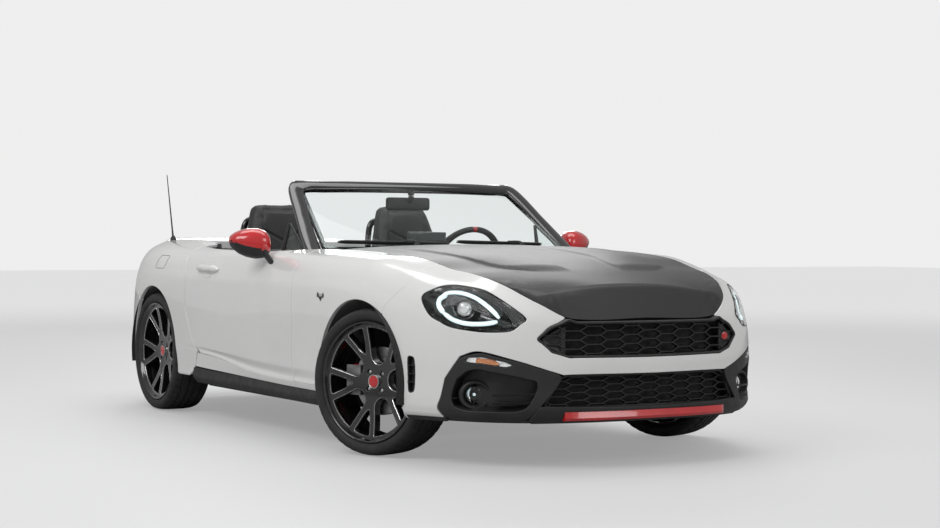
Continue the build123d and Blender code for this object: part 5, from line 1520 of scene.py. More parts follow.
# Wheel arch liners: felt-textured shells inside the arches, ahead of the bulkheads.
for xc, end in ((FRONT_AXLE, "front"), (REAR_AXLE, "rear")):
    ang = np.radians(np.linspace(-12, 192, 70))
    for side, word in SIDES:
        rings = []
        depth = (.852, .80, .70, .450) if end == "front" else (.852, .80, .70, .630)
        for y, r in zip(depth, (.338, .352, .356, .354)):
            rings.append(np.c_[xc + r * np.cos(ang), np.full(len(ang), side * y), HUB_Z + r * np.sin(ang)])
        part = loft(rings, False, False)
        first = part[0][part[1][0][0]]
        piece(f"{end}_arch_liner_{word}", *looking(part, np.array([xc, first[1], HUB_Z]) - first), "carpet")
        # The liner's inner wall, between the wheel and the engine bay or the boot.
        disc = [np.c_[xc + .350 * np.cos(ang), np.full(len(ang), side * (depth[-1] + dy)),
            HUB_Z + .350 * np.sin(ang)] for dy in (-.003, .003)]
        piece(f"{end}_arch_wall_{word}", *solid(disc), "carpet")

# ------------------------------------------------------------ windscreen, mirrors, handles

half_path = np.array([(.470, .690, .790), (.385, .684, .835), (.285, .668, .905), (.165, .642, .998),
    (.060, .617, 1.080), (.000, .592, 1.126), (-.018, .545, 1.142), (-.012, .46, 1.147), (.000, .30, 1.150),
    (.006, .12, 1.151)])
frame_path = spline(np.concatenate([half_path, [(.007, 0, 1.151)], (half_path * [1, -1, 1])[::-1]]), 121)
reach = np.abs(frame_path[:, 1])
wide = np.interp(reach, [0, .45, .57, .60, .64, .69], [.050, .050, .044, .038, .034, .040])
screen_normal = np.array([.66, 0, .75])
v, f = outward(tube(frame_path, wide, 20, up=tuple(screen_normal), flat=.42, square=.72))
v[:, 2] = np.clip(v[:, 2], None, 1.1655)
screen = piece("windscreen_surround", v, f, "gloss_black_trim", sharp=60)
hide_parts("windscreen_frame")


def glass_point(y, t):
    """The windscreen, y across and t from its foot to its top."""
    low = np.c_[.515 - .105 * (y / .66) ** 2, y, np.full_like(y, .842)]
    top = np.c_[.038 - .055 * (y / .575) ** 2, y * .875, np.full_like(y, 1.136)]
    p = low + (top - low) * t[:, None]
    return p + np.c_[.66 * np.ones_like(y), 0 * y,
        .75 * np.ones_like(y)] * (.016 * np.sin(np.pi * t) * (1 - (y / .66) ** 2))[:, None]


def glass_lift(offset=0.0):
    def lift(q):
        y, t = q[:, 0], q[:, 1] / .57
        e = 1e-3
        n = unit(np.cross(glass_point(y + e, t) - glass_point(y - e, t),
            glass_point(y, t + e) - glass_point(y, t - e)))
        n = n * np.sign(n @ screen_normal)[:, None]
        return glass_point(y, t) + offset * n, n
    return lift


gy, gt = np.meshgrid(np.linspace(-.64, .64, 44), np.linspace(.0, .57, 24))
glass_grid = np.c_[gy.ravel(), gt.ravel()]
glass_loop = rounded([(-.655, .0), (.655, .0), (.655, .57), (-.655, .57)], .03)
glass = sheet("windscreen_pane", [glass_loop], glass_lift(), glass_grid, "clear_glass", depth=.0045,
    roll=.001, spacing=.02)
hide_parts("windscreen_glass")
frit = rounded([(-.628, .030), (.628, .030), (.628, .545), (-.628, .545)], .045)
sheet("windscreen_band", [shrink(glass_loop, .002), frit], glass_lift(-.0052), glass_grid,
    "gloss_black_trim", depth=.0008,
      roll=.0002, spacing=.02)

# Cowl: the slotted black panel between the bonnet and the glass. It ends short of the bonnet's rear edge,
# which swings back and down there when the bonnet opens.


def cowl_height(x, y):
    return hood(np.maximum(x, .60), y) - .012 - np.clip((.60 - x) * .12, 0, .02)


def cowl_z(x, y):
    return float(cowl_height(np.array([x]), np.array([y]))[0])


cowl_front = np.array([(.630 - .004 * (1 - (y / .69) ** 2), y) for y in np.linspace(-.665, .665, 40)])
cowl_back = np.array([(.470 - .115 * (y / .66) ** 2, y) for y in np.linspace(.640, -.640, 40)])
cx, cy = np.meshgrid(np.arange(.36, .68, .022), np.arange(-.66, .661, .022))
sheet("cowl_panel", [np.concatenate([cowl_front, cowl_back])], drape(cowl_height),
    np.c_[cx.ravel(), cy.ravel()],
      "black_plastic", depth=.006, roll=.002)
slots = []
for y in np.arange(-.36, .561, .022):
    x0 = .585 - .09 * (y / .66) ** 2
    z = cowl_z(x0, y)
    slots.append(block((x0 - .022, y - .0035, z - .003), (x0 + .022, y + .0035, z + .0035), .002, 2))
piece("cowl_grille", *join(*slots), "black_plastic")
# Painted corners between the wing tops and the pillars.
s = np.linspace(.30, .500, 14)
top = skin(s, np.full(14, 10.96))
rings = []
for inset, drop in ((0, -.003), (.004, .0), (.030, .003), (.060, -.004), (.064, -.012), (.0, -.016)):
    rings.append(top + [0, -inset, drop - .001])
both_sides([("pillar_foot", solid(rings, False, False), "gloss_black_trim")])

# Wipers.
for k, (pivot, tip_y, start_y) in enumerate((((.575, .30), .02, .50), ((.575, -.26), -.56, -.05))):
    ys = np.linspace(start_y, tip_y - .02, 22)
    t = np.linspace(.055, .085, 22)
    line = glass_lift(.010)(np.c_[ys, t * .57])[0]
    blade = tube(line, np.r_[.4, .8, np.ones(18), .8, .4] * .0062, 8, up=tuple(screen_normal), flat=1.4)
    spine = tube(line + screen_normal * .009, np.r_[.5, np.ones(20), .5] * .0045, 8, up=tuple(screen_normal),
        flat=.7)
    px, py = pivot
    pz = cowl_z(px, py)
    mid = line[9] + screen_normal * .016
    arm = tube(spline([(px, py, pz + .012), (px - .01, py + (mid[1] - py) * .25, pz + .030), mid], 16),
        np.linspace(.0085, .0045, 16), 8, flat=.6)
    cap = revolve([(.022, 0), (.022, .009), (.018, .013), (-.006, .015)], 28, "z", centre=(px, py, pz))
    piece(f"wiper_{k + 1}", *join(outward(blade), outward(spine), outward(arm), outward(cap)),
        "black_plastic", sharp=50)

# Interior mirror and its stalk.
mirror_body = block((-.010, -.118, 1.030), (.024, .118, 1.092), .014, 4)
piece("inner_mirror", *mirror_body, "interior_plastic")
piece("inner_mirror_glass", *block((-.0125, -.108, 1.038), (-.0095, .108, 1.084), .0014, 2), "lamp_chrome")
stalk = tube(spline([(.020, 0, 1.068), (.040, 0, 1.092), (.036, 0, 1.128)], 14), np.linspace(.011, .017, 14),
    14)
piece("inner_mirror_stalk", *outward(stalk), "interior_plastic")

# Door mirrors: a turned-over pod with a red cap, a black lower shell, a glass and a black foot on the door.
POD = [(.808, .50, .046, .046, .862), (.816, .80, .058, .058, .864), (.834, .96, .064, .067, .866),
    (.862, 1.0, .066, .070, .868), (.895, 1.0, .064, .066, .871), (.928, 1.0, .057, .055, .874),
    (.952, 1.0, .047, .041, .877), (.970, 1.0, .034, .025, .880), (.979, 1.0, .018, .011, .882)]
for side, word in SIDES:
    rings = []
    for y, k, deep, tall, zc in POD:
        ring = []
        for t in np.linspace(0, 2 * np.pi, 40, endpoint=False):
            cs, sn = math.cos(t), math.sin(t)
            x = deep * np.sign(cs) * abs(cs) ** (.85 if cs > 0 else .35)
            z = tall * np.sign(sn) * abs(sn) ** .75
            x = x if cs > 0 else x * .85
            z -= .010 * (cs > 0) * cs * np.sign(sn) * 0.6
            ring.append((.160 + x * k - .26 * (y - .806), y * side, zc + z * (k if k < 1 else 1)))
        rings.append(ring)
    v, f = solid(rings)
    mids = np.array([np.mean([v[i] for i in o], 0) for o in f])
    edge = .826 + .28 * (np.abs(mids[:, 1]) - .806)
    red = [o for o, m, e in zip(f, mids, edge) if m[2] > e]
    black = [o for o, m, e in zip(f, mids, edge) if m[2] <= e]
    obj = piece(f"mirror_pod_{word}", v, [red, black], ["red_paint", "black_plastic"], f"door_{word}",
        sharp=60)
    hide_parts(f"mirror_{word}")
    loop = rounded([(.826, .828), (.930, .852), (.944, .882), (.905, .914), (.828, .914)], .018, 6)
    x = .1015 - .26 * (loop[:, 0] - .806)
    rings = [np.c_[x + dx, shrink(loop, by)] * [1, side, 1]
        for by, dx in ((0, .004), (0, -.001), (.002, -.0022))]
    piece(f"mirror_glass_{word}", *solid(rings), "lamp_chrome", f"door_{word}")
    foot = []
    for t, (x, y, z, a, b) in enumerate([(.215, .802, .752, .034, .010), (.212, .812, .775, .030, .012),
        (.200, .826, .800, .027, .014), (.186, .838, .822, .029, .017), (.178, .846, .840, .034, .020)]):
        ang = angles(20)
        foot.append(np.c_[x + a * np.cos(ang), np.full(20, side * y) + side * b * np.sin(ang) * .9,
            z + .25 * b * np.sin(ang) * (t == 0)])
    piece(f"mirror_foot_{word}", *solid(foot), "black_plastic", f"door_{word}")

    # Quarter window and its black upright behind the pillar.
    tri = np.array([(.315, .832), (.090, .834), (.104, .962)])
    tri = rounded(tri, .008, 4)
    y_of = np.interp(tri[:, 1], [.83, .97], [.700, .672])
    rings = [np.c_[shrink(tri, by)[:, 0], side * (y_of + dy), shrink(tri, by)[:, 1]]
        for by, dy in ((.0, -.002), (.0, .002))]
    piece(f"quarter_glass_{word}", *solid(rings), "clear_glass", f"door_{word}")
    edge = np.c_[tri[:, 0], side * y_of, tri[:, 1]]
    edge = resample(edge, 60, True)
    piece(f"quarter_frame_{word}", *outward_ring(tube(edge, .0055, 8, up=(0, 1, 0), closed=True)),
        "black_plastic", f"door_{word}")
    post = tube([(.084, side * .701, .828), (.092, side * .689, .895), (.100, side * .674, .962)],
        [.011, .009, .007], 12, up=(1, 0, 0), flat=1.4)
    piece(f"quarter_post_{word}", *outward(post), "black_plastic", f"door_{word}")

    # Door handle: a bowl pressed into the skin and a bar across it.
    centre, nrm = on_skin(locate([(-.468, .733)]), 0)
    c0, n0 = centre[0] * [1, side, 1], nrm[0] * [1, side, 1]
    bar_pts = []
    for x in np.linspace(-.590, -.350, 20):
        p = on_skin(locate([(x, .741 if x < -.5 else .739)]), .021)[0][0]
        bar_pts.append(p * [1, side, 1])
    bar_pts = np.array(bar_pts)
    lift_in = np.interp(np.arange(20), [0, 1, 3, 16, 18, 19], [-.017, -.011, 0, 0, -.011, -.017])
    bar_pts += lift_in[:, None] * n0
    bar_r = np.interp(np.arange(20), [0, 1, 3, 10, 16, 18, 19],
        [.006, .011, .0145, .0160, .0145, .011, .006])
    piece(f"handle_bar_{word}", *outward(tube(bar_pts, bar_r, 14, up=tuple(n0), flat=.62)), "body_paint",
        f"door_{word}")
    bowl = []
    x_ax = unit(np.cross([0, 0, 1], n0))
    z_ax = np.cross(n0, x_ax)
    for r, off in ((.046, .0006), (.043, .0014), (.036, .0010), (.030, .0008)):
        t = angles(40)
        bowl.append(c0 + n0 * off + r * 1.25 * np.cos(t)[:, None] * x_ax + r * .82 * np.sin(t)[:,
            None] * z_ax)
    v, f = loft(bowl, True, False)
    f.append(tuple(range(3 * 40, 4 * 40)))
    piece(f"handle_bowl_{word}", *looking((v, f), n0), "body_paint", f"door_{word}")

    # Side marker: a small three-cornered lens in a frame behind the front arch.
    tri = rounded(flat_loop(locate([(.852, .657), (.782, .657), (.822, .622)])), .004, 4)
    for name, by, off, mat in (("frame", 0, .0010, "lamp_chrome"),
        ("lens", .0055, .0022, "gloss_black_trim")):
        q = shrink(tri, by)
        rings = [on_skin(sv_of(resample(shrink(q, k), 36, True)), off - d)[0]
            for k, d in ((-.0005, .004), (0, .0012), (.0012, 0), (.004, 0))]
        v, f = loft(rings)
        v = v * [1, side, 1]
        piece(f"side_marker_{name}_{word}", *outward((v, f)), mat)

# ------------------------------------------------------------ rear: deck, boot lid, lamps, bumper, diffuser


DECK_Z = .8735                                   # height of the painted top on the car's middle


def deck(x, y):
    """Height of the painted top behind the cabin."""
    x, y = np.asarray(x, float), np.asarray(y, float)
    ex, ey, ez = REAR_EDGE[np.argsort(REAR_EDGE[:, 0])].T
    near = ex > -EDGE_TURN
    ye, ze = np.interp(x, ex[near], ey[near]), np.interp(x, ex[near], ez[near])
    return DECK_Z + (ze - DECK_Z) * np.clip(np.abs(y) / ye, 0, 1.05) ** 3


def grid_of(x0, x1, y0, y1, step=.024):
    a, b = np.meshgrid(np.arange(x0, x1, step), np.arange(y0, y1, step))
    return np.c_[a.ravel(), b.ravel()]


edge_line = REAR_EDGE[:, :2][(REAR_EDGE[:, 0] < -.815) & (REAR_EDGE[:, 1] > LID_Y + .004)]
strip = np.concatenate([edge_line[::6] - [0, .001], [(edge_line[-1, 0], LID_Y + .004)],
    [(-1.20, LID_Y + .008), (-.90, .600), (-.83, .645), (-.816, .715)]])
v, f, n = shell([strip], drape(deck), grid_of(-1.95, -.8, .58, .80), depth=.014, roll=.002)
for side, word in SIDES:
    piece(f"quarter_top_{word}", *on_side(side)((v, f)), "body_paint", normals=n * [1, side, 1])
lid_front = -1.307
back_edge = REAR_EDGE[:, :2][(REAR_EDGE[:, 0] < -1.4) & (REAR_EDGE[:, 1] < LID_Y)][::4]
lid_half = np.concatenate([[(lid_front, 0), (lid_front, LID_Y - .02), (lid_front - .02, LID_Y)],
    [(back_edge[0, 0] + .001, LID_Y)], back_edge[1:], [(back_edge[-1, 0], 0)]])
lid_loop = np.concatenate([lid_half, (lid_half * [1, -1])[::-1]])


def lid_height(x, y):
    z = deck(x, y)
    return z + .006 * np.exp(-((x + 1.87) / .05) ** 2) + .004 * np.exp(-((np.abs(y) - .40) / .05) ** 2)


lid = sheet("boot_lid_top", [lid_loop], drape(lid_height), grid_of(-1.95, -1.3, -.6, .6), "body_paint",
    "boot_lid",
            depth=.013, roll=.002)
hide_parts("boot_lid")
lid_down = locate([(LID_Y - .003, z) for z in (.86, .82, .78, .74, .70, .672)], 1, -1)
lid_low = locate([(y, .664) for y in np.linspace(LID_Y - .012, .02, 24)], 1, -1)
face_half = np.concatenate([run((TAIL, 10.92), (lid_down[0, 0], 10.92), n=24), lid_down, lid_low,
    [(TAIL, lid_low[-1, 1])]])
end_panel("boot_lid_face", -1, face_half, "body_paint", body="boot_lid", depth=.013, roll=.003)
# The lip along the boot lid's rear edge, with the high brake lamp in it.
lip_s = np.linspace(TAIL, lid_down[0, 0], 40)
line = skin(lip_s, np.full(40, TOP))
line = np.concatenate([(line * [1, -1, 1])[::-1], line[1:]])
fade = np.clip((LID_Y + .004 - np.abs(line[:, 1])) / .10, .05, 1) ** .6
tan = unit(np.gradient(line, axis=0))
out_dir = unit(np.cross(tan, [0, 0, 1]))
out_dir *= np.sign(-out_dir[:, :1])
rings = [[line[i] + out_dir[i] * a * fade[i] + [0, 0, b * fade[i] - .001] for a, b in
          ((-.075, .001), (-.045, .006), (-.012, .0155), (.008, .0205), (.014, .0195), (.013, .012),
              (.004, -.004), (-.012, -.012), (-.075, -.006))] for i in range(len(line))]
piece("boot_lip", *solid(rings), "body_paint", "boot_lid", sharp=60)
rings = []
for y in np.linspace(-.13, .13, 24):
    x = float(np.interp(abs(y), line[39:, 1], line[39:, 0]))
    k = 1 - .6 * (abs(y) / .13) ** 8
    rings.append([(x - .0125, y, .875 + .016 * k), (x - .0150, y, .875 + .014 * k),
        (x - .0148, y, .875 + .009 * k), (x - .004, y, .883)])
piece("brake_lamp_high", *solid(rings), "tail_lamp", "boot_lid")

# Painted panel ahead of the boot lid, over the rear deck, and the black well behind the seats.
front_deck = rounded([(-1.205, -.588), (-1.205, .588), (-1.299, .588), (-1.299, -.588)], .012, 4)
obj = sheet("deck_panel", [front_deck], drape(deck), grid_of(-1.30, -1.2, -.59, .59), "body_paint",
    depth=.05, roll=.006)
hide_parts("rear_deck")
for side, word in SIDES:
    xs = np.linspace(-1.30, -.83, 24)
    y = .5955 + .05 * np.clip((xs + .90) / .07, 0, 1) ** 2
    rings = [np.c_[xs, side * (y + dy), np.full(24, z)]
        for z, dy in ((.864, .004), (.858, -.001), (.80, -.003), (.66, -.002), (.50, .0), (.42, .002))]
    piece(f"rear_well_side_{word}", *looking(loft(rings, False, False), (0, -side, 0)), "interior_plastic")

# Shut faces: painted walls inside the door gaps.


def shut_wall(name, line, y_in, deep, look):
    """look is +1 for a wall that faces forward and -1 for one that faces back."""
    p = on_skin(line, -deep)[0]
    q = np.c_[p[:, 0], np.full(len(p), y_in), p[:, 2]]
    part = looking(loft([p, (p + q) / 2, q], False, False), (look, 0, 0))
    both_sides([(name, part, "body_paint")])


shut_wall("shut_face_rear", np.concatenate([shut(DOOR_REAR, -.0065), [(-.575, 3.1)]]), .655, .012, 1)
shut_wall("shut_face_front", np.concatenate([shut(DOOR_FRONT, .0065), [(.500, 10.6)]]), .655, .012, -1)

# Tail lamps.
lamp_loop = np.concatenate([
    locate([(LID_Y + .008, .767), (.64, .7665), (.70, .765), (.745, .763)], 1, -1),
    locate([(-1.664, .760), (-1.652, .745), (-1.648, .70), (-1.652, .668)]),
    locate([(.745, .664), (.70, .663), (.64, .663), (LID_Y + .008, .663)], 1, -1)])
lamp_flat = flat_loop(lamp_loop)
lens = side_panel("tail_lamp_lens", sv_of(lamp_flat), "tail_lamp", offset=.0, depth=.006, roll=.003,
    spacing=.008)
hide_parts("tail_lights")
side_panel("tail_lamp_case", sv_of(shrink(lamp_flat, -.002)), "black_plastic", offset=-.012, depth=.02,
    roll=.001, spacing=.010)
path = locate(rounded([(.612, .690), (.735, .692), (.735, .740), (.612, .740)], .02, 6), 1, -1)
hoop = tube(resample(on_skin(path, .0025)[0], 60, True), .0048, 10, up=(-1, .3, 0), closed=True, flat=.8)
bits = []
for y in np.linspace(.628, .718, 5):
    p, n = on_skin(locate([(y, .715)], 1, -1), .001)
    v, f = revolve([(.0045, 0), (.0040, .006), (.0, .0078)], 20, "x")
    v = np.asarray(v) * [-1, 1, 1] + p[0]
    bits.append((v, f))
both_sides([
    ("tail_lamp_ring", outward_ring(hoop), "lamp_light"),
    ("tail_lamp_cells", join(*[outward(b) for b in bits]), "lamp_chrome")])

# Rear bumper.
top_line = locate([(y, .655) for y in np.linspace(.02, .745, 24)], 1, -1)
low_out = locate([(.500, .205)], 1, -1)[0]
diff_side = locate([(.505, .24), (.485, .33)], 1, -1)
half = np.concatenate([
    [(TAIL, top_line[0, 1])], top_line, rear_seam[::-1] - [0, .10], arch(REAR_AXLE, rear_top, 196, n=40),
    locate([(-1.505, .215)]), run((-1.56, .1), (low_out[0], .1), n=24), diff_side,
    run(diff_side[1], (TAIL, diff_side[1, 1]), n=20)])
end_panel("rear_bumper_skin", -1, half, "body_paint", nodes=["rear_bumper"], depth=.016, roll=.003)
# Plate recess with a blank plate, and the reflectors low at the corners.
plate_mid = skin([TAIL] * 5, locate([(.05, z) for z in (.500, .530, .560, .590, .620)], 1, -1)[:,
    1]).min(axis=0)
rings = []
loop = rounded([(-.272, .498), (.272, .498), (.272, .622), (-.272, .622)], .012, 5)
for by, dx in ((0, .030), (0, -.0045), (.002, -.0062), (.008, -.0062), (.010, -.0045), (.010, -.001)):
    rings.append(np.c_[np.full(len(loop), plate_mid[0] + dx), shrink(loop, by)])
piece("plate_frame", *solid(rings), "black_plastic", sharp=30)
loop = rounded([(-.259, .505), (.259, .505), (.259, .615), (-.259, .615)], .009, 5)
rings = [np.c_[np.full(len(loop), plate_mid[0] + dx), shrink(loop, by)]
    for by, dx in ((0, -.001), (0, -.0045), (.0012, -.0052), (.006, -.0052))]
piece("plate_blank", *solid(rings), "body_paint", sharp=30)
side_panel("rear_reflector", sv_of(rounded(flat_loop(locate([(.600, .395), (.720, .395), (.712, .425),
    (.602, .425)], 1, -1)), .006, 4)), "tail_lamp", offset=.0025, depth=.006, roll=.0015, spacing=.006)

# Diffuser with fins, and the exhaust tips.
d_half = np.concatenate([
    run((TAIL, diff_side[1, 1] - .12), (diff_side[1, 0], diff_side[1, 1] - .12), n=20),
    locate([(.500, .24), (.495, .212)], 1, -1), run((low_out[0] - .006, .25), (TAIL, .25), n=20)])
end_panel("diffuser_frame", -1, d_half, "black_plastic",
    holes=[locate(rounded([(.283, .222), (.474, .222), (.474, .300), (.283, .300)], .036, 8), 1, -1)],
    nodes=["rear_diffuser"], offset=-.001, depth=.05, roll=.004)
fins = []
for y in (-.21, -.14, -.07, 0, .07, .14, .21):
    x = plate_mid[0] + .004
    fins.append(block((x - .016, y - .0045, .206), (x + .045, y + .0045, .318), .004, 3,
        lambda v, x=x: np.c_[v[:, 0] + .10 * (v[:, 2] - .206).clip(0) * (v[:, 0] < x + .02), v[:, 1:]]))
piece("diffuser_fins", *join(*fins), "black_plastic")
wall = block((-1.905, -.495, .215), (-1.890, .495, .325), .004)
piece("diffuser_back", *wall, "black_plastic")
tips = []
for y in (-.43, -.33, .33, .43):
    v, f = revolve([(-1.84, .0395), (-1.970, .0395), (-1.981, .0400), (-1.985, .0412), (-1.9865, .0400),
        (-1.984, .0372), (-1.972, .0352), (-1.90, .0335)], 56, "x", centre=(0, y, .235))
    tips.append(outward((v, f), (-1.93, y, .235)))
piece("exhaust_tips", *join(*tips), "stainless", sharp=40)

# Aerial on its base.
base = revolve([(.028, 0), (.026, .006), (.016, .012), (.006, .0165), (-.006, .018)], 32, "z",
    centre=(-1.4975, -.62, .878))
mast = tube([(-1.4975, -.62, .880), (-1.511, -.62, .935), (-1.592, -.62, 1.233)], [.0065, .0042, .0022], 14,
    up=(0, 1, 0))
obj = piece("aerial_mast", *join(outward(base), outward(mast)), "black_plastic")
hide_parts("aerial")

# Seam of the fuel flap on the right rear quarter.
flap = rounded(flat_loop(locate([(-1.16, .735), (-1.03, .735), (-1.03, .80), (-1.16, .80)])), .018, 6)
p, n = on_skin(sv_of(resample(flap, 70, True)), .0004)
line = outward_ring(tube(p * [1, -1, 1], .0011, 6, up=(0, 1, 0), closed=True, flat=.5))
piece("fuel_flap_line", *line, "black_plastic")

# ------------------------------------------------------------ cabin


def soft_ring(half, low, high, n=44, square=.55):
    """A rounded cross-section: y across, z from low to high(y)."""
    out = []
    for t in angles(n):
        cs, sn = math.cos(t), math.sin(t)
        y = half * np.sign(cs) * abs(cs) ** square
        k = np.sign(sn) * abs(sn) ** square
        top = high(y)
        out.append((y, (top + low) / 2 + k * (top - low) / 2))
    return np.array(out)


def puff(name, part, pressure, cap, voxel=.0075):
    """A stuffed piece: the mesh is remeshed and blown up a little by cloth simulation, and each point's
    move is capped."""
    obj = shown(name, mesh_of(name, *part))
    remesh = obj.modifiers.new("remesh", "REMESH")
    remesh.mode, remesh.voxel_size = "VOXEL", voxel
    graph = bpy.context.evaluated_depsgraph_get()
    mesh = bpy.data.meshes.new_from_object(obj.evaluated_get(graph))
    obj.modifiers.clear()
    obj.data = mesh
    rest = np.array([p.co for p in mesh.vertices])
    cloth = obj.modifiers.new("cloth", "CLOTH")
    cloth.settings.use_pressure = True
    cloth.settings.uniform_pressure_force = pressure
    cloth.settings.effector_weights.gravity = 0
    cloth.settings.quality = 4
    cloth.settings.mass = .25
    cloth.settings.tension_stiffness = 18
    cloth.settings.bending_stiffness = 1.2
    scene = bpy.context.scene
    for k in range(1, 17):
        scene.frame_set(k)
    graph = bpy.context.evaluated_depsgraph_get()
    blown = np.array([p.co for p in obj.evaluated_get(graph).to_mesh().vertices])
    obj.modifiers.clear()
    scene.frame_set(1)
    move = blown - rest
    size = np.linalg.norm(move, axis=1, keepdims=True)
    rest = rest + move * np.minimum(1, cap / np.maximum(size, 1e-9))
    faces = [tuple(p.vertices) for p in mesh.polygons]
    bpy.data.objects.remove(obj)
    return rest, faces


def relax(v, f, times=3):
    edges = np.array([(a, b) for o in f for a, b in zip(o, o[1:] + o[:1])])
    for _ in range(times):
        total, count = np.zeros_like(v), np.zeros(len(v))
        np.add.at(total, edges[:, 0], v[edges[:, 1]])
        np.add.at(count, edges[:, 0], 1)
        v = v * .5 + .5 * total / np.maximum(count, 1)[:, None]
    return v


# Seat cushion and back, made once on the car's middle and put in place at y = +-0.36.
SEAT_Y = .36


def cushion_part():
    rings = []
    for x, top, low, half in [(-.640, .300, .215, .170), (-.625, .335, .185, .192), (-.58, .352, .175, .200),
        (-.45, .350, .172, .202), (-.30, .358, .172, .203), (-.18, .370, .175, .202),
        (-.120, .374, .185, .196), (-.092, .360, .205, .185), (-.080, .325, .235, .165)]:
        bolster = np.interp(x, [-.62, -.5, -.2, -.09], [.030, .042, .034, .008])

        def high(y, top=top, bolster=bolster):
            return top + bolster * np.exp(-((abs(y) - .170) / .034) ** 2)
        q = soft_ring(half, low, high)
        rings.append(np.c_[np.full(len(q), x), q])
    return solid(rings)


BACK_AXIS = unit(np.array([-.222, 0, .975]))
BACK_FACE = unit(np.array([.975, 0, .222]))
BACK_ROOT = np.array([-.575, 0, .335])


def back_part():
    rings = []
    for h, half, front, rear in [(-.06, .150, .040, -.050), (-.045, .178, .058, -.062),
        (0, .192, .070, -.066), (.15, .198, .066, -.066), (.30, .204, .056, -.064), (.42, .204, .048, -.060),
        (.52, .196, .046, -.056), (.59, .182, .048, -.054), (.65, .165, .050, -.052),
        (.70, .150, .048, -.050), (.735, .136, .036, -.044), (.752, .112, .018, -.032)]:
        bolster = np.interp(h, [-.05, .1, .40, .52, .60, .70], [.014, .040, .040, .028, .020, .006])
        ridge = min(.165, half - .034)
        ring = []
        for t in angles(44):
            cs, sn = math.cos(t), math.sin(t)
            y = half * np.sign(cs) * abs(cs) ** .55
            k = np.sign(sn) * abs(sn) ** .55
            out = front + bolster * math.exp(-((abs(y) - ridge) / .034) ** 2)
            depth = (out + rear) / 2 + k * (out - rear) / 2
            ring.append(BACK_ROOT + BACK_AXIS * h + BACK_FACE * depth + [0, y, 0])
        rings.append(ring)
    return solid(rings)


def grooved(v, f, lines, depth, width):
    """Press sewn channels into a soft mesh. lines(v) yields each seam's distance and strength at every
    point."""
    n = vertex_normals(v, f)
    press = np.zeros(len(v))
    for d, k in lines(v):
        press = np.maximum(press, k * np.exp(-(d / width) ** 2))
    return v - n * (press * depth)[:, None]


def vertex_normals(v, f):
    n = np.zeros_like(v)
    quads = np.array([o if len(o) == 4 else (*o, o[-1]) for o in f])
    a = np.cross(v[quads[:, 2]] - v[quads[:, 0]], v[quads[:, 3]] - v[quads[:, 1]])
    for k in range(4):
        np.add.at(n, quads[:, k], a)
    return unit(n)


cushion_v, cushion_f = puff("cushion", cushion_part(), 3.2, .010)
cushion_v = relax(cushion_v, cushion_f, 3)
back_v, back_f = puff("back", back_part(), 3.2, .010)
back_v = relax(back_v, back_f, 3)


def cushion_lines(v):
    up_face = np.clip((v[:, 2] - .30) / .03, 0, 1)
    inner = np.clip((.128 - np.abs(v[:, 1])) / .006, 0, 1)
    yield np.abs(np.abs(v[:, 1]) - .127), up_face * np.clip((-.10 - v[:, 0]) / .01 + 1, 0, 1)
    for x in (-.53, -.455, -.38, -.305, -.23):
        yield np.abs(v[:, 0] - x), .75 * up_face * inner
    yield np.abs(v[:, 0] + .150) * .9, up_face * inner
    yield np.abs(v[:, 2] - .262), np.ones(len(v)) * .9


def back_lines(v):
    h = (v - BACK_ROOT) @ BACK_AXIS
    out = (v - BACK_ROOT) @ BACK_FACE
    face = np.clip((out - .015) / .02, 0, 1)
    edge = np.interp(h, [.40, .52, .60, .70, .74], [.124, .122, .110, .094, .084])
    inner = np.clip((edge - np.abs(v[:, 1])) / .006, 0, 1)
    yield np.abs(np.abs(v[:, 1]) - edge), face * np.clip((.716 - h) / .01, 0, 1)
    for y in (.08, .155, .23, .305):
        yield np.abs(h - y), .75 * face * inner
    yield np.abs(h - .392), face * inner
    yield np.abs(h - .545 - .5 * np.abs(v[:, 1])), face * inner
    yield np.abs(h - .712), face * inner
    yield np.abs(out + .002), np.ones(len(v)) * .8


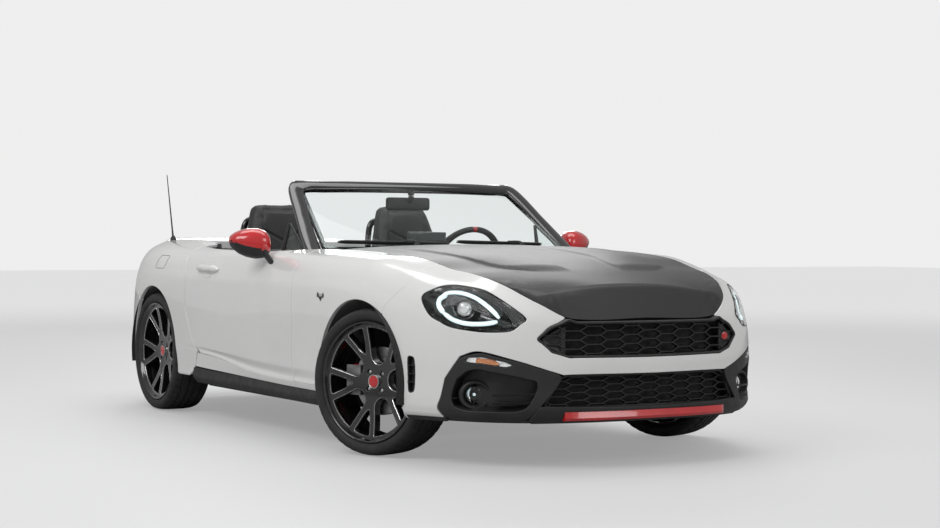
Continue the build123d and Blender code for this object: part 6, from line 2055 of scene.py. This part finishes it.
cushion_v = grooved(cushion_v, cushion_f, cushion_lines, .0065, .0065)
back_v = grooved(back_v, back_f, back_lines, .0065, .0065)
for side, word in SIDES:
    for name, v, f in (("cushion", cushion_v, cushion_f), ("back", back_v, back_f)):
        vv = v * [1, side, 1] + [0, side * SEAT_Y, 0]
        obj = piece(f"seat_{name}_{word}", vv, f if side > 0 else flipped(f), "interior_leather", sharp=None)
        if name == "back" and side > 0:
            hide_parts("seats")
    # Hard back shell, side covers, rails and belt buckle.
    shell_rings = []
    for h, half, rear in [(-.04, .172, -.063), (.0, .188, -.072), (.2, .192, -.074), (.36, .190, -.070),
        (.44, .160, -.066), (.47, .13, -.058)]:
        row = []
        for y in np.linspace(-half, half, 14):
            k = abs(y / half)
            row.append(BACK_ROOT + BACK_AXIS * h + BACK_FACE * (rear + .030 * k ** 6) + [0, y, 0])
        for y in np.linspace(half, -half, 14):
            k = abs(y / half)
            row.append(BACK_ROOT + BACK_AXIS * h + BACK_FACE * (rear + .030 * k ** 6 + .008) + [0, y * .985,
                0])
        shell_rings.append(row)
    v, f = solid(shell_rings)
    piece(f"seat_shell_{word}", v + [0, side * SEAT_Y, 0], f, "interior_plastic")
    bits = []
    for dy in (-.205, .180):
        bits.append(block((-.60, side * SEAT_Y + dy, .185), (-.13, side * SEAT_Y + dy + .025, .262), .010))
    for dy in (-.15, .12):
        bits.append(block((-.62, side * SEAT_Y + dy, .163), (-.10, side * SEAT_Y + dy + .03, .182), .004))
    piece(f"seat_base_{word}", *join(*bits), "interior_plastic")
    belt_y = side * (SEAT_Y - .232)
    buckle = block((-.545, belt_y - .012, .30), (-.510, belt_y + .012, .395), .008)
    press = block((-.541, belt_y - .009, .392), (-.514, belt_y + .009, .3985), .003)
    piece(f"belt_buckle_{word}", *buckle, "interior_plastic")
    piece(f"belt_button_{word}", *press, "red_paint")
    # Stitch rows beside the seams.
    stitches = []
    for sy in (-.1195, .1195):
        for x in np.arange(-.56, -.13, .0085):
            stitches.append((x, sy))
    up_v = cushion_v[(cushion_v[:, 2] > .3)]
    parts = []
    for x, y in stitches:
        near = np.argmin((up_v[:, 0] - x) ** 2 + (up_v[:, 1] - y) ** 2)
        z = up_v[near, 2]
        q = [(x - .0024, y, z), (x - .0012, y, z + .0011), (x + .0012, y, z + .0011), (x + .0024, y, z)]
        parts.append(tube(q, .0006, 5, up=(0, 1, 0)))
    v, f = on_side(side)(join(*parts))
    piece(f"seat_stitching_{word}", v + [0, side * SEAT_Y, 0], f, "steel")

# Dashboard: one moulding swept across the car, a hood over the dials, vents, a screen and three knobs.
DASH = [(.590, .812), (.560, .836), (.45, .842), (.33, .840), (.255, .834), (.222, .820), (.208, .795),
    (.205, .765), (.216, .748), (.212, .735), (.200, .715), (.205, .66), (.225, .60), (.28, .560),
    (.40, .548), (.58, .560), (.596, .70)]
dash_ys = np.r_[-.628, -.622, np.linspace(-.60, .60, 41), .622, .628]
rings = []
for y in dash_ys:
    ring = []
    edge = 1 if abs(y) < .615 else .94 if abs(y) < .625 else .88
    for x, z in DASH:
        bow = .030 * (abs(y) / .63) ** 2
        hood_up = .0
        xx = x + (bow if x < .5 else 0)
        if x < .30 and z > .7:
            hood_up = .028 * math.exp(-((y - .36) / .135) ** 4)
            xx -= .055 * math.exp(-((y - .36) / .150) ** 4) * (z > .78)
        tuck = .05 * math.exp(-(y / .12) ** 4) if z < .74 and x < .3 else 0
        ring.append((.40 + (xx - .40) * edge - tuck, y,
            .70 + (z - .70) * edge + (hood_up if z > .76 else 0)))
    rings.append(ring)
dash = piece("dash_moulding", *solid(rings), "interior_plastic", sharp=48)
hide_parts("dashboard")
VENT_Z, DIAL_Z = .775, .778
vents, slats = [], []
for y, x in ((.555, .222), (-.555, .222), (.075, .168), (-.075, .168)):
    v, f = outward(revolve([(.012, .030), (-.010, .034), (-.016, .038), (-.018, .041), (-.014, .043),
        (.012, .044)], 40, "x", centre=(x, y, VENT_Z), closed=True), (x, y, VENT_Z))
    vents.append((v, f))
    for dz in (-.018, -.006, .006, .018):
        half = math.sqrt(.031 ** 2 - dz ** 2)
        slats.append(block((x - .008, y - half, VENT_Z + dz - .0012),
            (x + .006, y + half, VENT_Z + dz + .0012), .001, 2))
piece("dash_vent_rings", *join(*vents), "gloss_black_trim")
piece("dash_vent_slats", *join(*slats), "interior_plastic")
piece("dash_screen", *block((.190, -.105, .838), (.204, .105, .925), .006), "gloss_black_trim")
knobs = []
for y in (-.075, 0, .075):
    knobs.append(outward(revolve([(.165, .022), (.150, .021), (.140, .0195), (.138, .016), (.140, .0)], 32,
        "x", centre=(-.020, y, .655)), (.14, y, .655)))
    knobs.append(block((.1165, y - .0018, .655), (.122, y + .0018, .674), .001, 2))
piece("dash_knobs", *join(*knobs), "gloss_black_trim", sharp=30)
dials, faces_d, marks = [], [], []
for y, r in ((.36, .052), (.270, .038), (.450, .038)):
    dials.append(outward(revolve([(.196, r - .003), (.180, r - .001), (.176, r + .002), (.182, r + .005),
        (.200, r + .005)], 48, "x", centre=(0, y, DIAL_Z), closed=True), (.19, y, DIAL_Z)))
    faces_d.append(outward(revolve([(.200, r), (.196, r - .002), (.196, 0)], 40, "x", centre=(0, y, DIAL_Z)),
        (.25, y, DIAL_Z)))
    for a in np.linspace(-2.2, 2.2, 9 if r < .05 else 13):
        c, s = math.cos(a), math.sin(a)
        q = [(.1945, y + (r - .006) * s, DIAL_Z + (r - .006) * c),
            (.1945, y + (r - .013) * s, DIAL_Z + (r - .013) * c)]
        marks.append(tube(q, .0009, 5, up=(1, 0, 0)))
    a = -1.7
    marks.append(tube([(.1935, y, DIAL_Z), (.1935, y + (r - .010) * math.sin(a),
        DIAL_Z + (r - .010) * math.cos(a))], [.0018, .0007], 6, up=(1, 0, 0)))
piece("dial_rings", *join(*dials), "steel")
piece("dial_faces", *join(*faces_d), "interior_plastic")
piece("dial_marks", *join(*marks), "lamp_light")

# Steering wheel.
WHEEL_C = np.array([-.038, .36, .782])
WHEEL_RAKE = math.radians(25)
W_UP, W_TO = np.array([math.sin(WHEEL_RAKE), 0, math.cos(WHEEL_RAKE)]), np.array([-math.cos(WHEEL_RAKE), 0,
    math.sin(WHEEL_RAKE)])
W_SIDE = np.array([0, 1, 0])


def wheel_at(a, b, c):
    """Points of the steering wheel's own frame: a across, b up, c towards the driver."""
    return WHEEL_C + np.multiply.outer(a, W_SIDE) + np.multiply.outer(b, W_UP) + np.multiply.outer(c, W_TO)


RIM_STEPS, RIM_SIDES = 96, 18
ang = np.linspace(0, 2 * np.pi, RIM_STEPS + 1)[:-1]
r_rim = .1740 - .008 * np.exp(-((ang - 1.5 * np.pi) / .35) ** 4)
path = wheel_at(r_rim * np.cos(ang), r_rim * np.sin(ang), .004 * np.cos(ang) ** 2)
grip = .0150 + .0022 * (np.exp(-((ang - .62) / .28) ** 2) + np.exp(-((ang - math.pi + .62) / .28) ** 2))
v, f = outward_ring(tube(path, grip, RIM_SIDES, up=tuple(W_TO), closed=True, flat=.92))
at = np.repeat(np.r_[np.arange(RIM_STEPS), 0], RIM_SIDES) * 360 / RIM_STEPS
mark = [o for o in f if all(abs(at[i] - 90) < 6.5 for i in o)]
rest = [o for o in f if o not in mark]
wheel = piece("steering_rim", v, [rest, mark], ["interior_leather", "red_paint"], "steering_wheel")
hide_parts("steering_wheel")
hub_rings = []
for c, k in ((-.060, .55), (-.045, .80), (-.020, .96), (-.006, 1.0), (.002, .97), (.006, .86), (.0075, .60),
    (.008, .25)):
    t = angles(48)
    a = .072 * k * np.sign(np.cos(t)) * np.abs(np.cos(t)) ** .75
    b = .058 * k * np.sign(np.sin(t)) * np.abs(np.sin(t)) ** .75 - .004
    hub_rings.append(wheel_at(a, b, np.full(48, c)))
piece("steering_hub", *solid(hub_rings), "interior_plastic", "steering_wheel")
spokes, inlays = [], []
for t0, t1, w in ((0.05, -.10, .020), (math.pi - .05, math.pi + .10, .020),
    (1.5 * math.pi - .16, 1.5 * math.pi - .12, .011), (1.5 * math.pi + .16, 1.5 * math.pi + .12, .011)):
    r = np.linspace(.045, .168, 12)
    t = np.linspace(t1, t0, 12)
    line = wheel_at(r * np.cos(t), r * np.sin(t), np.linspace(-.014, 0, 12))
    spokes.append(outward(tube(line, np.linspace(w * 1.25, w * .8, 12), 14, up=tuple(W_TO), flat=.32,
        square=.7)))
    line = wheel_at(r[2:-1] * np.cos(t[2:-1]), r[2:-1] * np.sin(t[2:-1]), np.linspace(-.0065, .0062, 9))
    inlays.append(outward(tube(line, w * .34, 10, up=tuple(W_TO), flat=.5)))
piece("steering_spokes", *join(*spokes), "gloss_black_trim", "steering_wheel")
piece("steering_inlays", *join(*inlays), "steel", "steering_wheel")
column = tube(wheel_at(np.zeros(8), np.zeros(8), np.linspace(-.055, -.245, 8)),
    [.034, .044, .047, .048, .048, .048, .047, .046], 20, up=(0, 1, 0))
piece("column_shroud", *outward(column), "interior_plastic")
stalks = [outward(tube(wheel_at(np.array([s * .03, s * .08, s * .135]), np.array([0, .008, .014]),
    np.array([-.075, -.068, -.058])), [.006, .0065, .0085], 10, up=(0, 0, 1), flat=.7)) for s in (1, -1)]
piece("column_stalks", *join(*stalks), "interior_plastic")

# Console, gear lever and hand brake, then pedals and floor mats.
rings = []
for x, top, half in [(-.738, .470, .100), (-.730, .480, .108), (-.60, .486, .112), (-.42, .488, .113),
    (-.36, .470, .113), (-.20, .452, .113), (.0, .455, .112), (.10, .480, .112), (.18, .530, .108),
    (.285, .532, .104)]:
    ring = []
    for y, z in [(-1, 0), (-1, .70), (-.985, .86), (-.93, .95), (-.84, 1), (-.4, .985), (0, .98), (.4, .985),
        (.84, 1), (.93, .95), (.985, .86), (1, .70), (1, 0)]:
        ring.append((x, y * half, .401 + (top - .401) * z))
    rings.append(ring)
console = piece("console", *solid(rings), "interior_plastic", sharp=50)
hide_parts("centre_console")
arm_v, arm_f = puff("arm", solid([np.c_[np.full(36, x),
    soft_ring(.082 * k, .484, lambda y, k=k: .484 + .030 * k, 36)]
    for x, k in ((-.720, .6), (-.712, .9), (-.64, 1), (-.50, 1), (-.43, .9), (-.422, .6))]), 2.0, .005, .006)
arm = piece("console_armrest", relax(arm_v, arm_f, 2), arm_f, "interior_leather", sharp=None)
gaiter = []
for k, (z, r, tw) in enumerate([(.452, .052, 0), (.466, .049, .1), (.474, .043, .2), (.486, .038, .3),
    (.494, .031, .42), (.506, .026, .55), (.514, .019, .7), (.528, .013, .9)]):
    t = angles(48)
    rr = r * (1 + .07 * np.cos(8 * t + tw * 3)) * (np.abs(np.cos(t - math.pi / 4)) ** 8 * .12 + .95)
    gaiter.append(np.c_[-.055 + rr * np.cos(t) * 1.05, rr * np.sin(t), np.full(48, z)])
piece("gear_gaiter", *solid(gaiter), "interior_leather", sharp=None)
lever = tube([(-.055, 0, .525), (-.058, 0, .560), (-.061, 0, .590)], [.0075, .0070, .0065], 16, up=(0, 1, 0))
knob = revolve([(.582, .0), (.582, .011), (.588, .018), (.600, .0235), (.615, .0245), (.628, .021),
    (.637, .013), (.640, .0)], 36, "z", centre=(-.062, 0, 0))
piece("gear_lever", *outward(lever), "steel")
piece("gear_knob", *outward(knob), "interior_leather")
brake = tube(spline([(-.34, .052, .455), (-.30, .052, .490), (-.22, .052, .520), (-.12, .052, .540)], 16),
    np.r_[.010, .010, np.linspace(.011, .0155, 11), .0155, .014, .009], 16, up=(0, 1, 0))
piece("hand_brake", *outward(brake), "interior_leather")
cup = revolve([(.470, .038), (.4755, .040), (.4750, .0355), (.425, .032), (.424, .0)], 36, "z",
    centre=(-.27, -.045, .0))
piece("cup_ring", *outward(cup, (-.27, -.045, .40)), "gloss_black_trim")
pads = []
for y, z, w in ((.44, .30, .030), (.36, .31, .032), (.27, .27, .024)):
    pads.append(block((.440, y - w, z - .032), (.458, y + w, z + .040), .006))
    pads.append(outward(tube([(.452, y, z), (.50, y, z + .10), (.56, y, z + .20)], .008, 10, up=(0, 1, 0))))
    for k in range(4):
        pads.append(block((.436, y - w * .8, z - .022 + k * .016), (.4415, y + w * .8, z - .016 + k * .016),
            .002, 2))
piece("pedals", *join(*pads), "steel")
for side, word in SIDES:
    ys = sorted((side * .145, side * .615))

    def rumple(v):
        return v + np.c_[0 * v[:, :2], .0018 * np.sin(v[:, 0] * 31 + v[:, 1] * 17)]
    piece(f"floor_mat_{word}", *block((-.02, ys[0], .1625), (.50, ys[1], .1725), .005, 3, rumple), "carpet")
    lip = outward_ring(tube(resample(np.array([(-.015, ys[0] + .005, .173), (.495, ys[0] + .005, .173),
        (.495, ys[1] - .005, .173), (-.015, ys[1] - .005, .173)]), 80, True), .004, 8, closed=True))
    piece(f"floor_mat_edge_{word}", *lip, "interior_leather")

# Doors inside: a core that closes the shell, a card with armrest, pull, speaker and handle.
core_flat = shrink(resample(flat_loop(door), 220, True), .007)
p, n = on_skin(sv_of(core_flat), -.0105)
q = p.copy()
q[:, 1] = np.minimum(.712, p[:, 1] - .004)
core = solid([p, (p + q) / 2, q], True, False)
card_loop = rounded([(-.735, .800), (-.700, .826), (.430, .826), (.465, .790), (.470, .42), (.440, .335),
    (-.480, .335), (-.560, .385), (-.650, .52), (-.700, .70)], .03, 6)
fan = np.concatenate([q, [[-.10, .712, .56]]]), [(i, (i + 1) % len(q), len(q)) for i in range(len(q))]
rings = []
for by, y in ((0, .7115), (.0, .705), (.004, .7005), (.012, .6995), (.030, .7005), (.036, .7030)):
    s = shrink(card_loop, by)
    rings.append(np.c_[s[:, 0], np.full(len(s), y), s[:, 1]])
sill_top = tube([(-.72, .722, .829), (-.2, .716, .832), (.2, .712, .832), (.44, .706, .832)],
    [.010, .013, .013, .010], 12, flat=.5)
rest_pts = spline([(-.56, .690, .560), (-.30, .676, .575), (-.05, .672, .582), (.16, .684, .590),
    (.26, .700, .600)], 30)
rest_bar = tube(rest_pts, np.interp(np.arange(30), [0, 3, 20, 29], [.018, .030, .028, .012]), 16, flat=.62)
pull = tube(spline([(.00, .690, .655), (.02, .672, .668), (.12, .668, .676), (.20, .676, .676),
    (.22, .692, .672)], 20), .0085, 12, flat=1.3)
speaker = revolve([(.7020, .078), (.6960, .078), (.6945, .074), (.6975, .070), (.6985, .0)], 48, "y",
    centre=(.30, 0, .43))
lever_in = block((.27, .690, .700), (.37, .6985, .720), .004)
both_sides([
    ("door_core", core, "body_paint"),
    ("door_backing", looking(fan, (0, -1, 0)), "interior_plastic"),
    ("door_card", solid(rings), "interior_plastic"),
    ("door_top_pad", outward(sill_top), "interior_leather"),
    ("door_armrest", outward(rest_bar), "interior_leather"),
    ("door_pull", outward(pull), "gloss_black_trim"),
    ("door_speaker", outward(speaker, (.30, .75, .43)), "black_plastic"),
    ("door_inner_handle", lever_in, "steel")], "door_{}")

# Roll hoops.
for side, word in SIDES:
    y0 = side * SEAT_Y
    path = spline([(-.820, y0 - .148, .765), (-.820, y0 - .148, .90), (-.819, y0 - .128, .975),
        (-.817, y0 - .06, .992), (-.817, y0 + .06, .992), (-.819, y0 + .128, .975), (-.820, y0 + .148, .90),
        (-.820, y0 + .148, .765)], 60)
    hoop = piece(f"roll_hoop_{word}", *outward(tube(path, .0165, 16, up=(1, 0, 0), flat=.85)),
        "gloss_black_trim")
    if side > 0:
        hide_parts("roll_hoops")
    foot = [block((-.840, y0 + dy - .026, .752), (-.798, y0 + dy + .026, .780), .006)
        for dy in (-.148, .148)]
    piece(f"hoop_feet_{word}", *join(*foot), "interior_plastic")

# Folded soft top: one padded stack of folds with its front bow on top.
fold = [(-.850, .60), (-.846, .70), (-.850, .775), (-.862, .812), (-.885, .829), (-.93, .836), (-.985, .830),
    (-1.00, .822), (-1.015, .831), (-1.07, .838), (-1.13, .833), (-1.145, .824), (-1.158, .832),
    (-1.185, .832), (-1.207, .815), (-1.215, .78), (-1.208, .765), (-1.215, .745), (-1.212, .70),
    (-1.20, .60), (-1.03, .575)]
fold = spline(fold, 110, True)
rings = []
for y in np.r_[-.570, -.564, -.55, np.linspace(-.52, .52, 25), .55, .564, .570]:
    k = 1 - .05 * (abs(y) / .57) ** 10 - (.10 if abs(y) > .566 else .03 if abs(y) > .56 else 0)
    sag = .004 * math.sin(y * 19) + .003 * math.sin(y * 43 + 1)
    c = np.array([-1.03, .72])
    ring = c + (fold - c) * k
    wave = sag * np.clip((ring[:, 1] - .78) / .05, 0, 1)
    rings.append(np.c_[ring[:, 0], np.full(len(ring), y), ring[:, 1] + wave])
roof_v, roof_f = puff("roof", solid(rings), 1.5, .006, .012)
roof = piece("soft_top_stack", relax(roof_v, roof_f, 1), roof_f, "roof_fabric", sharp=None)
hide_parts("folded_roof")

# ------------------------------------------------------------ CAD nodes that stay, stage, light and camera

NODE_MATERIAL = {
    "underbody": "underseal", "front_frame": "underseal", "engine_block": "cast_alloy",
    "exhaust": "stainless",
    "front_suspension": "steel", "rear_suspension": "steel", "front_knuckle_left": "cast_alloy",
    "front_knuckle_right": "cast_alloy"}
for name, word in NODE_MATERIAL.items():
    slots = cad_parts[name].data.materials
    slots.clear()
    slots.append(MAT[word])


def seen_level(tree, lit, shown):
    """lit for lighting rays, shown where the camera, a reflection or glass looks at it."""
    path = tree.nodes.new("ShaderNodeLightPath")
    seen = tree.nodes.new("ShaderNodeMath")
    seen.operation = "MAXIMUM"
    tree.links.new(path.outputs["Is Camera Ray"], seen.inputs[0])
    tree.links.new(path.outputs["Is Transmission Ray"], seen.inputs[1])
    level = tree.nodes.new("ShaderNodeMapRange")
    level.inputs["To Min"].default_value = lit
    level.inputs["To Max"].default_value = shown
    tree.links.new(seen.outputs[0], level.inputs["Value"])
    return level.outputs["Result"]


def stage_material(name, rgb, rough, shown):
    """A plain pale finish; the camera and glass see some light added to it, so that it stays pale far
    away."""
    mat = bpy.data.materials.new(name)
    mat.use_nodes = True
    tree = mat.node_tree
    shader = tree.nodes["Principled BSDF"]
    socket(shader, "Base Color", (*rgb, 1))
    socket(shader, "Roughness", rough)
    socket(shader, "Emission Color", (1, 1, 1, 1))
    place = tree.nodes.new("ShaderNodeTexCoord")
    far = tree.nodes.new("ShaderNodeVectorMath")
    far.operation = "LENGTH"
    tree.links.new(place.outputs["Object"], far.inputs[0])
    fade = tree.nodes.new("ShaderNodeMapRange")
    fade.interpolation_type = "SMOOTHSTEP"
    for word, value in (("From Min", 4.5), ("From Max", 17.0), ("To Min", shown[0]), ("To Max", shown[1])):
        fade.inputs[word].default_value = value
    tree.links.new(far.outputs["Value"], fade.inputs["Value"])
    glow = tree.nodes.new("ShaderNodeMath")
    glow.operation = "MULTIPLY"
    tree.links.new(seen_level(tree, 0.0, 1.0), glow.inputs[0])
    tree.links.new(fade.outputs["Result"], glow.inputs[1])
    tree.links.new(glow.outputs["Value"], shader.inputs["Emission Strength"])
    return mat


floor_mesh = mesh_of("floor", [(-40, -40, 0), (40, -40, 0), (40, 40, 0), (-40, 40, 0)], [(0, 1, 2, 3)])
floor_mesh.materials.append(stage_material("floor", (0.40, 0.40, 0.403), 0.6, (0.30, 0.52)))
shown("floor", floor_mesh)

world = bpy.data.worlds.new("studio")
bpy.context.scene.world = world
world.use_nodes = True
tree = world.node_tree
ground = tree.nodes["Background"]
ground.inputs["Color"].default_value = (1, 1, 1, 1)
tree.links.new(seen_level(tree, 0.46, 0.86), ground.inputs["Strength"])


def lamp(name, at, to, size, power):
    data = bpy.data.lights.new(name, "AREA")
    data.shape, data.size, data.size_y, data.energy = "RECTANGLE", size[0], size[1], power
    obj = shown(name, data)
    obj.location = at
    obj.rotation_euler = (Vector(to) - Vector(at)).to_track_quat("-Z", "Y").to_euler()


lamp("key", (2.2, -5.6, 5.2), (0.4, 0, 0.5), (5.0, 2.6), 195)
lamp("front", (8.2, 2.6, 4.2), (0.8, 0, 0.5), (3.6, 2.6), 100)
lamp("top", (-0.4, 0.4, 6.0), (0, 0, 0), (6.5, 2.4), 135)
lamp("rear", (-6.5, 3.6, 4.2), (-0.6, 0, 0.5), (4.0, 2.4), 115)

# The camera: place and turn solved from the photograph's own points.
CAM, YAW, PITCH, ROLL, FOCAL = (8.00645, -4.35634, 0.89650), 2.609455, -0.0137588, 0.00493, 1868.43
fw = Vector((math.cos(PITCH) * math.cos(YAW), math.cos(PITCH) * math.sin(YAW), math.sin(PITCH)))
right = fw.cross(Vector((0, 0, 1))).normalized()
up = right.cross(fw)
right2 = math.cos(ROLL) * right + math.sin(ROLL) * up
up2 = math.cos(ROLL) * up - math.sin(ROLL) * right
data = bpy.data.cameras.new("camera")
data.sensor_width, data.lens = 36.0, FOCAL * 36 / 940
data.clip_start, data.clip_end = 0.05, 200
camera = shown("camera", data)
camera.matrix_world = Matrix(((right2.x, up2.x, -fw.x, CAM[0]), (right2.y, up2.y, -fw.y, CAM[1]),
                              (right2.z, up2.z, -fw.z, CAM[2]), (0, 0, 0, 1)))
bpy.context.scene.camera = camera
bpy.context.scene.view_settings.view_transform = "Standard"
